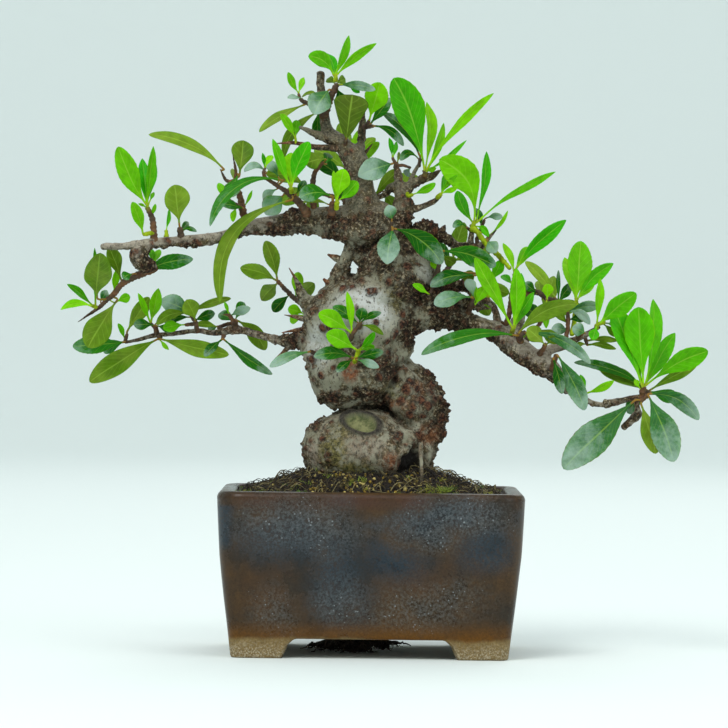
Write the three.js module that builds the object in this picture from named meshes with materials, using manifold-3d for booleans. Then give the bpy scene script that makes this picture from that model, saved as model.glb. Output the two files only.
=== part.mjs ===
// A firethorn (pyracantha) bonsai in its small glazed rectangular pot, in millimetres, +Z up.
// The front of the tree looks along -Y and its longest branches reach out along X.
import * as THREE from 'three';
import { mergeVertices } from 'three/addons/utils/BufferGeometryUtils.js';
import Module from 'manifold-3d';

const wasm = await Module();
wasm.setup();

// Pot: a usual small size of 120 x 88 x 65 mm, on four corner feet
const potTopHalfX = 60;
const potTopHalfY = 44;
const potHeight = 65;
const potTaper = [[0, -5.8], [10, -4.6], [24, -3.0], [40, -1.3], [54, -0.4], [61, 0], [64, -0.3],
  [65, -1.4]];
const potCornerRadius = 10;
const potCornerSteps = 3;
const potSmallestCorner = 2;
const lipWidth = 6.4;
const wallThickness = 6;
const floorUnderside = 8;
const floorTop = 13;
const footCutHeight = 7.7;
const frontCutHalf = 34;
const sideCutHalf = 24;
const cutShoulder = 5;
const footDepth = 9;
const drainRadius = 9;
const drainX = -4;
const innerTaper = [[floorTop, -wallThickness - 5.2], [16, -wallThickness - 3.6],
  ...potTaper.filter(([z]) => z > 20 && z < 60).map(([z, offset]) => [z, offset - wallThickness]),
  [61, -lipWidth], [64, -lipWidth + 0.3], [potHeight, -lipWidth + 1.4], [potHeight + 1, -lipWidth + 1.4]];

// Small plastic mesh over the drain hole
const meshSize = 26;
const meshThickness = 0.9;
const meshHole = 5;
const meshPitch = 7.4;
const meshHolesAcross = 3;

// Soil: level with the rim at the walls and mounded round the trunk
const soilEdge = 63.2;
const soilMound = 15;
const soilMoundReachX = 50;
const soilMoundReachY = 38;
const soilRelief = 0.6;
const soilPoints = 26;
const soilRings = 5;

// Roots that have grown out of the drain hole
const drainRootCount = 7;
const rootSeed = 21;

// Wood
const limbSides = 6;
const twigSides = 4;
const twigRadius = 2.6;
const limbRelief = 0.05;
const lobeDetail = 3;
const lobeRelief = 0.8;
const stemSides = 4;

// Swing of the branches out of the picture plane, as a share of how far out they reach: below a
// height and above another
const swingStart = 25;
const swingEase = 15;
const swingLeft = { low: 0.2, high: -0.17, from: 132, to: 158 };
const swingRight = { low: -0.15, high: 0.12, from: 136, to: 166 };

// Leaves: lengths in mm, the rest as shares of the width or the length
const bladeThickness = 0.9;
const bladeFold = 0.11;
const bladeWave = 0.035;
const tipCurl = 0.06;
const petiole = 0.5;
const shortStalk = 2.2;
const shortLeaf = 11;
const longLeaf = 24;

const gap = 0.3;      // clear room between neighbouring pieces
const tidySteps = [0.15, 0.08, 0.03]; // slivers smaller than this are taken away after a cut

// The front view that the places below were measured in: its distance and its middle
const viewDistance = 1600;
const viewX = -3.4;
const viewZ = 129;

// Trunk swellings: centre x, y, z and half widths x, y, z
const lobes = [
  [0, 0, 80, 27.3, 22, 18.5],
  [2, 2, 64, 22, 18, 14],
  [15.5, 1, 104, 15, 15, 14.5],
  [17, 1, 91, 11.8, 14, 10],
  [-6, -1, 112, 18.7, 17, 15.5],
  [-5.4, -0.5, 121, 20.6, 17.6, 13],
  [-5, 0, 131, 22, 18.5, 19],
  [-8, 0, 152, 8, 9, 9],
  [9.3, 1, 150, 14.2, 14, 17.5],
  [-2, 1, 170, 15, 10.5, 9.5],
];

// Limbs: points x, y, z with the half thickness, from the root of the limb to its end
const limbs = {
  "branch_left_upper": [[-8, 2, 170, 8], [-20, 3, 171, 5.8], [-30, 3, 171.3, 4.7], [-40, 2, 169.3, 4],
    [-50, 1, 168.4, 3.4], [-60, 0, 164.8, 2.7], [-70, -2, 163.2, 2.8], [-80, -3, 162.7, 2.3],
    [-89, -4, 161.9, 2.2], [-100, -5, 160.4, 1.5], [-108, -5, 160.2, 1.3]],
  "knob_left_upper": [[-92, -4, 161, 2.4], [-95, -4.5, 156, 3.9], [-92, -5, 152.5, 3.6],
    [-87.5, -5, 152.6, 2]],
  "arm_by_window": [[-15, -1, 145, 4.5], [-12.8, 0, 151, 2.7], [-11.6, 0, 155, 2.5], [-9, 1, 160, 3.2],
    [-4, 1, 166, 6]],
  "column": [[-3, 1, 172, 8], [-5, 1, 180, 6.5], [-6, 1, 187, 5.5], [-7, 1, 194, 5.8], [-8.5, 1, 199, 4.6]],
  "leader": [[-9, 1, 197, 4.6], [-14, 1, 203.2, 3.2], [-18.5, 2, 206.5, 2.9], [-20, 2, 211, 2.4],
    [-20.8, 3, 217, 1.9], [-21.8, 3, 224, 1.7], [-22.2, 3, 230, 1.6]],
  "grey_stub": [[-15, 0, 203, 2.4], [-22, -1, 205.3, 1.7], [-30, -2, 208.6, 0.6]],
  "crown_thorn": [[-12, 0, 200.5, 1.8], [-24, -1.5, 200.8, 1.1], [-32, -3, 202.3, 0.8],
    [-39.3, -4, 202, 0.2]],
  "second_leader": [[-6, 2, 196, 3.2], [-5.5, 3, 204, 1.9], [-5.3, 4, 210, 1.4], [-5, 5, 218, 0.8]],
  "column_thorn": [[-4.5, 1, 198, 0.9], [-1, 0, 202.4, 0.2]],
  "right_crown": [[7, 1, 164, 7], [10, 0, 173, 5], [11.5, -1, 179, 4], [10, -1, 185, 2.6],
    [9, -1, 192, 1.2]],
  "bridge": [[-3, 1, 180.6, 1.5], [3.2, 1.5, 181.8, 1.1], [6, 1, 184.6, 2.2], [9.5, 0, 187, 1.6]],
  "right_fork": [[11, -1, 182, 3], [14.5, -2, 186.2, 2.2], [18.5, -2.5, 188.4, 1.9], [22.5, -3, 189.8, 1.6],
    [26, -3, 192, 0.4]],
  "grey_twig": [[13.5, -2, 185.5, 1.2], [15.5, -1, 190.5, 0.9], [17.4, 0, 194.2, 0.6]],
  "side_twig": [[12, -1, 176, 2], [18, -3, 177.2, 1.4], [23.5, -4, 179.6, 1.1], [26.3, -5, 181.6, 0.6]],
  "right_arm": [[15, 0, 164, 4.4], [20.5, -1, 168.8, 2.7], [24, -1, 168, 1.7], [28, 0, 165.3, 1.7],
    [33, 1, 162.2, 1.6], [38.5, 2, 161.3, 2], [43, 2, 162.4, 1.5], [46, 2, 165.6, 0.7],
    [48.6, 1, 168.6, 0.25]],
  "arm_spur": [[38.6, 2, 160.5, 1.6], [38.7, 1, 165.2, 1.2], [38.9, 1, 168.4, 0.8]],
  "branch_right": [[4, 0, 134, 12], [15, -1, 134.5, 8], [27, -2, 134.2, 5.2], [38, -3, 131.8, 3.8],
    [45, -4, 129.6, 4.1], [50, -4, 127.2, 4.2], [55, -4, 123.6, 4.8], [60, -4, 120, 4.7],
    [66, -3, 116.3, 4.4], [72, -3, 111.8, 4.1], [77, -2, 107, 3.1], [83, -2, 102.6, 2.4],
    [90, -1, 99.7, 2.1], [97, 0, 100.6, 1.4], [104, 0, 102.4, 1.1], [109.5, 0, 103, 1]],
  "rough_top": [[18, 0, 146, 5], [28, 0.5, 146, 2.6], [36, 1, 145.8, 1.7], [39.5, 0, 142.6, 1.4],
    [41, -1, 138.6, 2]],
  "rough_middle": [[18, -1, 141, 6], [28, -1, 141, 4.2], [36, -1, 139.6, 2.9], [41, -1, 138.2, 1.8],
    [46.3, -2, 137.2, 0.3]],
  "loop": [[41, -1, 139.4, 1.6], [45.5, 0, 140.2, 1.3], [48.6, 0, 136.6, 1.3], [50, -3, 130, 2]],
  "old_spur": [[55.5, -3, 126, 3.2], [58, -1, 134, 2.6], [60.3, 0, 141, 2.4]],
  "right_spur": [[64, -3, 117.5, 3], [70.5, -3, 121.3, 2.2], [76, -3, 123, 2], [81, -2, 125.4, 1.4],
    [86, -1, 128, 1.1], [90, 0, 130.4, 0.8]],
  "aerial_root": [[20, -12, 83, 1.4], [20.3, -15.6, 77, 1.1], [19.6, -16.4, 70, 1.1], [19, -14, 61, 1.2]],
  "hanging_bud": [[105, 0, 102.4, 1], [105.6, 0, 98.5, 1], [105.6, 0, 95.9, 1.8], [103, 0, 92.9, 1.5],
    [100.3, 0, 90.6, 1.3]],
  "branch_left_lower": [[-19, -2, 125, 5], [-27, -1, 124.5, 2.8], [-32, 0, 123.2, 2.2], [-36.5, 1, 123.6, 2],
    [-41.5, 2, 124.7, 1.6], [-46.5, 4, 126, 1.5], [-51.5, 5, 127.4, 1.5], [-56, 6, 127.6, 1.8],
    [-63, 7, 126.3, 1.2], [-70, 8, 127, 1], [-80, 9, 125.8, 1], [-87, 10, 125, 0.9], [-93, 10, 123.3, 0.8],
    [-97, 10, 122.4, 0.6]],
  "thorn_upper": [[-20, -1, 136, 5.4], [-26.5, -2, 139, 3.2], [-29, -3, 143.5, 1.7], [-31, -3, 148, 0.8],
    [-33.7, -4, 152.5, 0.15]],
  "thorn_middle": [[-22, 0, 130.5, 1.8], [-29, 0, 132.6, 1], [-35.3, 0, 133.8, 0.15]],
  "thorn_low": [[-23, -2, 129, 1.5], [-30, -3, 127.9, 0.8], [-36.3, -4, 126.7, 0.15]],
  "thorn_under": [[-31.5, 0, 123, 1.4], [-35.5, -1, 119, 0.8], [-39.2, -2, 116, 0.15]],
  "thorn_shoulder": [[-14.5, -3, 143, 2], [-18, -3, 146.5, 1.2], [-19.8, -3, 148.2, 0.5]],
  "thorn_window": [[-11.8, 0, 155, 1.9], [-15, 0, 156.6, 1.4], [-18.2, 0, 158, 0.4]],
};

// Leafy sprays: stems as limbs, and leaves as base x, y, z, tip x, y, z, width, arch, roll, kind.
// Arch lifts the middle of a leaf across its length, roll turns its face away from the front in degrees,
// and kind is old (dark top), back (olive underside), film (chalky blue top) or fresh (new growth).
const sprays = {
  "left_end": {
    "stems": [
      [[-88, -5, 151.5, 1.9], [-92, -5.5, 149.6, 1.6], [-99.3, -7, 146, 1.3], [-103.3, -8, 141.4, 1.1],
        [-107.3, -9, 137.7, 0.9], [-110, -9.5, 135.3, 0.8], [-117.5, -11, 130, 0.15]],
    ],
    "leaves": [
      [-110, -12.6, 139.8, -109, -18, 156, 11, 0.5, 8, "back"],
      [-100.3, -5, 146.6, -105, 1, 160, 6.2, 0, 25, "back"],
      [-96, -8.6, 149.4, -99.8, -12, 147.6, 4.2, 0.3, 20, "old"],
      [-102, -8, 138.8, -113.3, -16, 119.8, 11, 0.5, -8, "back"],
      [-108.5, -7, 138.5, -106, 0, 142.8, 4, 0, 20, "film"],
      [-91.5, -6, 149.8, -72.3, -12, 155.2, 6.4, 1.6, 15, "old"],
      [-103.4, -7, 142.2, -102.2, 2, 151, 3.2, 0, 20, "fresh"],
      [-102.4, -8, 138, -96.8, -3, 140.2, 4, 0.4, 10, "fresh"],
    ],
  },
  "left_end_fresh": {
    "stems": [
      [[-110.4, -11.3, 136, 0.9], [-111.6, -11.8, 136.4, 0.8]],
    ],
    "leaves": [
      [-112, -12, 136.8, -122, -16, 145, 3.4, 0.4, 35, "fresh"],
      [-111.8, -12, 136.2, -124.5, -8, 134.8, 3.6, 1.9, 20, "fresh"],
      [-110.6, -11.4, 137, -111.2, -3, 159.6, 2.6, 0, 30, "fresh"],
    ],
  },
  "left_shoot_fresh": {
    "stems": [
      [[-87.5, -4, 164.2, 1.5], [-88.3, -4, 171, 1.2], [-90.3, -4.5, 175.6, 1]],
      [[-88, -4.4, 165.6, 1], [-91.6, -6.4, 165.2, 0.8]],
    ],
    "leaves": [
      [-90.8, -5, 177, -102.3, -10, 200, 8.4, -1, 8, "fresh"],
      [-90.6, -4.5, 177, -88.3, -10, 200.3, 4.2, 0, 40, "fresh"],
      [-90.5, -4, 177, -87.6, 4, 195, 4.6, 0.5, 30, "fresh"],
      [-90.6, -4, 177, -92.6, 6, 195.4, 5, 0, 10, "fresh"],
      [-89.4, -4.5, 178.6, -87.8, -3, 182, 1.6, 0, 0, "fresh"],
      [-88.6, -4, 172.4, -87.2, -7, 177.4, 1.8, 0, 20, "fresh"],
      [-91, -4.6, 176, -94, -8, 177.4, 1.2, 0.2, 0, "fresh"],
      [-92, -6.8, 165.4, -96.5, -12, 178, 4.8, 0.4, 15, "fresh"],
    ],
  },
  "left_middle": {
    "stems": [
      [[-76.8, -3, 164, 1.5], [-77.3, -4, 167.6, 1.2]],
    ],
    "leaves": [
      [-77.6, -4.5, 169.4, -79.4, -10, 184.8, 10.6, 0, 18, "back"],
      [-76.4, -4, 167, -70.8, -8, 166.4, 2.2, 1.1, 20, "old"],
      [-76.6, -4, 166, -73.6, 4, 170.6, 3, 0.4, 20, "old"],
    ],
  },
  "left_inner": {
    "stems": [
      [[-51, 1, 171, 1.8], [-52.4, 2, 175.4, 1.5], [-54, 3, 182, 1.2], [-56.5, 3, 187, 0.9]],
      [[-56.2, 3, 186.6, 0.8], [-59.2, 4, 187.2, 0.7], [-61.5, 4, 191.4, 0.2]],
      [[-55.4, 3, 185.2, 0.9], [-55.4, 1, 191, 0.6], [-56.6, 0, 197.2, 0.15]],
      [[-53, 2, 177.4, 0.9], [-55, -1.6, 177.4, 0.8], [-57.6, -2.5, 179, 0.8]],
    ],
    "leaves": [
      [-60.2, 5, 191.6, -90, 11, 205.8, 5.6, 3, 25, "back"],
      [-53.8, 5, 189.4, -52.4, 10, 203.4, 9, 0, 5, "back"],
      [-54.4, 0, 189.4, -57.4, -5, 180.6, 6.8, 0.3, 15, "old"],
      [-52.2, -1, 176, -60.8, -6, 177.6, 4.2, 0.4, 25, "old"],
      [-51.8, 4, 176.6, -48.7, 9, 183.2, 1.8, 0, 40, "fresh"],
      [-56, 4, 187, -56.6, 12, 192.2, 2.4, 0, 20, "back"],
      [-58, -2.6, 179.4, -62.2, 2, 186, 3.4, -0.3, 15, "fresh"],
      [-55, -1.8, 176.6, -56.2, -7, 170.6, 2.6, 0.3, 15, "fresh"],
    ],
  },
  "crown_left": {
    "stems": [
      [[-27, -1, 174.5, 2.1], [-30, -3, 178.6, 1.6], [-34.4, -5, 182.4, 1.2], [-39.2, -7, 185.5, 0.9],
        [-44, -8, 188.6, 0.7]],
      [[-43.4, -7.8, 188, 0.8], [-44.3, -8.4, 189.8, 0.7], [-43.8, -9, 192, 0.6]],
    ],
    "leaves": [
      [-36.4, -9, 187.4, -65.8, -14, 170.2, 6, 7.2, 42, "old"],
      [-32.8, -8, 179.6, -62.3, -16, 139.6, 7.2, 10.6, 38, "back"],
      [-36.6, -3, 181.2, -43.4, -1, 173.6, 9, 0.3, 10, "film"],
      [-38.6, -4, 184, -44.8, 2, 179.6, 4.6, 0.3, 20, "film"],
      [-43.4, -6, 190.6, -52.2, -3, 190.9, 3.4, 2.4, 25, "film"],
      [-38.2, -5, 188.4, -43.2, -1, 195.2, 4.6, 0.3, 15, "film"],
      [-31.2, -6, 182, -27.6, -9, 187.2, 3.6, 0, 20, "old"],
      [-43.8, -9.2, 192.4, -44.8, -13, 198.2, 1.8, 0, 20, "fresh"],
      [-43.6, -9, 192.4, -40.8, -5, 197.2, 3, 0.3, -15, "fresh"],
    ],
  },
  "crown_left_fresh": {
    "stems": [
      [[-33, -7.4, 182.7, 1], [-33.3, -8.6, 184.2, 0.9]],
    ],
    "leaves": [
      [-33.8, -9.6, 185.4, -40.8, -14, 203.8, 4.4, -0.4, 25, "fresh"],
      [-33, -9, 185.4, -26.2, -12, 202.8, 7.2, 0.6, -12, "fresh"],
      [-33.4, -8.2, 185.4, -33.4, -3, 198.4, 6, 0, 5, "fresh"],
    ],
  },
  "crown_front": {
    "stems": [
      [[-17, -6, 174.5, 1.6], [-16.6, -9.6, 178.6, 1.2]],
    ],
    "leaves": [
      [-17.2, -10.4, 181.2, -29.6, -12, 180.6, 7.4, 1.8, 10, "old"],
      [-16.4, -9, 180.8, -6.9, -8, 183.4, 5, 0.6, 10, "old"],
      [-18.4, -6, 178, -28.2, -9, 179, 2.6, 0.9, 40, "back"],
    ],
  },
  "crown_front_fresh": {
    "stems": [
      [[-15.2, -8.6, 176.6, 1.1], [-14.8, -11.4, 179, 1]],
    ],
    "leaves": [
      [-15, -12, 179.6, -12.4, -17, 192.2, 7.2, 0, 8, "fresh"],
      [-14.4, -11.8, 179.6, -7, -14, 187.4, 6.2, -0.6, -15, "fresh"],
      [-15.2, -11.6, 179.4, -16.4, -9, 191.4, 3.2, 0, 20, "fresh"],
    ],
  },
  "top": {
    "stems": [
      [[-20.3, 1, 213.5, 1.9], [-18.6, -0.5, 219, 1.5], [-16.6, -1, 223.6, 1.4],
        [-15.6, -1, 225.4, 1.2]],
      [[-20.6, 0.5, 215.4, 1.2], [-24.6, -2, 217.2, 1], [-28.4, -3, 218.6, 0.9], [-30, -3, 219.8, 0.7]],
      [[-30.4, -3.2, 220.6, 0.7], [-30.7, -3.6, 221.8, 0.6]],
    ],
    "leaves": [
      [-29.6, -3.4, 220, -34.8, -8, 220.4, 2.6, 0.4, 35, "film"],
      [-18.8, -2.6, 223.4, -24.4, -8, 214, 9.8, 0.5, 10, "film"],
      [-22.4, 0, 219.6, -29.6, 5, 220.9, 2.6, 2, 35, "back"],
      [-28.2, -3, 217.6, -46.3, -8, 207.4, 4.6, 0.8, 35, "back"],
      [-22.6, -1, 214.8, -37.2, 6, 196.4, 5.2, 3, 30, "back"],
      [-22.8, 1, 215, -23.2, 7, 204.2, 4.4, 0, 15, "old"],
      [-15.6, -0.6, 224.4, -12.8, 4, 217, 5.6, 0.3, 10, "old"],
      [-14.8, -1, 225.6, -0.8, -12, 223.6, 4, 0.9, 20, "film"],
      [-15.6, -1, 226, -11.9, 4, 228, 4, 0.3, 10, "back"],
      [-16.2, -1, 226, -19.7, 4, 228, 3.4, 0.3, 10, "back"],
      [-10.8, -2, 225.4, -6.4, 2, 222.6, 2.2, 0, 20, "fresh"],
      [-30.7, -3.8, 222.2, -35, -8, 230.4, 3.2, -0.5, 25, "fresh"],
      [-30.6, -3.4, 222.2, -28.6, 4, 228.4, 2.6, 0.3, 20, "fresh"],
    ],
  },
  "top_back": {
    "stems": [
      [[-12, -1.6, 201.4, 1], [-11.7, -3.4, 203.6, 0.9]],
    ],
    "leaves": [
      [-11.6, -3.8, 204, -9.2, -8, 221.6, 14, 0, 6, "back"],
    ],
  },
  "top_fresh": {
    "stems": [
      [[-15.9, -1.2, 227.2, 1], [-16, -1.4, 228.6, 0.9]],
    ],
    "leaves": [
      [-16.8, -1.6, 229.2, -27, -6, 236.8, 6.4, 2.2, 12, "fresh"],
      [-16.2, -1.4, 229.4, -10.9, 2, 245.3, 4.4, -0.3, 35, "fresh"],
      [-15.8, -1.6, 229.2, 0.1, -5, 242.3, 4.2, 1.2, 30, "fresh"],
      [-16.2, -1, 229.2, -19.5, 9, 238, 4, 0.6, 20, "fresh"],
    ],
  },
  "thorn_fresh": {
    "stems": [
      [[-31.5, -3.4, 203, 0.6], [-31.8, -4, 204.2, 0.6]],
    ],
    "leaves": [
      [-32, -4.2, 204.6, -37.8, -9, 213.8, 3.6, 0.3, 20, "fresh"],
      [-31.7, -3.8, 204.6, -31.4, 1, 211.4, 3.6, 0, 10, "fresh"],
    ],
  },
  "second_leader": {
    "stems": [
      [[-5, 3.5, 208.4, 1.2], [-3.2, 2, 209, 0.9], [-1, 1, 209.4, 0.7]],
      [[-4, 2.4, 209, 0.9], [-3, 0.4, 210.4, 0.8], [-2.6, -0.2, 211.4, 0.8]],
    ],
    "leaves": [
      [-0.6, 0.6, 209.4, 10.8, -5, 201.4, 4.2, 2.4, 30, "old"],
      [-3.4, 3, 209.8, -6.2, 8, 213.4, 2.4, 0, 20, "back"],
      [-2, 3, 210, 6.4, 7, 220.6, 5, 0.3, 15, "old"],
      [-2.4, -0.6, 211.8, 1.7, -5, 226.8, 9.6, 0, 6, "fresh"],
    ],
  },
  "crown_right": {
    "stems": [
      [[9, -1, 191, 1.3], [8.4, -1.6, 194.6, 1]],
      [[8.6, -1.5, 193.6, 0.8], [11.5, -2.2, 193.8, 0.6], [14, -0.8, 193, 0.5]],
      [[8.2, -1.8, 194.2, 0.8], [7, -3, 196.8, 0.6]],
    ],
    "leaves": [
      [6.8, -2.6, 194.4, -6.3, -9, 189.6, 9.2, 0.5, 6, "film"],
      [9, -1, 195, 9.8, 4, 199.4, 1.6, 0, 20, "back"],
      [14.2, 0.4, 193, 12.4, 7, 189.4, 3.4, 0.3, 15, "film"],
      [6.9, -3.2, 197.2, 5.5, -7, 204.8, 2.4, 0.2, 30, "fresh"],
      [7.2, -2.8, 197, 8.6, 4, 203.4, 2.2, 0, 30, "fresh"],
    ],
  },
  "crown_right_fresh": {
    "stems": [
      [[20, -4.4, 189.8, 1.1], [20, -5.6, 191.6, 1.1]],
    ],
    "leaves": [
      [19.7, -6.2, 192.2, 7, -13, 228.6, 13, 1.9, 6, "fresh"],
      [20, -5.6, 192.2, 20.4, 1, 219.2, 7, -1.4, 48, "fresh"],
      [20.8, -6, 192.4, 47, -14, 223, 4.4, 2.4, 25, "fresh"],
      [20.6, -5, 191.8, 27.2, 5, 211, 3.6, -1, 25, "fresh"],
      [20.8, -5.2, 191.6, 36.4, 3, 204.2, 2.4, -0.6, 30, "fresh"],
      [20.6, -6.6, 191.6, 24.4, -11, 193, 2.2, 0, 10, "fresh"],
    ],
  },
  "fork_small_fresh": {
    "stems": [
      [[13.6, -4.6, 181.8, 0.8], [15, -5.6, 182.2, 0.8]],
    ],
    "leaves": [
      [15.4, -5.8, 182.4, 24.2, -9, 187, 3.4, -0.4, 20, "fresh"],
    ],
  },
  "twig_end_fresh": {
    "stems": [
      [[25, -6.4, 181.4, 0.9], [26.4, -7.4, 182.6, 0.8]],
    ],
    "leaves": [
      [26.8, -7.8, 183, 33, -10, 190.4, 2.4, 0.6, 20, "fresh"],
      [26.6, -7.4, 182.8, 33.2, -12, 185.6, 2.4, 0, 20, "fresh"],
      [26.6, -7, 182.8, 28, 0, 190.6, 2.6, 0, 20, "fresh"],
    ],
  },
  "right_arm_fresh": {
    "stems": [
      [[39, -0.4, 168.8, 1], [39.6, -1, 171, 1]],
      [[40, -1, 169, 1.2], [45, -3, 162.8, 1.1], [50, -4, 158, 1.1], [54.2, -4, 153.4, 0.9]],
    ],
    "leaves": [
      [39.8, -1.4, 171.8, 25.6, -10, 196.4, 12.4, 5.4, 8, "fresh"],
      [40.6, -1, 171.8, 44.4, -6, 199.8, 4.6, -0.8, 38, "fresh"],
      [41, -0.8, 171.6, 72, 4, 192, 3.8, 1.8, 30, "fresh"],
      [40.4, -1.6, 170, 45.6, -7, 165.8, 3, 1.2, 15, "fresh"],
      [39.4, 0, 171.4, 33, 8, 184, 5, -1, 15, "fresh"],
    ],
  },
  "right_arm": {
    "stems": [
      [[38.8, 1.6, 169.4, 0.7], [38.6, 2.8, 170.2, 0.7]],
      [[41, 3.6, 164.6, 0.9], [42.4, 4.6, 168, 0.8], [43.8, 4.6, 172.4, 0.6]],
      [[42.4, 4.6, 168, 0.7], [45.4, 1.2, 166.8, 0.6], [45.4, -3, 165.6, 0.6]],
    ],
    "leaves": [
      [44.4, 4.6, 173.2, 51, 1, 173.7, 3.2, 0.6, 20, "film"],
      [42.6, 4.8, 170, 40.4, 12, 177.6, 3.4, 0.4, 15, "old"],
      [45.2, -5.6, 164, 48.6, -9, 159.6, 5.8, 0.2, 5, "film"],
    ],
  },
  "shoulder_right_old": {
    "stems": [
      [[6.6, -8, 164.6, 1.5], [6.6, -11.6, 168, 1.1], [6.8, -13, 171, 0.8]],
    ],
    "leaves": [
      [7, -13.2, 172.4, 5.6, -15, 178, 5.4, 0, 10, "film"],
      [7.3, -14.6, 168.4, 5.3, -19, 154.7, 9.2, 0.3, 5, "film"],
      [8, -13.6, 168.6, 26.7, -19, 154.6, 9.4, 2.8, 14, "old"],
    ],
  },
  "right_front": {
    "stems": [
      [[24.4, -7, 146.6, 1.6], [25.2, -10, 150, 1.2], [26, -11, 154.6, 0.9], [26.8, -11, 158.6, 0.8]],
      [[24.6, -9, 147.6, 0.9], [23.6, -11.6, 146.6, 0.7]],
      [[24.4, -9, 147.2, 0.8], [22.6, -11.6, 143.2, 0.7]],
      [[25.2, -10, 150, 0.6], [27, -8.4, 151.2, 0.6]],
    ],
    "leaves": [
      [27.2, -11.4, 160, 48.4, -15, 154, 8.2, 1.6, 12, "old"],
      [26.6, -10, 158, 32.4, -6, 154.6, 5, 0.4, 20, "back"],
      [40.6, -15.6, 150.4, 22.4, -13.4, 146, 5.8, 1.8, 12, "old"],
      [25.6, -10, 154.4, 21.4, -6, 159.8, 3.6, 0, 20, "back"],
      [22, -11.8, 142.8, 15.6, -16, 146.5, 3, 0.2, 20, "fresh"],
      [26.8, -8.6, 151.4, 22.8, -7, 155.8, 3, 0, 15, "fresh"],
    ],
  },
  "right_root": {
    "stems": [
      [[38, -4.6, 135.4, 1.3], [39, -8.4, 138.4, 1], [39.8, -10, 141, 0.8]],
      [[38.8, -7.6, 137.8, 0.9], [40.4, -7.8, 138.2, 0.8]],
    ],
    "leaves": [
      [39.4, -11, 141.6, 24.4, -15, 138.8, 6.6, 1.3, 10, "film"],
      [39.8, -9.6, 141.6, 37.4, -6, 149.2, 4.8, 0.3, 12, "film"],
      [40.4, -8, 138.4, 45, -12, 146.6, 4.6, 0, 10, "fresh"],
      [40.2, -7.8, 138.6, 40.6, -4, 146.4, 3.4, 0.2, 20, "fresh"],
    ],
  },
  "loop_fresh": {
    "stems": [
      [[45.6, 1, 141.4, 0.8], [46.2, 1, 144.6, 0.8], [46.6, 0.6, 147.4, 0.8]],
    ],
    "leaves": [
      [46.8, 0.4, 148, 50.6, -4, 156.6, 4.8, -0.3, 10, "fresh"],
      [46.4, 1, 147.6, 43.6, 5, 153.6, 4, 0.3, 15, "fresh"],
    ],
  },
  "behind_loop_fresh": {
    "stems": [
      [[53, 0.4, 130.6, 1.3], [54.6, 4, 138, 1.1], [55.4, 5, 146, 1], [56.6, 5, 152.6, 0.8]],
    ],
    "leaves": [
      [56.8, 5, 153.4, 76.5, 1, 172.9, 6.2, 1.2, 15, "fresh"],
      [56, 5.2, 152, 51.4, 9, 163.4, 3.4, 0.4, 25, "fresh"],
      [55.2, 5.6, 147, 50.8, 12, 150.4, 3.2, 0.4, 20, "fresh"],
      [56.6, 5.4, 153, 61.6, 13, 162, 4.4, 0.4, 20, "fresh"],
    ],
  },
  "right_middle_fresh": {
    "stems": [
      [[55.2, -7.6, 127.2, 1.1], [55.7, -10.4, 129, 1]],
    ],
    "leaves": [
      [55.6, -11, 129.6, 40.2, -19, 157.6, 6.6, 0, 10, "fresh"],
      [56, -11, 129.8, 56.8, -17, 153.6, 6.6, -0.6, 22, "fresh"],
      [56.6, -10.6, 130, 58.8, -9, 151.6, 5.4, -0.4, -15, "fresh"],
      [56.2, -10.2, 129.4, 64, -5, 144, 4.6, 0.6, 20, "fresh"],
    ],
  },
  "right_middle": {
    "stems": [
      [[58.6, -7.4, 124.4, 1.5], [58.4, -10.4, 126.6, 1.2], [60.4, -11.6, 128, 0.9]],
      [[66.6, -6.6, 119.6, 1.2], [68, -9, 121.6, 1], [68.8, -9.6, 123.4, 0.8]],
    ],
    "leaves": [
      [58.2, -12, 127.8, 81, -17, 138.8, 7.6, 3.2, 20, "back"],
      [57.4, -12, 126.6, 19.3, -17, 119.4, 6, 3.6, 22, "old"],
      [61.2, -12.4, 127.6, 86.3, -14, 115.2, 5, 3.8, 22, "film"],
      [68.6, -10.4, 123, 61.6, -15, 129.4, 6.8, 0.3, 10, "back"],
      [69.2, -10, 123.2, 72.8, -13, 126.4, 4.4, 0, 10, "back"],
    ],
  },
  "right_upper": {
    "stems": [
      [[61, 1, 143.4, 1.4], [65, 3, 144, 1.2], [69.4, 4, 141.6, 1], [73.4, 4, 140.6, 0.9]],
      [[69, 4, 141.8, 0.8], [69.1, 0.4, 141, 0.7]],
    ],
    "leaves": [
      [72.6, 4.4, 141.6, 60.6, -1, 156.4, 5, 0.9, 18, "back"],
      [65, 2.4, 143.4, 60.2, -3, 147.4, 4.2, 0.3, 15, "old"],
      [67.4, 4.6, 141.4, 65.6, 10, 149, 4.2, 0, 15, "back"],
      [73.8, 5, 140, 79.4, 12, 147.4, 4.4, 0.4, 18, "old"],
      [73.8, 4.6, 140.6, 74.2, 6, 153.2, 2.4, 0.4, 35, "old"],
      [69.2, 0.2, 141, 69.4, -3, 147.4, 4.6, 0, 8, "fresh"],
      [69, 0.2, 140.6, 69, -2, 129.6, 3.2, 0, 20, "fresh"],
    ],
  },
  "right_spur": {
    "stems": [
      [[76.6, -0.6, 124.8, 1.1], [77.6, 1.4, 130, 1], [77.6, 2, 135.6, 0.9]],
    ],
    "leaves": [
      [77.4, 1.6, 136.4, 86, -4, 131.4, 4.2, 2, 20, "film"],
      [77.6, 2.2, 131.4, 71.6, -1, 137, 3.6, 0.3, 20, "back"],
      [77.4, 1, 128.6, 71.4, -4, 129.6, 4.6, 0.4, 15, "film"],
      [78, 3, 136.6, 90.2, 3, 138.4, 5, 1, 20, "film"],
      [77.6, 2.6, 133, 84.8, 1.4, 134, 4, 0.4, 15, "old"],
    ],
  },
  "right_tall_fresh": {
    "stems": [
      [[79.2, 1.4, 127.4, 1], [80.2, 5, 133, 1], [80.8, 6, 140.4, 0.9]],
    ],
    "leaves": [
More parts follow.
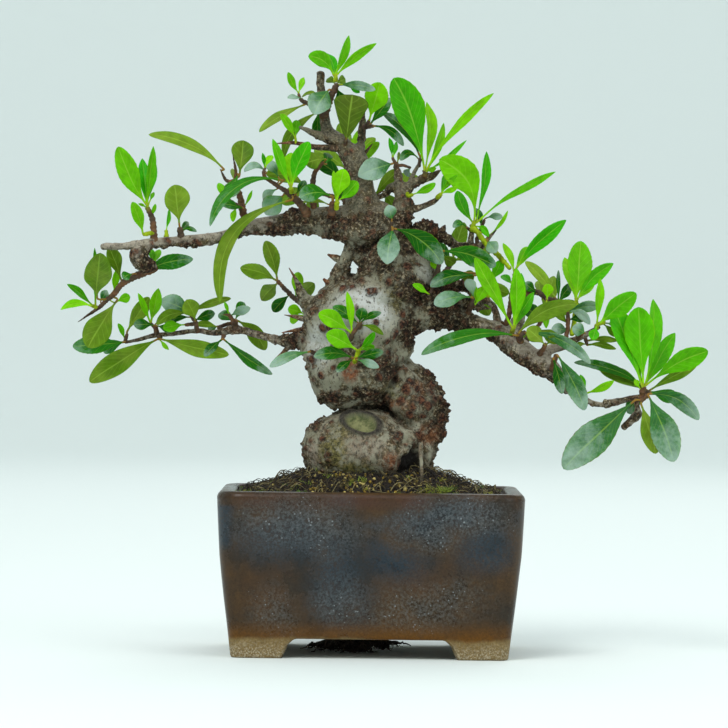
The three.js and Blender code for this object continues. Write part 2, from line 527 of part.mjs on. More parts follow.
      [80.8, 5.6, 141, 82.4, 0, 164.6, 10.2, 0, 6, "fresh"],
      [81.2, 6, 141, 95.5, 3, 155.8, 5.8, 1.8, 20, "fresh"],
      [80.6, 6.6, 141, 76, 14, 158, 6, 0.4, 20, "fresh"],
      [81, 6.8, 141, 88.4, 16, 150.6, 5, 0.3, 20, "fresh"],
    ],
  },
  "right_spur_end": {
    "stems": [
      [[89, -1.8, 130.8, 0.9], [89.3, -3.6, 131.4, 0.8]],
      [[89.3, -3.6, 131.4, 0.8], [91.8, -1.4, 132.2, 0.8], [92, 2, 132.4, 0.7]],
    ],
    "leaves": [
      [89.2, -4.2, 131.8, 90.3, -10, 149.8, 4.2, 0, 30, "fresh"],
      [89.8, -5.4, 131.6, 104.6, -16, 144.2, 8.4, 0.3, 8, "fresh"],
      [89, -4.2, 131, 87.5, -8, 125.2, 4.4, 0, 10, "fresh"],
      [92.2, 2, 132.8, 95.4, 2, 141.4, 3.2, 0, 25, "old"],
      [92.4, 2.6, 132, 99, 6, 130.6, 3.4, 0.3, 25, "film"],
      [91.8, 2, 131.6, 97.6, 6, 126.2, 3.4, 0.4, 20, "back"],
    ],
  },
  "right_spur_low": {
    "stems": [
      [[84.6, 0.2, 125.8, 0.8], [85.2, 1.6, 124, 0.7]],
    ],
    "leaves": [
      [85, 1.8, 123.6, 80.4, 5, 122.6, 2.4, 0.3, 25, "back"],
      [85.4, 1.8, 123.2, 96.6, -2, 121.4, 3, 1.1, 30, "back"],
      [86, 1.4, 125, 97.3, -4, 124.8, 3, 0.8, 25, "back"],
    ],
  },
  "right_low_film": {
    "stems": [
      [[72, -7.4, 114.4, 1.3], [72.4, -9.6, 117, 1.1], [73, -10, 119, 0.9]],
    ],
    "leaves": [
      [73.6, -10.6, 119, 84.4, -13, 97.2, 7.6, 1, 14, "film"],
      [72, -11, 117.6, 75.4, -15, 103.8, 4.8, 0.3, 18, "old"],
    ],
  },
  "right_low_fresh": {
    "stems": [
      [[84.8, -4, 103.4, 0.9], [85, -5.4, 104.2, 0.8]],
    ],
    "leaves": [
      [85.4, -5.6, 104, 96.3, -9, 109.2, 3.4, -0.4, 22, "fresh"],
      [85.2, -5.2, 104.6, 82.8, -4, 111.4, 2.4, 0, 30, "fresh"],
    ],
  },
  "right_end_fresh": {
    "stems": [
      [[107.6, 0, 104.4, 1.4], [108, -0.6, 106.4, 1.3]],
    ],
    "leaves": [
      [107.4, -1.6, 107, 95.4, -4, 139.4, 9, 0.4, 12, "fresh"],
      [108, -1.2, 107, 105.6, -4, 138.6, 12.4, 0, -6, "fresh"],
      [108.6, -0.6, 107.2, 111.4, 4, 141.8, 8.6, -1.4, 42, "fresh"],
      [109, -1, 107.4, 133.6, -4, 121.4, 8.8, 1.6, 12, "fresh"],
      [107.8, 0.6, 107, 100.4, 12, 132, 8, 0.4, 20, "fresh"],
      [108.6, 0.8, 107, 120.4, 14, 128.4, 7, 0.6, 20, "fresh"],
      [106.6, -1.4, 106.2, 104.4, -3, 109.6, 2.4, 0, 10, "fresh"],
    ],
  },
  "right_end_back": {
    "stems": [
      [[108.6, 1.8, 103.4, 1], [110, 3.6, 104.8, 0.9]],
    ],
    "leaves": [
      [110.4, 3.8, 105.4, 130.2, 9, 116.2, 4.6, 0.4, 20, "back"],
      [109.6, 4.2, 105.2, 90.2, 10, 114.4, 6.2, 0.6, 15, "back"],
      [109.2, 4, 105.6, 80.3, 6, 117, 4.6, 2.6, 25, "old"],
      [110.4, 4.2, 104.8, 122, 16, 101, 6, 1, 20, "old"],
      [109.4, 4.6, 104.4, 101, 17, 96, 6, 0.6, 20, "old"],
    ],
  },
  "right_end_low": {
    "stems": [
      [[107, -1.4, 102, 1], [107.4, -3.6, 101.2, 0.9]],
      [[107.4, -3.4, 101.2, 0.8], [109.6, -4.4, 103.4, 0.8]],
    ],
    "leaves": [
      [104.4, -4.6, 101.2, 76.6, -13, 74, 13.4, 0.4, 6, "film"],
      [107.2, -4, 99.8, 113.2, -5, 80.2, 7.4, 0.3, 10, "back"],
      [110, -5.4, 103.4, 120.3, -12, 77.4, 11.4, 0.8, 8, "film"],
      [110.4, -4.6, 104, 129.9, -6, 93.6, 6.4, 3.4, 18, "film"],
    ],
  },
  "trunk_front": {
    "stems": [
      [[-8.6, -16, 124, 1.2], [-8.4, -20.6, 126.4, 0.9]],
      [[-5.4, -16, 127, 1.2], [-5.2, -21.2, 130.2, 0.9]],
      [[-8.4, -20.8, 126.2, 0.9], [-6.8, -21.6, 128.4, 0.8], [-5.2, -21, 130.2, 0.9]],
    ],
    "leaves": [
      [-8.8, -21.2, 127, -21.8, -27, 134.4, 7, 0.9, 8, "fresh"],
      [-8.4, -21, 127, -10.5, -25, 143.4, 3.6, 0.2, 30, "fresh"],
      [-6, -20, 131, -16, -22, 137.4, 4.8, 0.4, 15, "old"],
      [-5.4, -20, 131, -4.2, -24, 136.8, 5, 0, 10, "old"],
      [-4.8, -20, 131, 3.2, -24, 134.8, 3.2, 1, 25, "old"],
      [-4.4, -20.4, 130, 3.8, -26, 126.2, 2.8, 1.1, 25, "back"],
    ],
  },
  "trunk_low": {
    "stems": [
      [[-5.6, -15, 118.8, 1], [-5.8, -20.4, 119.8, 0.9]],
      [[-7, -14, 115, 1.1], [-7.2, -20, 116.6, 0.9]],
      [[-5.7, -19, 119.4, 1], [-7, -18.6, 116, 0.9]],
    ],
    "leaves": [
      [-6.4, -21.4, 120.2, -18.6, -28, 126.4, 7.4, 0.4, 10, "fresh"],
      [-5.2, -21.4, 120.4, 0.6, -27, 127.4, 3.4, -0.3, 25, "fresh"],
      [-5.2, -21, 120, 0.8, -22, 121.6, 3, 0.2, 10, "fresh"],
      [-8, -20.6, 117, -23, -27, 117.4, 5.4, 1.6, 12, "old"],
      [-6.4, -20.6, 117, 4.1, -25, 119.4, 4.4, 0.3, 12, "old"],
      [-6.4, -21, 116.2, 2.3, -26, 113.2, 3.6, 0.5, 15, "film"],
      [-8, -20, 116.4, -14, -27, 111.6, 3.6, 0.3, 15, "old"],
    ],
  },
  "trunk_left_film": {
    "stems": [
      [[-21, -11, 117.6, 1], [-24.6, -15, 119.4, 0.8]],
    ],
    "leaves": [
      [-25.2, -15.4, 119.2, -41, -20, 113.4, 4.4, 0.9, 22, "film"],
    ],
  },
  "trunk_left_fresh": {
    "stems": [
      [[-24.6, 5.4, 133.4, 0.9], [-27, 6.2, 134, 0.8]],
    ],
    "leaves": [
      [-27.4, 6.4, 134.2, -34, 5, 136.2, 4.6, 0.3, 10, "fresh"],
      [-27.2, 6.8, 134, -33, 13, 131, 4, 0.3, 15, "fresh"],
    ],
  },
  "low_branch": {
    "stems": [
      [[-59.4, 6.4, 125.6, 1], [-59.8, 5, 124.2, 0.8]],
    ],
    "leaves": [
      [-59.4, 4.4, 123.8, -40.8, -2, 109.6, 5.4, -0.3, 38, "old"],
      [-60.2, 4.4, 123.6, -66.8, -6, 117.4, 4, 0.3, 20, "old"],
    ],
  },
  "low_branch_back": {
    "stems": [
      [[-54.6, 8.4, 128.6, 0.9], [-54.6, 10.4, 131, 0.8]],
      [[-60, 9.2, 127.4, 0.9], [-61.4, 10.6, 128.4, 0.8]],
      [[-54.6, 10, 130.4, 0.8], [-58, 11.6, 129.8, 0.8], [-61.4, 10.8, 128.5, 0.8]],
    ],
    "leaves": [
      [-54.2, 11, 131.4, -43, 9, 119.7, 6.8, 1.6, 10, "back"],
      [-54.8, 11.4, 131.6, -51, 19, 138.6, 5.4, 0.3, 15, "old"],
      [-55, 11.2, 131, -62, 18, 134, 4.6, 0.5, 15, "old"],
      [-61.8, 11, 128.6, -70.6, 9, 129.6, 3.4, 0.6, 25, "back"],
      [-61.8, 11.4, 129, -66, 20, 126.4, 4.4, 0.4, 15, "old"],
    ],
  },
  "low_branch_twig": {
    "stems": [
      [[-55, 3.8, 129.6, 1.1], [-55.8, 1.8, 131.4, 0.9], [-57.4, 0.6, 133.4, 0.7],
        [-59.7, 0.4, 133.6, 0.15]],
    ],
    "leaves": [
      [-56.8, 1, 133.2, -49.2, -3, 136.2, 4, 0.4, 12, "film"],
      [-57.4, 1, 134, -59.3, -2, 138.8, 1.6, 0, 15, "fresh"],
    ],
  },
  "low_middle": {
    "stems": [
      [[-70, 6.2, 127.4, 1], [-70.8, 4, 130.6, 0.9], [-72.4, 3, 133, 0.8]],
      [[-70.6, 4.6, 129.8, 0.8], [-74.6, 5.2, 129.4, 0.7]],
    ],
    "leaves": [
      [-70.8, 2.4, 131, -74.2, -3, 139, 7.4, 0.4, 8, "back"],
      [-72.8, 3.4, 134, -56.5, 8, 139.6, 3.8, 1.4, 30, "back"],
      [-73, 3.4, 134.4, -84.8, 5, 139.2, 8, 0.4, 8, "film"],
      [-73, 2.6, 133.6, -86, -5, 129.6, 4.6, 2.2, 22, "back"],
      [-72.6, 3, 132.4, -83.8, 2, 130.6, 3.6, 0.6, 18, "old"],
      [-71.2, 4.6, 131, -62.6, 13, 134, 4.4, 0.5, 18, "old"],
      [-75, 4.8, 129.4, -83.6, -2, 127.8, 4.8, 0.3, 8, "fresh"],
    ],
  },
  "low_end": {
    "stems": [
      [[-84.8, 8.2, 124.4, 0.9], [-85.2, 6.4, 123.8, 0.8]],
    ],
    "leaves": [
      [-84.6, 5.6, 123.6, -58, 0, 117.4, 7, 0, 12, "back"],
      [-86, 5.6, 123.4, -112.8, -2, 106.4, 9.4, 0.5, 8, "back"],
      [-84.8, 6, 123.2, -81.2, 2, 119.4, 2, 0, 20, "fresh"],
    ],
  },
  "low_end_spur": {
    "stems": [
      [[-86.4, 8.6, 126.8, 1], [-86.6, 7.4, 128.6, 0.9]],
      [[-86.5, 8, 127.8, 0.8], [-88.4, 7.6, 129.6, 0.7]],
    ],
    "leaves": [
      [-87, 6.8, 129, -95.2, 3, 129.2, 4.8, 0.3, 8, "old"],
      [-86, 6.6, 128.8, -79.6, 3, 126.8, 3.4, 0.3, 10, "old"],
      [-86.6, 8, 129.6, -80.4, 16, 133.4, 4.6, 0.4, 15, "old"],
      [-88.4, 7.2, 130.4, -85.6, 3, 143.8, 5, 0, 8, "fresh"],
      [-88.8, 7.4, 130.4, -93.7, 6, 141.8, 2.8, 0, 25, "fresh"],
    ],
  },
  "low_tip": {
    "stems": [
      [[-97.9, 10, 122.3, 0.8], [-98.6, 9.6, 122.6, 0.8], [-97.9, 9.4, 125.2, 0.7]],
    ],
    "leaves": [
      [-97.8, 9.2, 126.6, -89.2, 13, 140, 6.2, 0.3, 10, "back"],
      [-99, 8.6, 122.2, -119.2, -3, 120.6, 7.6, -0.3, 10, "old"],
      [-98.8, 9.8, 123.4, -101.6, 7, 129.6, 2.4, 0.2, 25, "fresh"],
      [-98.8, 10.4, 122.4, -108, 19, 118.4, 5.4, 0.4, 15, "old"],
    ],
  },
  "back_crown": {
    "stems": [
      [[-8, 9, 172, 2.2], [-10, 16, 176, 1.8], [-12, 24, 182, 1.4], [-12, 31, 188, 1],
        [-11, 35, 193, 0.7]],
      [[-12, 22, 180.4, 1.1], [-20, 28, 182, 0.9], [-27, 32, 185, 0.7]],
      [[-11, 19, 178, 1.1], [-3, 26, 180, 0.9], [3, 32, 184, 0.7]],
      [[-12, 31, 188.2, 0.8], [-9, 28, 191, 0.8]],
    ],
    "leaves": [
      [-11, 36, 194, -14, 42, 210, 7, 0.4, 160, "old"],
      [-11, 36, 193.6, 0, 44, 204, 6, 1, 165, "old"],
      [-11.4, 35, 192, -24, 44, 199, 7, 1, 200, "old"],
      [-12, 30, 187, -24, 27, 196, 6, 0.6, 170, "back"],
      [-27.6, 33, 185.4, -43, 38, 190, 7, 1.6, 160, "old"],
      [-27, 33, 184.8, -36, 44, 178, 7, 1, 190, "film"],
      [-22, 30, 182.6, -26, 41, 171, 6, 0.6, 175, "old"],
      [3.4, 33, 184.4, 18, 41, 188, 7, 1, 190, "old"],
      [3.2, 33, 183.6, 9, 44, 172, 7, 1, 180, "film"],
      [0, 29, 181.6, 10, 27, 192, 5.6, 0.6, 170, "old"],
      [-6, 24, 179, -8, 38, 171, 6, 0.8, 180, "old"],
      [-8.6, 28, 191.4, -6, 28, 208, 6, 0, 170, "fresh"],
      [-8.4, 28, 191.2, 1.6, 22, 203, 5, 0.6, 200, "fresh"],
    ],
  },
  "back_right": {
    "stems": [
      [[14, 11, 140, 2.2], [20, 18, 144, 1.8], [26, 25, 149, 1.3], [31, 31, 155, 0.9]],
      [[23, 22, 147, 1], [31, 24, 145, 0.8], [38, 26, 144, 0.6]],
    ],
    "leaves": [
      [31.4, 32, 156, 36, 38, 171, 7, 0.6, 165, "old"],
      [31.4, 32, 155.6, 46, 39, 160, 7, 1, 190, "old"],
      [31, 31.6, 155, 22, 42, 163, 6.4, 0.8, 175, "back"],
      [38.6, 26.4, 144.2, 54, 28, 143, 6.6, 1.4, 160, "old"],
      [38, 26.6, 143.6, 46, 37, 135, 6.4, 0.8, 190, "film"],
      [34, 25.4, 144.4, 40, 20, 152, 5, 0.4, 165, "old"],
      [26, 26, 149, 14, 35, 150, 6.6, 1, 185, "film"],
      [24, 24, 146.6, 26, 36, 138, 6, 0.6, 175, "old"],
    ],
  },
  "back_left": {
    "stems": [
      [[-18, 10, 132, 2], [-25, 16, 136, 1.5], [-32, 22, 141, 1.1], [-38, 27, 147, 0.8]],
    ],
    "leaves": [
      [-38.4, 28, 148, -43, 33, 163, 6.6, 0.6, 165, "old"],
      [-38.6, 28, 147.4, -53, 33, 152, 6.6, 1, 190, "old"],
      [-38, 27, 146.4, -44, 38, 140, 6.4, 0.6, 175, "film"],
      [-33, 23, 142, -40, 20, 135, 5, 0.4, 165, "back"],
      [-30, 21, 140, -24, 32, 146, 6, 0.6, 185, "old"],
      [-31, 22, 140.6, -30, 22, 151, 5, 0, 170, "fresh"],
    ],
  },
  "back_branch": {
    "stems": [
      [[57, 2, 122, 1.6], [60, 9, 124, 1.3], [64, 16, 128, 1], [68, 22, 134, 0.8]],
    ],
    "leaves": [
      [68.4, 23, 135, 72, 27, 150, 6.4, 0.5, 165, "old"],
      [68.6, 23, 134.4, 82, 31, 139, 6.4, 1, 190, "old"],
      [68, 22.6, 133.8, 60, 33, 137, 6, 0.6, 175, "back"],
      [65, 18, 129.4, 74, 24, 124, 5.6, 0.6, 165, "film"],
      [63, 15, 127, 54, 24, 125, 6, 0.6, 185, "old"],
    ],
  },
  "left_middle_tuft": {
    "stems": [
      [[-82.6, -3, 163.6, 1.1], [-82.8, -3, 166.6, 0.8]],
    ],
    "leaves": [
      [-82.7, -3, 167, -81.6, 3, 175.4, 2.4, 0, 50, "fresh"],
    ],
    "grownIn": true,
  },
  "left_end_tuft": {
    "stems": [
      [[-88, -5, 151.5, 1.9], [-87.5, -4.2, 153.6, 1]],
    ],
    "leaves": [
      [-87.5, -4, 153.8, -89, 3, 159.6, 2.8, 0, 10, "fresh"],
      [-87.3, -4, 153.8, -85.4, 4, 159.2, 3, 0, -10, "fresh"],
    ],
    "grownIn": true,
  },
  "crown_front_left": {
    "stems": [
      [[-24, 2, 174.8, 1.4], [-24.7, 1, 184, 1.2], [-23.8, 0, 190.6, 1], [-20.6, -2, 194.6, 0.7]],
    ],
    "leaves": [
      [-19.6, -3, 196, -27.6, -7, 194.2, 7.2, 0.5, 5, "back"],
      [-19.4, -2, 194, -18.4, 4, 198.6, 4.2, 0, 10, "old"],
    ],
  },
  "crown_right_twig": {
    "stems": [
      [[17.6, 0, 193.6, 0.8], [18, 0.4, 196.4, 0.7]],
    ],
    "leaves": [
      [17.6, 1.4, 198.2, 3, 8, 215.4, 5.2, 2, 20, "old"],
      [17.4, 1, 196.4, 10.2, 0, 196, 3.6, 2.6, 30, "old"],
    ],
  },
  "right_spur_tuft": {
    "stems": [
      [[81.4, -2.3, 125.7, 1], [83.4, -5.6, 127.8, 0.7]],
    ],
    "leaves": [
      [84.4, -6.4, 128, 79.4, -9, 130, 5.6, 0.2, 5, "film"],
    ],
    "grownIn": true,
  },
  "right_arm_tuft": {
    "stems": [
      [[38.9, 1.1, 168, 0.8], [36.8, -0.6, 169.6, 0.5]],
    ],
    "leaves": [
      [36.8, -1.6, 169.4, 31.6, -5, 169.5, 3, 1.8, 25, "old"],
    ],
    "grownIn": true,
  },
  "right_arm_bud": {
    "stems": [
      [[44.8, 2.1, 164.4, 0.8], [46, 4.4, 166.4, 0.6]],
    ],
    "leaves": [
      [46.4, 4.4, 166.8, 53.2, 2, 176.4, 2, -0.6, 30, "fresh"],
    ],
    "grownIn": true,
  },
};

// Corky warts that stand out on the front of the trunk: x, z and size across
const frontWarts = [
  [15, 108.5, 3.6], [7, 119, 3], [2.5, 114.5, 3], [-24.5, 116, 3.2], [-21, 109.5, 3], [-15.5, 114, 2.6],
  [-13, 145, 3.4], [-2.5, 144, 3], [1.5, 132, 2.8], [12.5, 134, 3], [-21, 129, 3.4], [13.5, 154, 3.6],
  [5, 147.5, 3], [22, 112, 3.4], [24, 104, 3], [17, 98, 3], [-20, 86, 2.6], [12, 88, 2.6], [-7, 102, 2.8],
];
const backWarts = 9;
const wartFlatness = 0.5;
const wartSeed = 7;

// Callus ring round the old cut on the front of the lower trunk
const scar = { x: -4, y: -17.6, z: 91.3, halfWidth: 7.2, halfHeight: 4.9, tilt: -20, rim: 1.5, lean: 32 };

function random(seed) {
  let state = seed;
  return () => {
    state = (state * 1664525 + 1013904223) % 4294967296;
    return state / 4294967296;
  };
}

// How far a branch swings towards the front (-) or the back (+) as it leaves the trunk
function swing(x, z) {
  const out = Math.max(0, Math.abs(x) - swingStart);
  const { low, high, from, to } = x < 0 ? swingLeft : swingRight;
  const share = low + (high - low) * THREE.MathUtils.smoothstep(z, from, to);
  return (share * out * out) / (out + swingEase);
}

// A place noted on the front view, carried along its line of sight to its own depth
function seen([x, y, z]) {
  const depth = y + swing(x, z);
  const reach = depth / viewDistance;
  return new THREE.Vector3(x + (x - viewX) * reach, depth, z + (z - viewZ) * reach);
}

function solidOf(geometry) {
  for (const name of Object.keys(geometry.attributes)) {
    if (name !== 'position') geometry.deleteAttribute(name);
  }
  const merged = mergeVertices(geometry, 1e-4);
  return new wasm.Manifold(new wasm.Mesh({
    numProp: 3,
    vertProperties: new Float32Array(merged.attributes.position.array),
    triVerts: new Uint32Array(merged.index.array),
  }));
}

function geometryOf(solid) {
  const mesh = solid.getMesh();
  const geometry = new THREE.BufferGeometry();
  geometry.setAttribute('position', new THREE.BufferAttribute(mesh.vertProperties, 3));
  geometry.setIndex(new THREE.BufferAttribute(mesh.triVerts, 1));
  geometry.computeVertexNormals();
  return geometry;
}

const join = (solids) => wasm.Manifold.union(solids);

// The one body to keep after a cut: the largest, without loose scraps, and without slivers as far
// as it stays in one piece when they are taken away
function largest(solid) {
  const kept = solid.decompose().reduce((best, body) => (body.volume() > best.volume() ? body : best));
  const tidied = tidySteps.map((step) => kept.asOriginal().simplify(step));
  return tidied.find((body) => body.decompose().length === 1) ?? kept;
}

// Closed skin through rings of points with a fan over each end; the diagonals mirror each other,
// so the two faces of a thin blade are split alike
function skin(rings) {
  const sides = rings[0].length;
  const positions = rings.flat().flatMap((point) => point.toArray());
  const faces = [];
  for (let ring = 0; ring < rings.length - 1; ring += 1) {
    for (let side = 0; side < sides; side += 1) {
      const a = ring * sides + side;
      const b = ring * sides + (side + 1) % sides;
      const [c, d] = [b + sides, a + sides];
      if (side % 2) faces.push(a, b, d, b, c, d);
      else faces.push(a, b, c, a, c, d);
    }
  }
  const last = (rings.length - 1) * sides;
  for (let side = 2; side < sides; side += 1) {
    const next = (side + 1) % sides;
    faces.push(1, next, side);
    faces.push(last + 1, last + side, last + next);
  }
  const geometry = new THREE.BufferGeometry();
  geometry.setAttribute('position', new THREE.Float32BufferAttribute(positions, 3));
  geometry.setIndex(faces);
  if (signedVolume(positions, faces) < 0) geometry.setIndex(faces.reverse());
  return solidOf(geometry);
}

function signedVolume(positions, faces) {
  const corner = (index) => new THREE.Vector3().fromArray(positions, 3 * index);
  let sum = 0;
  for (let face = 0; face < faces.length; face += 3) {
    const [a, b, c] = [0, 1, 2].map((step) => corner(faces[face + step]));
    sum += a.dot(b.cross(c));
  }
  return sum / 6;
}

// A ring of sides carried along points without twisting
function carry(points, radii, sides, grow = 0, relief = 0) {
  const tangents = points.map((_, i) => points[Math.min(i + 1, points.length - 1)].clone()
    .sub(points[Math.max(i - 1, 0)]).normalize());
  let normal = new THREE.Vector3(0.13, -1, 0.29);
  const rings = points.map((point, i) => {
    normal = normal.clone().addScaledVector(tangents[i], -normal.dot(tangents[i])).normalize();
    const binormal = tangents[i].clone().cross(normal);
    const end = (i === 0 ? -1 : 0) + (i === points.length - 1 ? 1 : 0);
    return Array.from({ length: sides }, (_, side) => {
      const angle = (2 * Math.PI * side) / sides;
      const radius = radii[i] * (1 + relief * Math.sin(3 * angle + 1.7 * i)) + grow;
      return point.clone().addScaledVector(tangents[i], end * grow)
        .addScaledVector(normal, radius * Math.cos(angle))
        .addScaledVector(binormal, radius * Math.sin(angle));
    });
  });
  return skin(rings);
}

// Limb or stem through its noted points
function sweep(path, sides, grow = 0, relief = 0) {
  return carry(path.map(seen), path.map((point) => point[3]), sides, grow, relief);
}

// Swelling of the trunk: an ellipsoid with broad, low relief
function makeLobe([x, y, z, rx, ry, rz], grow) {
  const geometry = new THREE.IcosahedronGeometry(1, lobeDetail);
  const place = geometry.attributes.position;
  const point = new THREE.Vector3();
  for (let i = 0; i < place.count; i += 1) {
    point.fromBufferAttribute(place, i);
    const swell = lobeRelief * (Math.sin(5.1 * point.x + 2.3 * point.z + x)
      + Math.sin(4.7 * point.z - 3.9 * point.y + z) + Math.sin(6.1 * point.y + 2.9 * point.x + y));
    const out = swell + grow;
    place.setXYZ(i, x + point.x * (rx + out), y + point.y * (ry + out), z + point.z * (rz + out));
  }
  return solidOf(geometry);
}

// Depth of the trunk's surface behind or in front of (x, z): side is -1 for the front, 1 for the back
function trunkDepth(x, z, side) {
  const depths = lobes.map(([cx, cy, cz, rx, ry, rz]) => {
    const inside = 1 - ((x - cx) / rx) ** 2 - ((z - cz) / rz) ** 2;
    return inside > 0.05 ? cy + side * ry * Math.sqrt(inside) : null;
  }).filter((depth) => depth !== null);
  if (!depths.length) return null;
  return side < 0 ? Math.min(...depths) : Math.max(...depths);
}

function makeWart(x, z, size, side, grow) {
  const y = trunkDepth(x, z, side);
  if (y === null) return null;
  const reach = size / 2 + grow;
  const slope = (trunkDepth(x + 1, z, side) ?? y) - y;
  const rise = (trunkDepth(x, z + 1, side) ?? y) - y;
  const out = new THREE.Vector3(-slope * side, side, -rise * side).normalize();
  const geometry = new THREE.IcosahedronGeometry(1, 0);
  geometry.scale(reach, reach, size * wartFlatness + grow);
  geometry.applyQuaternion(new THREE.Quaternion().setFromUnitVectors(new THREE.Vector3(0, 0, 1), out));
  geometry.translate(x, y, z);
  return solidOf(geometry);
}

function makeWarts(grow) {
  const draw = random(wartSeed);
  const warts = frontWarts.map(([x, z, size]) => makeWart(x, z, size, -1, grow));
  for (let i = 0; i < backWarts; i += 1) {
    const x = -20 + 40 * draw();
    const z = 82 + 72 * draw();
    warts.push(makeWart(x, z, 2.6 + 1.4 * draw(), 1, grow));
  }
  return warts.filter((wart) => wart !== null);
}

function makeScar(grow) {
  const geometry = new THREE.TorusGeometry(1, (scar.rim + grow) / scar.halfWidth, 6, 14);
  geometry.scale(scar.halfWidth, scar.halfHeight, scar.halfWidth);
  geometry.rotateZ(THREE.MathUtils.degToRad(scar.tilt));
  geometry.rotateX(THREE.MathUtils.degToRad(90 - scar.lean));
  geometry.translate(scar.x, scar.y, scar.z);
  return solidOf(geometry);
}

function makeLimb(limb, grow) {
  const thickest = Math.max(...limb.map((point) => point[3]));
  return sweep(limb, thickest > twigRadius ? limbSides : twigSides, grow, limbRelief);
}

// Trunk, branches, thorns and roots: one grown piece
function makeWood(grow) {
  return join([
    ...lobes.map((lobe) => makeLobe(lobe, grow)),
    ...Object.values(limbs).map((limb) => makeLimb(limb, grow)),
    ...makeWarts(grow),
    makeScar(grow),
  ]);
}

function nearestOnStems(stems, place) {
  let best = null;
  for (const stem of stems) {
    const points = stem.map(seen);
    for (let i = 0; i < points.length - 1; i += 1) {
      const line = new THREE.Line3(points[i], points[i + 1]);
      const spot = line.closestPointToPoint(place, true, new THREE.Vector3());
      if (!best || spot.distanceTo(place) < best.distanceTo(place)) best = spot;
    }
  }
  return best;
}

function leafStations(length) {
  if (length < shortLeaf) return [0.45, 1];
  if (length < longLeaf) return [0.3, 0.68, 1];
  return [0.25, 0.5, 0.76, 1];
}

// Leaf: a stalk from the nearest stem and a blade folded along its midrib, arched in the picture
// plane and bent back at the tip; each section stands square to the way that the leaf runs there
function makeLeaf(stems, [bx, by, bz, tx, ty, tz, width, arch, roll]) {
  const base = seen([bx, by, bz]);
  const along = seen([tx, ty, tz]).sub(base);
  const length = along.length();
  along.normalize();
  const face = new THREE.Vector3(0, -1, 0);
  face.addScaledVector(along, -face.dot(along)).normalize();
  face.applyAxisAngle(along, THREE.MathUtils.degToRad(roll));
  const across = along.clone().cross(face);
  const rise = new THREE.Vector3(-along.z, 0, along.x).normalize();
  if (rise.z < 0) rise.negate();
  const widest = width / length > 0.45 ? 0.58 : 0.48;
  const root = nearestOnStems(stems, base);
  const stations = leafStations(length).map((t, i) => {
    const fullness = Math.sin(Math.PI * t ** (Math.log(0.5) / Math.log(widest))) ** 0.8 || 0;
    const wave = length > longLeaf ? bladeWave * width * (i % 2 ? 1 : -1) * fullness : 0;
    return {
      centre: base.clone().addScaledVector(along, t * length).addScaledVector(rise, 4 * t * (1 - t) * arch)
        .addScaledVector(face, -tipCurl * length * t * t),
      half: Math.max((width / 2) * fullness, t < 1 ? petiole : petiole * 0.7),
      thick: t < 1 ? bladeThickness : bladeThickness * 0.7,
      lift: bladeFold * width * fullness * fullness + wave,
    };
  });
  const stalk = { half: petiole, thick: 2 * petiole, lift: 0 };
  const rings = [{ centre: root, ...stalk }];
  if (root.distanceTo(base) > shortStalk) rings.push({ centre: base, ...stalk });
  rings.push(...stations);
  return skin(rings.map(({ centre, half, thick, lift }, i) => {
    const way = rings[Math.min(i + 1, rings.length - 1)].centre.clone()
      .sub(rings[Math.max(i - 1, 0)].centre).normalize();
    const side = across.clone().addScaledVector(way, -across.dot(way));
    const front = face.clone().addScaledVector(way, -face.dot(way));
    if (side.length() > front.length()) front.copy(side.normalize()).cross(way);
    else side.copy(way).cross(front.normalize());
    return [
      centre.clone().addScaledVector(side, -half).addScaledVector(front, lift),
      centre.clone().addScaledVector(front, thick / 2),
      centre.clone().addScaledVector(side, half).addScaledVector(front, lift),
      centre.clone().addScaledVector(front, -thick / 2),
    ];
  }));
}

function makeStems({ stems }, grow = 0) {
  return join(stems.map((stem) => sweep(stem, stemSides, grow)));
}

function makeSpray(spray) {
  return join([makeStems(spray), ...spray.leaves.map((leaf) => makeLeaf(spray.stems, leaf))]);
}

// Outline of the rounded rectangular pot, stepped in or out from its top edge
function outline(offset, z) {
  const corner = Math.max(potCornerRadius + offset, potSmallestCorner);
  const [reachX, reachY] = [potTopHalfX + offset - corner, potTopHalfY + offset - corner];
  const points = [];
  [[1, 1], [-1, 1], [-1, -1], [1, -1]].forEach(([sideX, sideY], quarter) => {
    for (let step = 0; step <= potCornerSteps; step += 1) {
      const angle = (Math.PI / 2) * (quarter + step / potCornerSteps);
      points.push(new THREE.Vector3(sideX * reachX + corner * Math.cos(angle),
        sideY * reachY + corner * Math.sin(angle), z));
    }
  });
  return points;
}

// Arched opening between two feet, with ogee ends, cut right through along Y
function footCut(half, reach) {
  const shape = new THREE.Shape();
  shape.moveTo(-half, -1);
  shape.lineTo(-half, 0);
  shape.bezierCurveTo(-half + 0.8, 4.6, -half + cutShoulder - 1.6, 3.4, -half + cutShoulder, footCutHeight);
  shape.lineTo(half - cutShoulder, footCutHeight);
  shape.bezierCurveTo(half - cutShoulder + 1.6, 3.4, half - 0.8, 4.6, half, 0);
  shape.lineTo(half, -1);
  const settings = { depth: 2 * reach, bevelEnabled: false, curveSegments: 8 };
  const geometry = new THREE.ExtrudeGeometry(shape, settings);
  geometry.translate(0, 0, -reach);
  geometry.rotateX(Math.PI / 2);
  return geometry;
}

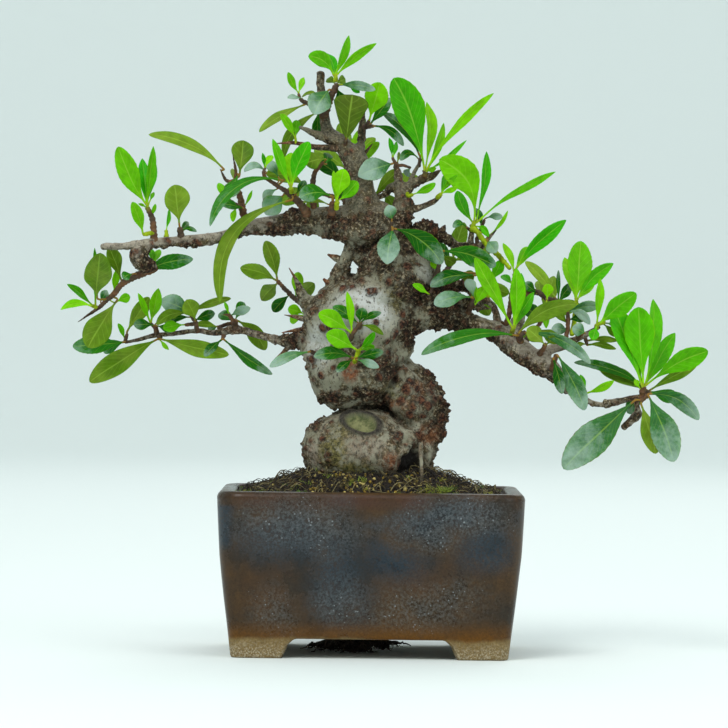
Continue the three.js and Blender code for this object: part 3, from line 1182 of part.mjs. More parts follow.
function makePot() {
  const body = skin(potTaper.map(([z, offset]) => outline(offset, z)));
  const hollow = skin(innerTaper.map(([z, offset]) => outline(offset, z)));
  const recess = skin([[-1, potTaper[0][1] - footDepth], [floorUnderside, potTaper[1][1] - footDepth]]
    .map(([z, offset]) => outline(offset, z)));
  const frontCut = footCut(frontCutHalf, potTopHalfY + 2);
  const sideCut = footCut(sideCutHalf, potTopHalfX + 2);
  sideCut.rotateZ(Math.PI / 2);
  const drain = new THREE.CylinderGeometry(drainRadius, drainRadius, floorTop - floorUnderside + 4, 24);
  drain.rotateX(Math.PI / 2);
  drain.translate(drainX, 0, (floorTop + floorUnderside) / 2);
  return body.subtract(join([hollow, recess, ...[frontCut, sideCut, drain].map(solidOf)]));
}

function makeDrainMesh() {
  const block = (x, y, width, height) => {
    const geometry = new THREE.BoxGeometry(width, width, height);
    geometry.translate(drainX + x, y, floorTop + gap + meshThickness / 2);
    return solidOf(geometry);
  };
  const middle = (meshHolesAcross - 1) / 2;
  const steps = Array.from({ length: meshHolesAcross }, (_, i) => (i - middle) * meshPitch);
  const holes = steps.flatMap((x) => steps.map((y) => block(x, y, meshHole, 2 * meshThickness)));
  return block(0, 0, meshSize, meshThickness).subtract(join(holes));
}

function soilHeight(x, y) {
  const out = (x / soilMoundReachX) ** 2 + (y / soilMoundReachY) ** 2;
  const crumbs = Math.sin(0.61 * x + 0.37 * y) + Math.sin(0.53 * y - 0.44 * x) + Math.sin(0.83 * x);
  return soilEdge + soilMound * Math.max(0, 1 - out) + (soilRelief * crumbs) / 2;
}

// Soil: fills the pot up to its rim, mounded round the trunk, with the trunk's own hole in it
function makeSoil(woodGrown) {
  const around = (offset, z) => {
    const edge = outline(offset - gap, z).map(({ x, y }) => new THREE.Vector2(x, y));
    return new THREE.Path([...edge, edge[0]]).getSpacedPoints(soilPoints).slice(0, soilPoints)
      .map((point) => new THREE.Vector3(point.x, point.y, z));
  };
  const sides = innerTaper.filter(([z]) => z < soilEdge - 2).map(([z, offset]) => around(offset, z));
  sides[0].forEach((point) => { point.z += gap; });
  const rim = around(-lipWidth, soilEdge - 1);
  const top = Array.from({ length: soilRings }, (_, ring) => {
    const share = 1 - ring / soilRings;
    return rim.map(({ x, y }) => new THREE.Vector3(x * share, y * share, soilHeight(x * share, y * share)));
  });
  const meshRoom = new THREE.BoxGeometry(meshSize + 2 * gap, meshSize + 2 * gap, meshThickness + 4 * gap);
  meshRoom.translate(drainX, 0, floorTop + gap + meshThickness / 2);
  return largest(skin([...sides, rim, ...top]).subtract(join([woodGrown, solidOf(meshRoom)])));
}

// Matted roots that have grown out through the drain hole, under the pot's floor
function makeDrainRoots() {
  const draw = random(rootSeed);
  const roots = [[[drainX, 0, floorTop - gap, 3.4], [drainX, 0, floorUnderside, 4], [drainX, 0, 4.8, 3.6]]];
  for (let i = 0; i < drainRootCount; i += 1) {
    const heading = Math.PI * (0.55 + 0.9 * ((i + draw()) / drainRootCount) + (i % 4 === 0 ? 1 : 0));
    const length = 11 + 13 * draw();
    const bend = 4 * draw() - 2;
    roots.push([0, 0.3, 0.65, 1].map((share) => [
      drainX + length * share * Math.cos(heading) - bend * share * share * Math.sin(heading),
      length * 0.7 * share * Math.sin(heading) + bend * share * share * Math.cos(heading),
      5.4 + 0.7 * Math.sin(4 * share + i) - 0.6 * share,
      1.5 - 0.7 * share,
    ]));
  }
  return largest(join(roots.map((root) => sweep(root, stemSides))));
}

const finishes = {
  glaze: { color: 0x54463e, roughness: 0.35, metalness: 0 },
  mesh: { color: 0x2c2e2b, roughness: 0.6, metalness: 0 },
  soil: { color: 0x2e241b, roughness: 0.95, metalness: 0 },
  root: { color: 0x6a4d33, roughness: 0.9, metalness: 0 },
  bark: { color: 0x8b8478, roughness: 0.85, metalness: 0 },
  old: { color: 0x2c6a2b, roughness: 0.4, metalness: 0 },
  back: { color: 0x71902c, roughness: 0.6, metalness: 0 },
  film: { color: 0x7f9c8c, roughness: 0.6, metalness: 0 },
  fresh: { color: 0x66bd18, roughness: 0.45, metalness: 0 },
};

const tree = new THREE.Group();

function place(name, solid, finish) {
  const mesh = new THREE.Mesh(geometryOf(solid), new THREE.MeshStandardMaterial(finishes[finish]));
  mesh.name = name;
  tree.add(mesh);
}

// A spray takes the finish of most of its leaves
function sprayFinish({ leaves }) {
  const kinds = leaves.map((leaf) => leaf.at(-1));
  return kinds.reduce((best, kind) => {
    const count = (name) => kinds.filter((other) => other === name).length;
    return count(kind) > count(best) ? kind : best;
  });
}

// The few small tufts that are grownIn are one piece with the wood
const tufts = Object.values(sprays).filter((spray) => spray.grownIn);
const woodGrown = makeWood(gap);
place('pot', makePot(), 'glaze');
place('drain_mesh', makeDrainMesh(), 'mesh');
place('drain_roots', makeDrainRoots(), 'root');
place('soil', makeSoil(woodGrown), 'soil');
place('wood', largest(join([makeWood(0), ...tufts.map(makeSpray)])), 'bark');

let blocked = join([woodGrown, ...tufts.map((tuft) => makeStems(tuft, gap))]);
for (const [name, spray] of Object.entries(sprays).filter(([, { grownIn }]) => !grownIn)) {
  place(`spray_${name}`, largest(makeSpray(spray).subtract(blocked)), sprayFinish(spray));
  blocked = blocked.add(makeStems(spray, gap));
}

// The origin is under the middle of the whole, on the surface that the pot stands on
const box = new THREE.Box3().setFromObject(tree);
tree.position.set(-(box.min.x + box.max.x) / 2, -(box.min.y + box.max.y) / 2, -box.min.z);
tree.updateMatrixWorld(true);

export default tree;
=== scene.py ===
import math

import bpy
import numpy as np
from mathutils import Matrix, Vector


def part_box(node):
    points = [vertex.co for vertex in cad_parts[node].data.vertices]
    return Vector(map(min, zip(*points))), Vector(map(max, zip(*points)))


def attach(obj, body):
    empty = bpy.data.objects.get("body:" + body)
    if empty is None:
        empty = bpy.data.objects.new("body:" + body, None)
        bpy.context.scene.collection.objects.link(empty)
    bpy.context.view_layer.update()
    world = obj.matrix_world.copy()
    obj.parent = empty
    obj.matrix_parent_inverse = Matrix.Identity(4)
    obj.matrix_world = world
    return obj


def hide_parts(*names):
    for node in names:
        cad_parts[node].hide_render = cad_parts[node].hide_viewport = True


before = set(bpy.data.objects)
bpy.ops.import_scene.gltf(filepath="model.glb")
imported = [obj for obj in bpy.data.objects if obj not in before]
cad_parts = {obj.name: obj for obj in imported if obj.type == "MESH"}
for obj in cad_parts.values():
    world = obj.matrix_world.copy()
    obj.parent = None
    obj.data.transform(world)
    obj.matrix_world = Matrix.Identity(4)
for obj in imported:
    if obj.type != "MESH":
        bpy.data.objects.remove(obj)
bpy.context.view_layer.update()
potLow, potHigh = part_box("pot")
potMiddle = 500 * (potLow.x + potHigh.x)     # where the middle of the pot stands in the frame, mm
print("frame loaded,", len(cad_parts), "nodes")


# sRGB hex to linear red, green, blue and alpha.
def linear(hexColour):
    parts = np.array([int(hexColour[i:i + 2], 16) for i in (1, 3, 5)]) / 255
    return (*np.where(parts <= 0.04045, parts / 12.92, ((parts + 0.055) / 1.055) ** 2.4), 1.0)


# Adds one node with its settings, links or fills its inputs, and gives back one output.
def addNode(tree, kind, inputs=None, out=0, **settings):
    node = tree.nodes.new("ShaderNode" + kind)
    for name, value in settings.items():
        setattr(node, name, value)
    for name, value in (inputs or {}).items():
        if isinstance(value, bpy.types.NodeSocket):
            tree.links.new(value, node.inputs[name])
        else:
            node.inputs[name].default_value = value
    return node.outputs[out]


# What an entry in a material's table stands for: a number, a colour in hex, a value by its name, a list of
# coats, or a row of a name, the low and high it is mapped from, the top and least it is mapped to, and the
# kind of curve.
def read(tree, at, entry):
    if isinstance(entry, list):
        return mixCoats(tree, at, entry)
    if isinstance(entry, tuple) and isinstance(entry[0], str):
        name, low, high, top, least, curve = entry + (1.0, 0.0, "LINEAR")[len(entry) - 3:]
        inputs = {0: at[name], 1: low, 2: high, 3: least, 4: top}
        return addNode(tree, "MapRange", inputs, interpolation_type=curve)
    if isinstance(entry, str):
        return linear(entry) if entry[0] == "#" else at[entry]
    return entry


# Lays coats over each other. A coat is one or two shares that are multiplied (none for the ground coat),
# the tone that mixes its two paints (none for one paint), and the paints. A shade multiplies what lies below.
def mixCoats(tree, at, coats):
    colour = None
    for mask, *rest in coats:
        if mask == "shade":
            inputs = {0: 1.0, 6: colour, 7: read(tree, at, rest[0])}
            colour = addNode(tree, "Mix", inputs, 2, data_type="RGBA", blend_type="MULTIPLY")
            continue
        edge, tone, *paints = rest
        paint, *second = [read(tree, at, entry) for entry in paints]
        if tone is not None:
            inputs = {0: read(tree, at, tone), 6: paint, 7: second[0]}
            paint = addNode(tree, "Mix", inputs, 2, data_type="RGBA")
        if mask is None and edge is None:
            colour = paint
            continue
        share, *edges = [read(tree, at, entry) for entry in (mask, edge) if entry is not None]
        if edges:
            share = addNode(tree, "Math", {0: share, 1: edges[0]}, operation="MULTIPLY")
        colour = addNode(tree, "Mix", {0: share, 6: colour, 7: paint}, 2, data_type="RGBA")
    return colour


# A node material from its table. noises: size in mm, detail, roughness and stretch. layers: mesh colours with
# names for red, green, blue and alpha. steps: a name, then a Math operation and its inputs, or one entry.
def newMaterial(look):
    material = bpy.data.materials.new(look["name"])
    material.use_nodes = True
    tree = material.node_tree
    tree.nodes.clear()
    place = addNode(tree, "TexCoord", out=look.get("coordinates", 3))
    at = {}
    for label, k in (("side", 0), ("height", 2)):
        at[label] = addNode(tree, "SeparateXYZ", {0: place}, k)
    for label, (size, detail, roughness, *stretch) in look["noises"].items():
        spot = addNode(tree, "Mapping", {0: place, 3: stretch[0]}) if stretch else place
        inputs = {0: spot, "Scale": 1000 / size, "Detail": detail, "Roughness": roughness}
        at[label] = addNode(tree, "TexNoise", inputs)
    if "spots" in look:
        inputs = {0: place, "Scale": 1000 / look["spots"], "Randomness": 1.0}
        at["spots"] = addNode(tree, "TexVoronoi", inputs)
    for layer, names in look.get("layers", {}).items():
        at[layer] = addNode(tree, "Attribute", attribute_name=layer)
        for k, label in enumerate(names):
            if k < 3:
                at[label] = addNode(tree, "SeparateColor", {0: at[layer]}, k)
            else:
                at[label] = addNode(tree, "Attribute", out=3, attribute_name=layer)
    for label in look.get("values", ()):
        at[label] = addNode(tree, "Attribute", out=2, attribute_name=label)
    for label, first, *others in look.get("steps", ()):
        if others:
            inputs = dict(enumerate(read(tree, at, entry) for entry in others))
            at[label] = addNode(tree, "Math", inputs, operation=first)
        else:
            at[label] = read(tree, at, first)
    inputs = {"Base Color": read(tree, at, look["coats"])}
    inputs.update({name: read(tree, at, entry) for name, entry in look["surface"].items()})
    if "bump" in look:
        relief, strength, distance = look["bump"]
        bump = {"Strength": strength, "Distance": distance, "Height": read(tree, at, relief)}
        inputs["Normal"] = addNode(tree, "Bump", bump)
    output = tree.nodes.new("ShaderNodeOutputMaterial")
    tree.links.new(addNode(tree, "BsdfPrincipled", inputs), output.inputs[0])
    return material


# 0 up to low, 1 from high on, and an even S between them.
def smooth(value, low, high):
    t = np.clip((value - low) / (high - low), 0, 1)
    return t * t * (3 - 2 * t)


# Value noise: random numbers on a lattice of the given spacing, blended along x, y and z,
# and added up in layers, each with half the size and half the strength. From about -1 to 1.
def noise(points, size, seed, layers=3):
    total = np.zeros(len(points))
    strength = 1.0
    for layer in range(layers):
        place = points / size + 17.3 * layer
        cell = np.floor(place).astype(np.int64)
        part = place - cell
        part = part * part * (3 - 2 * part)
        value = 0
        for corner in range(8):
            step = np.array([corner & 1, corner >> 1 & 1, corner >> 2 & 1])
            x, y, z = ((cell + step) & 0xFFFF).T
            mixed = (x * 73856093) ^ (y * 19349663) ^ (z * 83492791) ^ ((seed + layer) * 2654435761)
            mixed = ((mixed & 0xFFFFFFFF) ^ ((mixed & 0xFFFFFFFF) >> 15)) * 2246822519 & 0xFFFFFFFF
            mixed = (mixed ^ (mixed >> 13)) * 3266489917 & 0xFFFFFFFF
            weight = np.prod(np.where(step, part, 1 - part), axis=1)
            value = value + weight * ((mixed ^ (mixed >> 16)) / 2147483648 - 1)
        total += strength * value
        strength, size = strength / 2, size / 2
    return total


# Quads of a grid of rings of points, each ring closed on itself.
def gridFaces(rings, sides, closeRings=False):
    ring = np.arange(rings if closeRings else rings - 1)[:, None]
    side = np.arange(sides)[None, :]
    after, beside = (ring + 1) % rings, (side + 1) % sides
    corners = [ring * sides + side, ring * sides + beside, after * sides + beside, after * sides + side]
    return np.stack(corners, -1).reshape(-1, 4)


# The same, closed by a cap at both ends.
def closedFaces(rings, sides):
    caps = np.array([np.arange(sides)[::-1], (rings - 1) * sides + np.arange(sides)])
    return [gridFaces(rings, sides), caps]


# An object of the given mesh, from mm in the pot's own frame, that rides with the whole tree.
def makePiece(name, points, faces, material, slot, replaced=(), layers=None):
    mesh = bpy.data.meshes.new(name)
    place = (np.asarray(points, float) + [potMiddle, 0, 0]) / 1000
    corners = np.concatenate([np.ravel(part) for part in faces]).astype(np.int32)
    counts = np.concatenate([np.full(len(part), np.shape(part)[1]) for part in faces]).astype(np.int32)
    mesh.vertices.add(len(place))
    mesh.vertices.foreach_set("co", place.ravel().astype(np.float32))
    mesh.loops.add(len(corners))
    mesh.loops.foreach_set("vertex_index", corners)
    mesh.polygons.add(len(counts))
    mesh.polygons.foreach_set("loop_start", np.concatenate([[0], np.cumsum(counts)[:-1]]).astype(np.int32))
    mesh.polygons.foreach_set("use_smooth", np.ones(len(counts), bool))
    mesh.update(calc_edges=True)
    mesh.validate()
    for label, values in (layers or {}).items():
        kind, field = ("FLOAT", "value") if np.ndim(values) == 1 else ("FLOAT_COLOR", "color")
        layer = mesh.attributes.new(label, kind, "POINT")
        layer.data.foreach_set(field, np.ravel(values).astype(np.float32))
    mesh.materials.append(material)
    piece = bpy.data.objects.new(name, mesh)
    bpy.context.scene.collection.objects.link(piece)
    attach(piece, "root")
    if replaced:
        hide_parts(*replaced)
    print(name, len(counts), "faces")
    return piece


# Camera, floor and light: the view that the leaves and limbs below were placed in
view = {"x": -3.4, "distance": 1600, "height": 129, "downward": 0.009, "roll": 0.0117,
        "lens": 36 * 4017 / 728, "sensor": 36}


def makeCamera():
    camera = bpy.data.objects.new("Camera", bpy.data.cameras.new("Camera"))
    camera.data.sensor_width = view["sensor"]
    camera.data.lens = view["lens"]
    camera.data.clip_start = 0.05
    place = ((potMiddle + view["x"]) / 1000, -view["distance"] / 1000, view["height"] / 1000)
    camera.matrix_world = (Matrix.Translation(place) @ Matrix.Rotation(math.pi / 2 - view["downward"], 4, "X")
                           @ Matrix.Rotation(view["roll"], 4, "Z"))
    bpy.context.scene.collection.objects.link(camera)
    bpy.context.scene.camera = camera


# Floor in mm, then lamps: place and size in metres, and power; all of them aim at the middle of the tree
studio = {"flatRadius": 2400, "bendRadius": 1200, "height": 2600, "sides": 96, "flatRings": 8,
          "bendRings": 16, "worldColour": "#F4F8FF", "worldStrength": 0.86, "aim": (0, 0, 0.12),
          "lamps": {"key": ((-0.8, -1.4, 1.9), 1.1, 27), "fill": ((1.5, -1.3, 1.0), 1.6, 9),
                    "back": ((0.5, 1.6, 1.6), 1.4, 8)}}
paper = {"name": "matt paper", "coordinates": 0, "noises": {"grain": (1000 / 3, 2, 0.5)},
         "coats": [(None, None, "grain", "#E2EBE6", "#E9F1ED")], "surface": {"Roughness": 0.9}}


# Round pale floor that rises into a wall far outside: a profile of radius and height, turned about z.
def makeStudio():
    flat, rise, sides = studio["flatRadius"], studio["bendRadius"], studio["sides"]
    bend = np.linspace(0, math.pi / 2, studio["bendRings"])[1:]
    level = np.concatenate([[1], np.linspace(200, flat, studio["flatRings"])])
    radius = np.concatenate([level, flat + rise * np.sin(bend), [flat + rise]])
    height = np.concatenate([0 * level, rise * (1 - np.cos(bend)), [studio["height"]]])
    turn = np.linspace(0, 2 * math.pi, sides, endpoint=False)
    rings = np.stack([radius[:, None] * np.cos(turn), radius[:, None] * np.sin(turn),
                      np.repeat(height[:, None], sides, 1)], -1).reshape(-1, 3)
    mesh = bpy.data.meshes.new("Floor")
    faces = [list(range(sides))] + gridFaces(len(radius), sides).tolist()
    mesh.from_pydata((rings / 1000).tolist(), [], faces)
    mesh.polygons.foreach_set("use_smooth", np.ones(len(mesh.polygons), bool))
    floor = bpy.data.objects.new("Floor", mesh)
    bpy.context.scene.collection.objects.link(floor)
    mesh.materials.append(newMaterial(paper))
    world = bpy.data.worlds.new("World")
    world.use_nodes = True
    sky = world.node_tree.nodes["Background"]
    sky.inputs[0].default_value = linear(studio["worldColour"])
    sky.inputs[1].default_value = studio["worldStrength"]
    bpy.context.scene.world = world
    for name, (place, size, power) in studio["lamps"].items():
        lamp = bpy.data.objects.new(name, bpy.data.lights.new(name, "AREA"))
        lamp.data.shape = "DISK"
        lamp.data.size = size
        lamp.data.energy = power
        aim = np.array(studio["aim"]) - place
        lamp.location = place
        tilt = math.atan2(math.hypot(aim[0], aim[1]), -aim[2])
        lamp.rotation_euler = (tilt, 0, math.atan2(aim[1], aim[0]) - math.pi / 2)
        bpy.context.scene.collection.objects.link(lamp)
    bpy.context.scene.view_settings.view_transform = "Standard"


makeCamera()
makeStudio()
print("camera, floor and lights")


# Pot: stoneware with an iron-brown glaze that breaks to blue where it lies thick
pot = {"halfX": 60, "halfY": 44, "height": 65, "corner": 10, "smallestCorner": 2.5,
       "taper": [[0, -5.8], [10, -4.6], [24, -3.0], [40, -1.3], [54, -0.4], [61, 0]],
       "lip": [[62.6, 0.1], [63.9, -0.35], [64.7, -1.1], [65, -2.2], [65.05, -3.4], [64.9, -4.6],
               [64.4, -5.6], [63.5, -6.2], [62, -6.5]],
       "wall": 6, "floorUnder": 8, "floorTop": 13, "skirt": 9, "drainRadius": 9, "drainX": -4,
       "frontCutHalf": 34, "sideCutHalf": 24, "cutHeight": 7.7, "shoulder": 5, "rim": 0.9,
       "innerFoot": [[-6.2, 15], [-7.4, 13.8], [-9.2, 13.1]], "insetRange": (-7.5, 0.5),
       "sideSteps": [84, 60], "cornerSteps": 12, "floorRings": 8, "footRings": 8, "outerRings": 46,
       "innerRings": 12, "wave": 0.32, "waveSize": 34, "seed": 5}


# Rounded rectangle of the pot at an inset (negative is inwards): four straight sides and four arcs,
# as (points, 2), from the left of the front round by +x.
def potOutline(inset):
    halfX, halfY = pot["halfX"] + inset, pot["halfY"] + inset
    corner = max(pot["corner"] + inset, pot["smallestCorner"])
    places = []
    for quarter in range(4):
        half = (halfX, halfY)[quarter % 2] - corner
        reach = (halfY, halfX)[quarter % 2]
        share = np.linspace(-1, 1, pot["sideSteps"][quarter % 2] + 1)
        share = share + 0.06 * np.sin(math.pi * share) * (1 - share ** 2)
        straight = np.stack([share * half, np.full(len(share), -reach)], -1)
        angle = np.linspace(-math.pi / 2, 0, pot["cornerSteps"] + 1)[1:-1]
        arc = np.stack([half + corner * np.cos(angle), corner - reach + corner * np.sin(angle)], -1)
        c, s = math.cos(quarter * math.pi / 2), math.sin(quarter * math.pi / 2)
        side = np.concatenate([straight, arc])
        places.append(np.stack([c * side[:, 0] - s * side[:, 1], s * side[:, 0] + c * side[:, 1]], -1))
    return np.concatenate(places)


# Height of the arch under one wall at each distance out from its middle: flat on top, an ogee at the ends.
def cutHeight(out, half):
    t = np.clip((half - np.abs(out)) / pot["shoulder"], 0, 1)
    ogee = np.interp(t, [0, 0.1, 0.35, 0.62, 1], [0, 0.52, 0.68, 0.86, 1])
    return pot["cutHeight"] * np.where(np.abs(out) < half, ogee, 0)


# The outline with an inset of its own at each point: between the widest and the narrowest outline.
def scaledOutline(insets):
    low, high = pot["insetRange"]
    narrow, wide = potOutline(low), potOutline(high)
    share = ((np.broadcast_to(insets, len(narrow)) - low) / (high - low))[:, None]
    return narrow * (1 - share) + wide * share


# One closed skin: rings of the outline, each at its own inset and height, from the edge of the drain hole
# under the floor, down the inside of the feet, round their lower edge, up the outside, over the lip,
# down the inner wall and back over the floor to the drain hole.
def makePot():
    outline = potOutline(0)
    front = np.abs(np.abs(outline[:, 1]) - pot["halfY"]) < 1e-6
    side = np.abs(np.abs(outline[:, 0]) - pot["halfX"]) < 1e-6
    cut = np.where(front, cutHeight(outline[:, 0], pot["frontCutHalf"]),
                   np.where(side, cutHeight(outline[:, 1], pot["sideCutHalf"]), 0))
    angle = np.arctan2(outline[:, 1], outline[:, 0])
    hole = pot["drainRadius"] * np.stack([np.cos(angle), np.sin(angle)], -1) + [pot["drainX"], 0]
    heights, insets = np.array(pot["taper"]).T
    under, skirt, wall, rim = (pot[name] for name in ("floorUnder", "skirt", "wall", "rim"))
    rings = []

    def ring(plan, z):
        rings.append(np.column_stack([plan, np.broadcast_to(z, len(plan))]))

    for share in np.linspace(1, 0, pot["floorRings"]):
        ring((1 - share) * potOutline(-skirt - 2.5) + share * hole, under)
    ring(potOutline(-skirt - 1.2), under)
    ring(potOutline(-skirt - 0.35), under - 0.05)
    for share in np.linspace(0, 1, pot["footRings"]):
        ring(potOutline(-skirt), (cut + rim) * share + (under - 0.3) * (1 - share))
    for turn in np.linspace(0, math.pi / 2, 4)[1:]:
        ring(potOutline(-skirt + rim * (1 - math.cos(turn))), cut + rim * (1 - math.sin(turn)))
    for share in np.linspace(0.12, 0.88, 7):
        ring(potOutline(-skirt + rim) * (1 - share) + share * potOutline(-5.9 - rim), cut)
    for turn in np.linspace(0, math.pi / 2, 5):
        z = cut + rim * (1 - math.cos(turn))
        ring(scaledOutline(np.interp(z, heights, insets) - rim * (1 - math.sin(turn))), z)
    for share in np.linspace(0, 1, pot["outerRings"])[1:]:
        z = (cut + rim) * (1 - share) + 61.5 * share
        ring(scaledOutline(np.interp(z, heights, insets)), z)
    for z, inset in pot["lip"]:
        ring(potOutline(inset), z)
    for z in np.linspace(60, 17, pot["innerRings"]):
        ring(potOutline(np.interp(z, heights, insets) - wall - 1.5 * smooth(z, 26, 17)), z)
    for inset, z in pot["innerFoot"]:
        ring(potOutline(inset - wall), z)
    for share in np.linspace(0, 1, pot["floorRings"]):
        ring((1 - share) * potOutline(-wall - 12) + share * hole, pot["floorTop"])
    points = np.concatenate(rings)
    outer = smooth(points[:, 2], 0, 12) * (1 - smooth(points[:, 2], 62, 65))
    push = pot["wave"] * noise(points, pot["waveSize"], pot["seed"], 2) * outer
    away = points[:, :2] / np.maximum(np.linalg.norm(points[:, :2], axis=1, keepdims=True), 1)
    points[:, :2] += away * push[:, None]
    return points, gridFaces(len(rings), len(outline), closeRings=True)


# Glazed stoneware: thin and amber at the foot, thick and blue in runs, with tiny pale crystals and a film of
# paler ash over the blue. Under the edge of the glaze lies olive clay with pale dust.
glaze = {
    "name": "iron and blue stoneware glaze",
    "noises": {"mottle": (16, 6, 0.62), "fine": (1.05, 4, 0.7), "sparse": (1000 / 180, 2, 0.5),
               "dust": (0.7, 3, 0.7), "grain": (0.9, 2, 0.8)},
    "spots": 1.7,
    "layers": {"glaze": ("blue", "speck", "rust")},
    "steps": [
        ("ash", "MULTIPLY", "speck", ("fine", 0.43, 0.62, 0.46)),
        ("dot", "LESS_THAN", "spots", ("speck", 0, 1, 0.22, 0.04)),
        ("dot", "MULTIPLY", "dot", ("sparse", 0.44, 0.56, 0.6)),
        ("uneven", "MULTIPLY_ADD", "mottle", 0.006, "height"),
        ("amber", ("uneven", 0.019, 0.0115, 1, 0, "SMOOTHSTEP")),
        ("bare", ("uneven", 0.0118, 0.0098, 1, 0, "SMOOTHSTEP")),
        ("rough", "MULTIPLY_ADD", "bare", 0.3, ("mottle", 0.3, 0.7, 0.39, 0.21)),
        ("rough", "MULTIPLY_ADD", "ash", 0.25, "rough"),
        ("relief", "MULTIPLY_ADD", "dot", "fine", "mottle")],
    "coats": [
        (None, None, ("mottle", 0.36, 0.64), "#2D241A", "#463118"),
        ("rust", ("mottle", 0.3, 0.6), None, "#432C1F"),
        ("blue", ("fine", 0.2, 0.55), ("mottle", 0.36, 0.64), "#1C2932", "#2A333B"),
        ("ash", None, None, "#696B69"),
        ("dot", None, None, "#868D90"),
        ("amber", ("mottle", 0.32, 0.6, 1, 0.35), None, "#5C3906"),
        ("bare", None, None, [
            (None, None, None, "#75603A"),
            (("uneven", 0.0105, 0.0055, 0.8, 0.05), ("dust", 0.46, 0.6), None, "#A99F88")]),
        ("shade", ("grain", 0.3, 0.7, 1.28, 0.72))],
    "bump": ("relief", 0.22, 0.0006),
    "surface": {"Roughness": "rough", "IOR": 1.52, "Specular IOR Level": 0.18, "Coat Weight": 0.03,
                "Coat Roughness": 0.12}}

# Where the glaze lies thick, on the front: middle x and z, half width and half height, in mm
bluePatches = [(-28, 46, 30, 13), (-10, 34, 15, 30), (42, 44, 16, 13), (24, 55, 30, 8), (10, 40, 16, 10)]
speckPatches = [(-24, 51, 33, 12), (-9, 24, 12, 14), (28, 54, 34, 10), (-38, 15, 15, 16), (27, 55, 8, 5),
                (20, 20, 34, 14)]
rustPatches = [(20, 34, 30, 9), (-38, 26, 18, 14)]

# The same on each of the three sides that the photograph hides
hiddenBlue = [(0, 34, 13, 24)]
hiddenSpeck = [(0, 52, 24, 7), (20, 18, 9, 8)]


# Soft ellipses: the strongest of the patches at each point, from 0 to 1.
def patchAt(x, z, patches):
    best = np.zeros(len(x))
    for cx, cz, rx, rz in patches:
        best = np.maximum(best, smooth(1.25 - np.hypot((x - cx) / rx, (z - cz) / rz), 0, 1.1))
    return best


# Blue, specks and rust for each point: the noted patches on the front, drawn ones on the other sides.
def glazeMasks(points):
    x, y, z = points.T
    warp = 5 * np.stack([noise(points, 22, 31, 3), noise(points + 50, 18, 37, 3)])
    front = smooth(-y, 34, 42)
    back, right, left = smooth(y, 34, 42), smooth(x, 50, 57), smooth(-x, 50, 57)
    blue = front * patchAt(x + warp[0], z + warp[1], bluePatches)
    speck = front * patchAt(x + warp[0], z + warp[1], speckPatches)
    drift = noise(points + [0, 0, 9], 30, 51, 2)
    band = smooth(z, 34, 50) * (1 - smooth(z, 58, 62))
    for face, across, turn in ((back, x, 12), (right, y, -9), (left, y, 6)):
        blue = np.maximum(blue, face * smooth(band + 0.55 * drift, 0.55, 1.05))
        blue = np.maximum(blue, face * patchAt(across + warp[0] + turn, z + warp[1], hiddenBlue))
        speck = np.maximum(speck, face * patchAt(across + warp[0] - turn, z + warp[1], hiddenSpeck))
    rust = smooth(drift + 0.45 * noise(points, 13, 61, 2), -0.5, 0.35)
    rust = rust * smooth(z, 56.5, 61) * (1 - smooth(z, 63.4, 64.6))
    rust = np.maximum(rust, 0.35 * front * patchAt(x + warp[0], z + warp[1], rustPatches))
    return np.column_stack([blue, speck, rust, np.ones(len(x))])


potPoints, potFaces = makePot()
makePiece("glazedPot", potPoints, [potFaces], newMaterial(glaze), "pot_glaze", ["pot"],
          {"glaze": glazeMasks(potPoints)})


# Places noted on the front view: how far the branches swing towards the front (-) or the back (+)
# by their distance out, below one height and above another
sight = {"start": 25, "ease": 15, "left": (0.2, -0.17, 132, 158), "right": (-0.15, 0.12, 136, 166)}


# Carries noted places (x, y, z) along their line of sight to their own depth.
def seen(places):
    x, y, z = np.atleast_2d(np.asarray(places, float))[:, :3].T
    out = np.maximum(0, np.abs(x) - sight["start"])
    left, right = (np.array(sight[side])[:, None] for side in ("left", "right"))
    low, high, start, end = np.where(x < 0, left, right)
    depth = y + (low + (high - low) * smooth(z, start, end)) * out ** 2 / (out + sight["ease"])
    reach = depth / view["distance"]
    return np.column_stack([x + (x - view["x"]) * reach, depth, z + (z - view["height"]) * reach])


def unit(vectors):
    return vectors / np.maximum(np.linalg.norm(vectors, axis=-1, keepdims=True), 1e-9)


# Smooth curve through knots (x, y, z, half thickness): between two knots, the cubic whose slope at
# each end is half the way from the knot before to the knot after.
def curveThrough(knots, step):
    knots = np.asarray(knots, float)
    padded = np.vstack([2 * knots[0] - knots[1], knots, 2 * knots[-1] - knots[-2]])
    parts = []
    for i, length in enumerate(np.linalg.norm(np.diff(knots[:, :3], axis=0), axis=1)):
        t = np.linspace(0, 1, max(2, math.ceil(length / step)) + 1)[:-1, None]
        a, b, c, d = padded[i:i + 4]
        curve = (2 * a - 5 * b + 4 * c - d) * t ** 2 + (3 * b - a - 3 * c + d) * t ** 3
        parts.append(0.5 * (2 * b + (c - a) * t + curve))
    path = np.vstack(parts + [knots[-1:]])
    path[:, 3] = np.clip(path[:, 3], 0.06, knots[:, 3].max())
    return path


# Tangent, normal and second normal at each point of a path, carried along without twisting.
def frames(centres):
    tangents = unit(np.gradient(centres, axis=0))
    normals = np.empty_like(tangents)
    normal = np.array([0.13, -1, 0.29])
    for i, tangent in enumerate(tangents):
        normal = unit(normal - normal @ tangent * tangent)
        normals[i] = normal
    return tangents, normals, np.cross(tangents, normals)


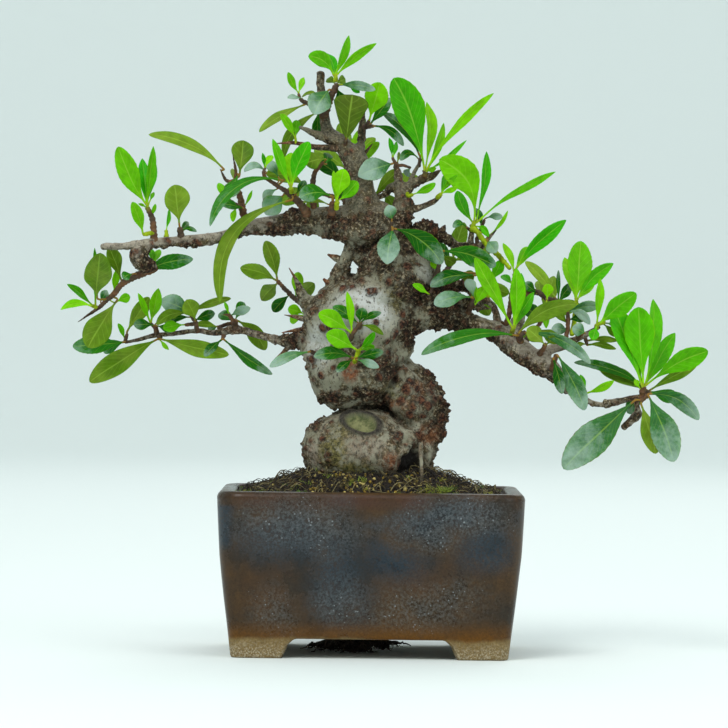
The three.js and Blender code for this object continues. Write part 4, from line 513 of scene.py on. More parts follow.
# Round skin along a path (x, y, z, half thickness), closed with a dome at both ends. relief changes
# the half thickness by point: it gets the skin's points and the share along.
def tube(path, sides, relief=None):
    tangents, normals, seconds = frames(path[:, :3])
    first, last = path[0], path[-1]
    dome = np.array([0.15, 0.6, 0.9] if sides > 5 else [0.5])
    rise = np.sqrt(1 - dome ** 2)
    centres = np.vstack([first[:3] - tangents[0] * first[3] * rise[:, None] * 0.7, path[:, :3],
                         last[:3] + tangents[-1] * last[3] * rise[::-1, None] * 0.7])
    radii = np.concatenate([first[3] * dome, path[:, 3], last[3] * dome[::-1]])
    normals, seconds = (np.vstack([way[:1]] * len(dome) + [way] + [way[-1:]] * len(dome))
                        for way in (normals, seconds))
    angle = np.linspace(0, 2 * math.pi, sides, endpoint=False)
    out = normals[:, None] * np.cos(angle)[:, None] + seconds[:, None] * np.sin(angle)[:, None]
    points = (centres[:, None] + out * radii[:, None, None]).reshape(-1, 3)
    share = np.repeat(np.linspace(0, 1, len(radii)), sides)
    if relief:
        reach = relief(points, share) * np.repeat(np.minimum(radii, path[:, 3].max()), sides)
        points = points + out.reshape(-1, 3) * reach[:, None]
    return points, closedFaces(len(radii), sides), share


# Puts skins (points, faces) into one: points in a row, faces counted on.
def join(parts):
    faces, start = {}, 0
    for points, groups in parts:
        for group in groups:
            faces.setdefault(group.shape[1], []).append(group + start)
        start += len(points)
    return np.vstack([points for points, _ in parts]), [np.vstack(group) for group in faces.values()]


# Leafy sprays: stems as x, y, z and half thickness; leaves as base x, y, z, tip x, y, z, width, arch, roll
# and kind. Arch lifts the middle, roll turns the face away from the front in degrees. Kinds are old (dark
# top), back (underside to the front), film (chalky top) and fresh (new growth).
sprays = {
    "left_end": {"stems": [
    [[-88, -5, 151.5, 1.9], [-92, -5.5, 149.6, 1.6], [-99.3, -7, 146, 1.3], [-103.3, -8, 141.4, 1.1],
     [-107.3, -9, 137.7, 0.9], [-110, -9.5, 135.3, 0.8], [-117.5, -11, 130, 0.15]]],
    "leaves": [
    [-110, -12.6, 139.8, -109, -18, 156, 11, 0.5, 8, "back"],
    [-100.3, -5, 146.6, -105, 1, 160, 6.2, 0, 25, "back"],
    [-96, -8.6, 149.4, -99.8, -12, 147.6, 4.2, 0.3, 20, "old"],
    [-102, -8, 138.8, -113.3, -16, 119.8, 11, 0.5, -8, "back"],
    [-108.5, -7, 138.5, -106, 0, 142.8, 4, 0, 20, "film"],
    [-91.5, -6, 149.8, -72.3, -12, 155.2, 6.4, 1.6, 15, "old"],
    [-103.4, -7, 142.2, -102.2, 2, 151, 3.2, 0, 20, "fresh"],
    [-102.4, -8, 138, -96.8, -3, 140.2, 4, 0.4, 10, "fresh"]]},
    "left_end_fresh": {"stems": [
    [[-110.4, -11.3, 136, 0.9], [-111.6, -11.8, 136.4, 0.8]]],
    "leaves": [
    [-112, -12, 136.8, -122, -16, 145, 3.4, 0.4, 35, "fresh"],
    [-111.8, -12, 136.2, -124.5, -8, 134.8, 3.6, 1.9, 20, "fresh"],
    [-110.6, -11.4, 137, -111.2, -3, 159.6, 2.6, 0, 30, "fresh"]]},
    "left_shoot_fresh": {"stems": [
    [[-87.5, -4, 164.2, 1.5], [-88.3, -4, 171, 1.2], [-90.3, -4.5, 175.6, 1]],
    [[-88, -4.4, 165.6, 1], [-91.6, -6.4, 165.2, 0.8]]],
    "leaves": [
    [-90.8, -5, 177, -102.3, -10, 200, 8.4, -1, 8, "fresh"],
    [-90.6, -4.5, 177, -88.3, -10, 200.3, 4.2, 0, 40, "fresh"],
    [-90.5, -4, 177, -87.6, 4, 195, 4.6, 0.5, 30, "fresh"],
    [-90.6, -4, 177, -92.6, 6, 195.4, 5, 0, 10, "fresh"],
    [-89.4, -4.5, 178.6, -87.8, -3, 182, 1.6, 0, 0, "fresh"],
    [-88.6, -4, 172.4, -87.2, -7, 177.4, 1.8, 0, 20, "fresh"],
    [-91, -4.6, 176, -94, -8, 177.4, 1.2, 0.2, 0, "fresh"],
    [-92, -6.8, 165.4, -96.5, -12, 178, 4.8, 0.4, 15, "fresh"]]},
    "left_middle": {"stems": [
    [[-76.8, -3, 164, 1.5], [-77.3, -4, 167.6, 1.2]]],
    "leaves": [
    [-77.6, -4.5, 169.4, -79.4, -10, 184.8, 10.6, 0, 18, "back"],
    [-76.4, -4, 167, -70.8, -8, 166.4, 2.2, 1.1, 20, "old"],
    [-76.6, -4, 166, -73.6, 4, 170.6, 3, 0.4, 20, "old"]]},
    "left_inner": {"stems": [
    [[-51, 1, 171, 1.8], [-52.4, 2, 175.4, 1.5], [-54, 3, 182, 1.2], [-56.5, 3, 187, 0.9]],
    [[-56.2, 3, 186.6, 0.8], [-59.2, 4, 187.2, 0.7], [-61.5, 4, 191.4, 0.2]],
    [[-55.4, 3, 185.2, 0.9], [-55.4, 1, 191, 0.6], [-56.6, 0, 197.2, 0.15]],
    [[-53, 2, 177.4, 0.9], [-55, -1.6, 177.4, 0.8], [-57.6, -2.5, 179, 0.8]]],
    "leaves": [
    [-60.2, 5, 191.6, -90, 11, 205.8, 5.6, 3, 25, "back"],
    [-53.8, 5, 189.4, -52.4, 10, 203.4, 9, 0, 5, "back"],
    [-54.4, 0, 189.4, -57.4, -5, 180.6, 6.8, 0.3, 15, "old"],
    [-52.2, -1, 176, -60.8, -6, 177.6, 4.2, 0.4, 25, "old"],
    [-51.8, 4, 176.6, -48.7, 9, 183.2, 1.8, 0, 40, "fresh"],
    [-56, 4, 187, -56.6, 12, 192.2, 2.4, 0, 20, "back"],
    [-58, -2.6, 179.4, -62.2, 2, 186, 3.4, -0.3, 15, "fresh"],
    [-55, -1.8, 176.6, -56.2, -7, 170.6, 2.6, 0.3, 15, "fresh"]]},
    "crown_left": {"stems": [
    [[-27, -1, 174.5, 2.1], [-30, -3, 178.6, 1.6], [-34.4, -5, 182.4, 1.2], [-39.2, -7, 185.5, 0.9],
     [-44, -8, 188.6, 0.7]],
    [[-43.4, -7.8, 188, 0.8], [-44.3, -8.4, 189.8, 0.7], [-43.8, -9, 192, 0.6]]],
    "leaves": [
    [-36.4, -9, 187.4, -65.8, -14, 170.2, 6, 7.2, 42, "old"],
    [-32.8, -8, 179.6, -62.3, -16, 139.6, 7.2, 10.6, 38, "back"],
    [-36.6, -3, 181.2, -43.4, -1, 173.6, 9, 0.3, 10, "film"],
    [-38.6, -4, 184, -44.8, 2, 179.6, 4.6, 0.3, 20, "film"],
    [-43.4, -6, 190.6, -52.2, -3, 190.9, 3.4, 2.4, 25, "film"],
    [-38.2, -5, 188.4, -43.2, -1, 195.2, 4.6, 0.3, 15, "film"],
    [-31.2, -6, 182, -27.6, -9, 187.2, 3.6, 0, 20, "old"],
    [-43.8, -9.2, 192.4, -44.8, -13, 198.2, 1.8, 0, 20, "fresh"],
    [-43.6, -9, 192.4, -40.8, -5, 197.2, 3, 0.3, -15, "fresh"]]},
    "crown_left_fresh": {"stems": [
    [[-33, -7.4, 182.7, 1], [-33.3, -8.6, 184.2, 0.9]]],
    "leaves": [
    [-33.8, -9.6, 185.4, -40.8, -14, 203.8, 4.4, -0.4, 25, "fresh"],
    [-33, -9, 185.4, -26.2, -12, 202.8, 7.2, 0.6, -12, "fresh"],
    [-33.4, -8.2, 185.4, -33.4, -3, 198.4, 6, 0, 5, "fresh"]]},
    "crown_front": {"stems": [
    [[-17, -6, 174.5, 1.6], [-16.6, -9.6, 178.6, 1.2]]],
    "leaves": [
    [-17.2, -10.4, 181.2, -29.6, -12, 180.6, 7.4, 1.8, 10, "old"],
    [-16.4, -9, 180.8, -6.9, -8, 183.4, 5, 0.6, 10, "old"],
    [-18.4, -6, 178, -28.2, -9, 179, 2.6, 0.9, 40, "back"]]},
    "crown_front_fresh": {"stems": [
    [[-15.2, -8.6, 176.6, 1.1], [-14.8, -11.4, 179, 1]]],
    "leaves": [
    [-15, -12, 179.6, -12.4, -17, 192.2, 7.2, 0, 8, "fresh"],
    [-14.4, -11.8, 179.6, -7, -14, 187.4, 6.2, -0.6, -15, "fresh"],
    [-15.2, -11.6, 179.4, -16.4, -9, 191.4, 3.2, 0, 20, "fresh"]]},
    "top": {"stems": [
    [[-20.3, 1, 213.5, 1.9], [-18.6, -0.5, 219, 1.5], [-16.6, -1, 223.6, 1.4], [-15.6, -1, 225.4, 1.2]],
    [[-20.6, 0.5, 215.4, 1.2], [-24.6, -2, 217.2, 1], [-28.4, -3, 218.6, 0.9], [-30, -3, 219.8, 0.7]],
    [[-30.4, -3.2, 220.6, 0.7], [-30.7, -3.6, 221.8, 0.6]]],
    "leaves": [
    [-29.6, -3.4, 220, -34.8, -8, 220.4, 2.6, 0.4, 35, "film"],
    [-18.8, -2.6, 223.4, -24.4, -8, 214, 9.8, 0.5, 10, "film"],
    [-22.4, 0, 219.6, -29.6, 5, 220.9, 2.6, 2, 35, "back"],
    [-28.2, -3, 217.6, -46.3, -8, 207.4, 4.6, 0.8, 35, "back"],
    [-22.6, -1, 214.8, -37.2, 6, 196.4, 5.2, 3, 30, "back"],
    [-22.8, 1, 215, -23.2, 7, 204.2, 4.4, 0, 15, "old"],
    [-15.6, -0.6, 224.4, -12.8, 4, 217, 5.6, 0.3, 10, "old"],
    [-14.8, -1, 225.6, -0.8, -12, 223.6, 4, 0.9, 20, "film"],
    [-15.6, -1, 226, -11.9, 4, 228, 4, 0.3, 10, "back"],
    [-16.2, -1, 226, -19.7, 4, 228, 3.4, 0.3, 10, "back"],
    [-10.8, -2, 225.4, -6.4, 2, 222.6, 2.2, 0, 20, "fresh"],
    [-30.7, -3.8, 222.2, -35, -8, 230.4, 3.2, -0.5, 25, "fresh"],
    [-30.6, -3.4, 222.2, -28.6, 4, 228.4, 2.6, 0.3, 20, "fresh"]]},
    "top_back": {"stems": [
    [[-12, -1.6, 201.4, 1], [-11.7, -3.4, 203.6, 0.9]]],
    "leaves": [
    [-11.6, -3.8, 204, -9.2, -8, 221.6, 14, 0, 6, "back"]]},
    "top_fresh": {"stems": [
    [[-15.9, -1.2, 227.2, 1], [-16, -1.4, 228.6, 0.9]]],
    "leaves": [
    [-16.8, -1.6, 229.2, -27, -6, 236.8, 6.4, 2.2, 12, "fresh"],
    [-16.2, -1.4, 229.4, -10.9, 2, 245.3, 4.4, -0.3, 35, "fresh"],
    [-15.8, -1.6, 229.2, 0.1, -5, 242.3, 4.2, 1.2, 30, "fresh"],
    [-16.2, -1, 229.2, -19.5, 9, 238, 4, 0.6, 20, "fresh"]]},
    "thorn_fresh": {"stems": [
    [[-31.5, -3.4, 203, 0.6], [-31.8, -4, 204.2, 0.6]]],
    "leaves": [
    [-32, -4.2, 204.6, -37.8, -9, 213.8, 3.6, 0.3, 20, "fresh"],
    [-31.7, -3.8, 204.6, -31.4, 1, 211.4, 3.6, 0, 10, "fresh"]]},
    "second_leader": {"stems": [
    [[-5, 3.5, 208.4, 1.2], [-3.2, 2, 209, 0.9], [-1, 1, 209.4, 0.7]],
    [[-4, 2.4, 209, 0.9], [-3, 0.4, 210.4, 0.8], [-2.6, -0.2, 211.4, 0.8]]],
    "leaves": [
    [-0.6, 0.6, 209.4, 10.8, -5, 201.4, 4.2, 2.4, 30, "old"],
    [-3.4, 3, 209.8, -6.2, 8, 213.4, 2.4, 0, 20, "back"], [-2, 3, 210, 6.4, 7, 220.6, 5, 0.3, 15, "old"],
    [-2.4, -0.6, 211.8, 1.7, -5, 226.8, 9.6, 0, 6, "fresh"]]},
    "crown_right": {"stems": [
    [[9, -1, 191, 1.3], [8.4, -1.6, 194.6, 1]],
    [[8.6, -1.5, 193.6, 0.8], [11.5, -2.2, 193.8, 0.6], [14, -0.8, 193, 0.5]],
    [[8.2, -1.8, 194.2, 0.8], [7, -3, 196.8, 0.6]]],
    "leaves": [
    [6.8, -2.6, 194.4, -6.3, -9, 189.6, 9.2, 0.5, 6, "film"],
    [9, -1, 195, 9.8, 4, 199.4, 1.6, 0, 20, "back"], [14.2, 0.4, 193, 12.4, 7, 189.4, 3.4, 0.3, 15, "film"],
    [6.9, -3.2, 197.2, 5.5, -7, 204.8, 2.4, 0.2, 30, "fresh"],
    [7.2, -2.8, 197, 8.6, 4, 203.4, 2.2, 0, 30, "fresh"]]},
    "crown_right_fresh": {"stems": [
    [[20, -4.4, 189.8, 1.1], [20, -5.6, 191.6, 1.1]]],
    "leaves": [
    [19.7, -6.2, 192.2, 7, -13, 228.6, 13, 1.9, 6, "fresh"],
    [20, -5.6, 192.2, 20.4, 1, 219.2, 7, -1.4, 48, "fresh"],
    [20.8, -6, 192.4, 47, -14, 223, 4.4, 2.4, 25, "fresh"],
    [20.6, -5, 191.8, 27.2, 5, 211, 3.6, -1, 25, "fresh"],
    [20.8, -5.2, 191.6, 36.4, 3, 204.2, 2.4, -0.6, 30, "fresh"],
    [20.6, -6.6, 191.6, 24.4, -11, 193, 2.2, 0, 10, "fresh"]]},
    "fork_small_fresh": {"stems": [
    [[13.6, -4.6, 181.8, 0.8], [15, -5.6, 182.2, 0.8]]],
    "leaves": [
    [15.4, -5.8, 182.4, 24.2, -9, 187, 3.4, -0.4, 20, "fresh"]]},
    "twig_end_fresh": {"stems": [
    [[25, -6.4, 181.4, 0.9], [26.4, -7.4, 182.6, 0.8]]],
    "leaves": [
    [26.8, -7.8, 183, 33, -10, 190.4, 2.4, 0.6, 20, "fresh"],
    [26.6, -7.4, 182.8, 33.2, -12, 185.6, 2.4, 0, 20, "fresh"],
    [26.6, -7, 182.8, 28, 0, 190.6, 2.6, 0, 20, "fresh"]]},
    "right_arm_fresh": {"stems": [
    [[39, -0.4, 168.8, 1], [39.6, -1, 171, 1]],
    [[40, -1, 169, 1.2], [45, -3, 162.8, 1.1], [50, -4, 158, 1.1], [54.2, -4, 153.4, 0.9]]],
    "leaves": [
    [39.8, -1.4, 171.8, 25.6, -10, 196.4, 12.4, 5.4, 8, "fresh"],
    [40.6, -1, 171.8, 44.4, -6, 199.8, 4.6, -0.8, 38, "fresh"],
    [41, -0.8, 171.6, 72, 4, 192, 3.8, 1.8, 30, "fresh"],
    [40.4, -1.6, 170, 45.6, -7, 165.8, 3, 1.2, 15, "fresh"],
    [39.4, 0, 171.4, 33, 8, 184, 5, -1, 15, "fresh"]]},
    "right_arm": {"stems": [
    [[38.8, 1.6, 169.4, 0.7], [38.6, 2.8, 170.2, 0.7]],
    [[41, 3.6, 164.6, 0.9], [42.4, 4.6, 168, 0.8], [43.8, 4.6, 172.4, 0.6]],
    [[42.4, 4.6, 168, 0.7], [45.4, 1.2, 166.8, 0.6], [45.4, -3, 165.6, 0.6]]],
    "leaves": [
    [44.4, 4.6, 173.2, 51, 1, 173.7, 3.2, 0.6, 20, "film"],
    [42.6, 4.8, 170, 40.4, 12, 177.6, 3.4, 0.4, 15, "old"],
    [45.2, -5.6, 164, 48.6, -9, 159.6, 5.8, 0.2, 5, "film"]]},
    "shoulder_right_old": {"stems": [
    [[6.6, -8, 164.6, 1.5], [6.6, -11.6, 168, 1.1], [6.8, -13, 171, 0.8]]],
    "leaves": [
    [7, -13.2, 172.4, 5.6, -15, 178, 5.4, 0, 10, "film"],
    [7.3, -14.6, 168.4, 5.3, -19, 154.7, 9.2, 0.3, 5, "film"],
    [8, -13.6, 168.6, 26.7, -19, 154.6, 9.4, 2.8, 14, "old"]]},
    "right_front": {"stems": [
    [[24.4, -7, 146.6, 1.6], [25.2, -10, 150, 1.2], [26, -11, 154.6, 0.9], [26.8, -11, 158.6, 0.8]],
    [[24.6, -9, 147.6, 0.9], [23.6, -11.6, 146.6, 0.7]],
    [[24.4, -9, 147.2, 0.8], [22.6, -11.6, 143.2, 0.7]],
    [[25.2, -10, 150, 0.6], [27, -8.4, 151.2, 0.6]]],
    "leaves": [
    [27.2, -11.4, 160, 48.4, -15, 154, 8.2, 1.6, 12, "old"],
    [26.6, -10, 158, 32.4, -6, 154.6, 5, 0.4, 20, "back"],
    [40.6, -15.6, 150.4, 22.4, -13.4, 146, 5.8, 1.8, 12, "old"],
    [25.6, -10, 154.4, 21.4, -6, 159.8, 3.6, 0, 20, "back"],
    [22, -11.8, 142.8, 15.6, -16, 146.5, 3, 0.2, 20, "fresh"],
    [26.8, -8.6, 151.4, 22.8, -7, 155.8, 3, 0, 15, "fresh"]]},
    "right_root": {"stems": [
    [[38, -4.6, 135.4, 1.3], [39, -8.4, 138.4, 1], [39.8, -10, 141, 0.8]],
    [[38.8, -7.6, 137.8, 0.9], [40.4, -7.8, 138.2, 0.8]]],
    "leaves": [
    [39.4, -11, 141.6, 24.4, -15, 138.8, 6.6, 1.3, 10, "film"],
    [39.8, -9.6, 141.6, 37.4, -6, 149.2, 4.8, 0.3, 12, "film"],
    [40.4, -8, 138.4, 45, -12, 146.6, 4.6, 0, 10, "fresh"],
    [40.2, -7.8, 138.6, 40.6, -4, 146.4, 3.4, 0.2, 20, "fresh"]]},
    "loop_fresh": {"stems": [
    [[45.6, 1, 141.4, 0.8], [46.2, 1, 144.6, 0.8], [46.6, 0.6, 147.4, 0.8]]],
    "leaves": [
    [46.8, 0.4, 148, 50.6, -4, 156.6, 4.8, -0.3, 10, "fresh"],
    [46.4, 1, 147.6, 43.6, 5, 153.6, 4, 0.3, 15, "fresh"]]},
    "behind_loop_fresh": {"stems": [
    [[53, 0.4, 130.6, 1.3], [54.6, 4, 138, 1.1], [55.4, 5, 146, 1], [56.6, 5, 152.6, 0.8]]],
    "leaves": [
    [56.8, 5, 153.4, 76.5, 1, 172.9, 6.2, 1.2, 15, "fresh"],
    [56, 5.2, 152, 51.4, 9, 163.4, 3.4, 0.4, 25, "fresh"],
    [55.2, 5.6, 147, 50.8, 12, 150.4, 3.2, 0.4, 20, "fresh"],
    [56.6, 5.4, 153, 61.6, 13, 162, 4.4, 0.4, 20, "fresh"]]},
    "right_middle_fresh": {"stems": [
    [[55.2, -7.6, 127.2, 1.1], [55.7, -10.4, 129, 1]]],
    "leaves": [
    [55.6, -11, 129.6, 40.2, -19, 157.6, 6.6, 0, 10, "fresh"],
    [56, -11, 129.8, 56.8, -17, 153.6, 6.6, -0.6, 22, "fresh"],
    [56.6, -10.6, 130, 58.8, -9, 151.6, 5.4, -0.4, -15, "fresh"],
    [56.2, -10.2, 129.4, 64, -5, 144, 4.6, 0.6, 20, "fresh"]]},
    "right_middle": {"stems": [
    [[58.6, -7.4, 124.4, 1.5], [58.4, -10.4, 126.6, 1.2], [60.4, -11.6, 128, 0.9]],
    [[66.6, -6.6, 119.6, 1.2], [68, -9, 121.6, 1], [68.8, -9.6, 123.4, 0.8]]],
    "leaves": [
    [58.2, -12, 127.8, 81, -17, 138.8, 7.6, 3.2, 20, "back"],
    [57.4, -12, 126.6, 19.3, -17, 119.4, 6, 3.6, 22, "old"],
    [61.2, -12.4, 127.6, 86.3, -14, 115.2, 5, 3.8, 22, "film"],
    [68.6, -10.4, 123, 61.6, -15, 129.4, 6.8, 0.3, 10, "back"],
    [69.2, -10, 123.2, 72.8, -13, 126.4, 4.4, 0, 10, "back"]]},
    "right_upper": {"stems": [
    [[61, 1, 143.4, 1.4], [65, 3, 144, 1.2], [69.4, 4, 141.6, 1], [73.4, 4, 140.6, 0.9]],
    [[69, 4, 141.8, 0.8], [69.1, 0.4, 141, 0.7]]],
    "leaves": [
    [72.6, 4.4, 141.6, 60.6, -1, 156.4, 5, 0.9, 18, "back"],
    [65, 2.4, 143.4, 60.2, -3, 147.4, 4.2, 0.3, 15, "old"],
    [67.4, 4.6, 141.4, 65.6, 10, 149, 4.2, 0, 15, "back"],
    [73.8, 5, 140, 79.4, 12, 147.4, 4.4, 0.4, 18, "old"],
    [73.8, 4.6, 140.6, 74.2, 6, 153.2, 2.4, 0.4, 35, "old"],
    [69.2, 0.2, 141, 69.4, -3, 147.4, 4.6, 0, 8, "fresh"],
    [69, 0.2, 140.6, 69, -2, 129.6, 3.2, 0, 20, "fresh"]]},
    "right_spur": {"stems": [
    [[76.6, -0.6, 124.8, 1.1], [77.6, 1.4, 130, 1], [77.6, 2, 135.6, 0.9]]],
    "leaves": [
    [77.4, 1.6, 136.4, 86, -4, 131.4, 4.2, 2, 20, "film"],
    [77.6, 2.2, 131.4, 71.6, -1, 137, 3.6, 0.3, 20, "back"],
    [77.4, 1, 128.6, 71.4, -4, 129.6, 4.6, 0.4, 15, "film"],
    [78, 3, 136.6, 90.2, 3, 138.4, 5, 1, 20, "film"], [77.6, 2.6, 133, 84.8, 1.4, 134, 4, 0.4, 15, "old"]]},
    "right_tall_fresh": {"stems": [
    [[79.2, 1.4, 127.4, 1], [80.2, 5, 133, 1], [80.8, 6, 140.4, 0.9]]],
    "leaves": [
    [80.8, 5.6, 141, 82.4, 0, 164.6, 10.2, 0, 6, "fresh"],
    [81.2, 6, 141, 95.5, 3, 155.8, 5.8, 1.8, 20, "fresh"],
    [80.6, 6.6, 141, 76, 14, 158, 6, 0.4, 20, "fresh"],
    [81, 6.8, 141, 88.4, 16, 150.6, 5, 0.3, 20, "fresh"]]},
    "right_spur_end": {"stems": [
    [[89, -1.8, 130.8, 0.9], [89.3, -3.6, 131.4, 0.8]],
    [[89.3, -3.6, 131.4, 0.8], [91.8, -1.4, 132.2, 0.8], [92, 2, 132.4, 0.7]]],
    "leaves": [
    [89.2, -4.2, 131.8, 90.3, -10, 149.8, 4.2, 0, 30, "fresh"],
    [89.8, -5.4, 131.6, 104.6, -16, 144.2, 8.4, 0.3, 8, "fresh"],
    [89, -4.2, 131, 87.5, -8, 125.2, 4.4, 0, 10, "fresh"],
    [92.2, 2, 132.8, 95.4, 2, 141.4, 3.2, 0, 25, "old"],
    [92.4, 2.6, 132, 99, 6, 130.6, 3.4, 0.3, 25, "film"],
    [91.8, 2, 131.6, 97.6, 6, 126.2, 3.4, 0.4, 20, "back"]]},
    "right_spur_low": {"stems": [
    [[84.6, 0.2, 125.8, 0.8], [85.2, 1.6, 124, 0.7]]],
    "leaves": [
    [85, 1.8, 123.6, 80.4, 5, 122.6, 2.4, 0.3, 25, "back"],
    [85.4, 1.8, 123.2, 96.6, -2, 121.4, 3, 1.1, 30, "back"],
    [86, 1.4, 125, 97.3, -4, 124.8, 3, 0.8, 25, "back"]]},
    "right_low_film": {"stems": [
    [[72, -7.4, 114.4, 1.3], [72.4, -9.6, 117, 1.1], [73, -10, 119, 0.9]]],
    "leaves": [
    [73.6, -10.6, 119, 84.4, -13, 97.2, 7.6, 1, 14, "film"],
    [72, -11, 117.6, 75.4, -15, 103.8, 4.8, 0.3, 18, "old"]]},
    "right_low_fresh": {"stems": [
    [[84.8, -4, 103.4, 0.9], [85, -5.4, 104.2, 0.8]]],
    "leaves": [
    [85.4, -5.6, 104, 96.3, -9, 109.2, 3.4, -0.4, 22, "fresh"],
    [85.2, -5.2, 104.6, 82.8, -4, 111.4, 2.4, 0, 30, "fresh"]]},
    "right_end_fresh": {"stems": [
    [[107.6, 0, 104.4, 1.4], [108, -0.6, 106.4, 1.3]]],
    "leaves": [
    [107.4, -1.6, 107, 95.4, -4, 139.4, 9, 0.4, 12, "fresh"],
    [108, -1.2, 107, 105.6, -4, 138.6, 12.4, 0, -6, "fresh"],
    [108.6, -0.6, 107.2, 111.4, 4, 141.8, 8.6, -1.4, 42, "fresh"],
    [109, -1, 107.4, 133.6, -4, 121.4, 8.8, 1.6, 12, "fresh"],
    [107.8, 0.6, 107, 100.4, 12, 132, 8, 0.4, 20, "fresh"],
    [108.6, 0.8, 107, 120.4, 14, 128.4, 7, 0.6, 20, "fresh"],
    [106.6, -1.4, 106.2, 104.4, -3, 109.6, 2.4, 0, 10, "fresh"]]},
    "right_end_back": {"stems": [
    [[108.6, 1.8, 103.4, 1], [110, 3.6, 104.8, 0.9]]],
    "leaves": [
    [110.4, 3.8, 105.4, 130.2, 9, 116.2, 4.6, 0.4, 20, "back"],
    [109.6, 4.2, 105.2, 90.2, 10, 114.4, 6.2, 0.6, 15, "back"],
    [109.2, 4, 105.6, 80.3, 6, 117, 4.6, 2.6, 25, "old"],
    [110.4, 4.2, 104.8, 122, 16, 101, 6, 1, 20, "old"],
    [109.4, 4.6, 104.4, 101, 17, 96, 6, 0.6, 20, "old"]]},
    "right_end_low": {"stems": [
    [[107, -1.4, 102, 1], [107.4, -3.6, 101.2, 0.9]],
    [[107.4, -3.4, 101.2, 0.8], [109.6, -4.4, 103.4, 0.8]]],
    "leaves": [
    [104.4, -4.6, 101.2, 76.6, -13, 74, 13.4, 0.4, 6, "film"],
    [107.2, -4, 99.8, 113.2, -5, 80.2, 7.4, 0.3, 10, "back"],
    [110, -5.4, 103.4, 120.3, -12, 77.4, 11.4, 0.8, 8, "film"],
    [110.4, -4.6, 104, 129.9, -6, 93.6, 6.4, 3.4, 18, "film"]]},
    "trunk_front": {"stems": [
    [[-8.6, -16, 124, 1.2], [-8.4, -20.6, 126.4, 0.9]],
    [[-5.4, -16, 127, 1.2], [-5.2, -21.2, 130.2, 0.9]],
    [[-8.4, -20.8, 126.2, 0.9], [-6.8, -21.6, 128.4, 0.8], [-5.2, -21, 130.2, 0.9]]],
    "leaves": [
    [-8.8, -21.2, 127, -21.8, -27, 134.4, 7, 0.9, 8, "fresh"],
    [-8.4, -21, 127, -10.5, -25, 143.4, 3.6, 0.2, 30, "fresh"],
    [-6, -20, 131, -16, -22, 137.4, 4.8, 0.4, 15, "old"],
    [-5.4, -20, 131, -4.2, -24, 136.8, 5, 0, 10, "old"],
    [-4.8, -20, 131, 3.2, -24, 134.8, 3.2, 1, 25, "old"],
    [-4.4, -20.4, 130, 3.8, -26, 126.2, 2.8, 1.1, 25, "back"]]},
    "trunk_low": {"stems": [
    [[-5.6, -15, 118.8, 1], [-5.8, -20.4, 119.8, 0.9]],
    [[-7, -14, 115, 1.1], [-7.2, -20, 116.6, 0.9]],
    [[-5.7, -19, 119.4, 1], [-7, -18.6, 116, 0.9]]],
    "leaves": [
    [-6.4, -21.4, 120.2, -18.6, -28, 126.4, 7.4, 0.4, 10, "fresh"],
    [-5.2, -21.4, 120.4, 0.6, -27, 127.4, 3.4, -0.3, 25, "fresh"],
    [-5.2, -21, 120, 0.8, -22, 121.6, 3, 0.2, 10, "fresh"],
    [-8, -20.6, 117, -23, -27, 117.4, 5.4, 1.6, 12, "old"],
    [-6.4, -20.6, 117, 4.1, -25, 119.4, 4.4, 0.3, 12, "old"],
    [-6.4, -21, 116.2, 2.3, -26, 113.2, 3.6, 0.5, 15, "film"],
    [-8, -20, 116.4, -14, -27, 111.6, 3.6, 0.3, 15, "old"]]},
    "trunk_left_film": {"stems": [
    [[-21, -11, 117.6, 1], [-24.6, -15, 119.4, 0.8]]],
    "leaves": [
    [-25.2, -15.4, 119.2, -41, -20, 113.4, 4.4, 0.9, 22, "film"]]},
    "trunk_left_fresh": {"stems": [
    [[-24.6, 5.4, 133.4, 0.9], [-27, 6.2, 134, 0.8]]],
    "leaves": [
    [-27.4, 6.4, 134.2, -34, 5, 136.2, 4.6, 0.3, 10, "fresh"],
    [-27.2, 6.8, 134, -33, 13, 131, 4, 0.3, 15, "fresh"]]},
    "low_branch": {"stems": [
    [[-59.4, 6.4, 125.6, 1], [-59.8, 5, 124.2, 0.8]]],
    "leaves": [
    [-59.4, 4.4, 123.8, -40.8, -2, 109.6, 5.4, -0.3, 38, "old"],
    [-60.2, 4.4, 123.6, -66.8, -6, 117.4, 4, 0.3, 20, "old"]]},
    "low_branch_back": {"stems": [
    [[-54.6, 8.4, 128.6, 0.9], [-54.6, 10.4, 131, 0.8]],
    [[-60, 9.2, 127.4, 0.9], [-61.4, 10.6, 128.4, 0.8]],
    [[-54.6, 10, 130.4, 0.8], [-58, 11.6, 129.8, 0.8], [-61.4, 10.8, 128.5, 0.8]]],
    "leaves": [
    [-54.2, 11, 131.4, -43, 9, 119.7, 6.8, 1.6, 10, "back"],
    [-54.8, 11.4, 131.6, -51, 19, 138.6, 5.4, 0.3, 15, "old"],
    [-55, 11.2, 131, -62, 18, 134, 4.6, 0.5, 15, "old"],
    [-61.8, 11, 128.6, -70.6, 9, 129.6, 3.4, 0.6, 25, "back"],
    [-61.8, 11.4, 129, -66, 20, 126.4, 4.4, 0.4, 15, "old"]]},
    "low_branch_twig": {"stems": [
    [[-55, 3.8, 129.6, 1.1], [-55.8, 1.8, 131.4, 0.9], [-57.4, 0.6, 133.4, 0.7],
     [-59.7, 0.4, 133.6, 0.15]]],
    "leaves": [
    [-56.8, 1, 133.2, -49.2, -3, 136.2, 4, 0.4, 12, "film"],
    [-57.4, 1, 134, -59.3, -2, 138.8, 1.6, 0, 15, "fresh"]]},
    "low_middle": {"stems": [
    [[-70, 6.2, 127.4, 1], [-70.8, 4, 130.6, 0.9], [-72.4, 3, 133, 0.8]],
    [[-70.6, 4.6, 129.8, 0.8], [-74.6, 5.2, 129.4, 0.7]]],
    "leaves": [
    [-70.8, 2.4, 131, -74.2, -3, 139, 7.4, 0.4, 8, "back"],
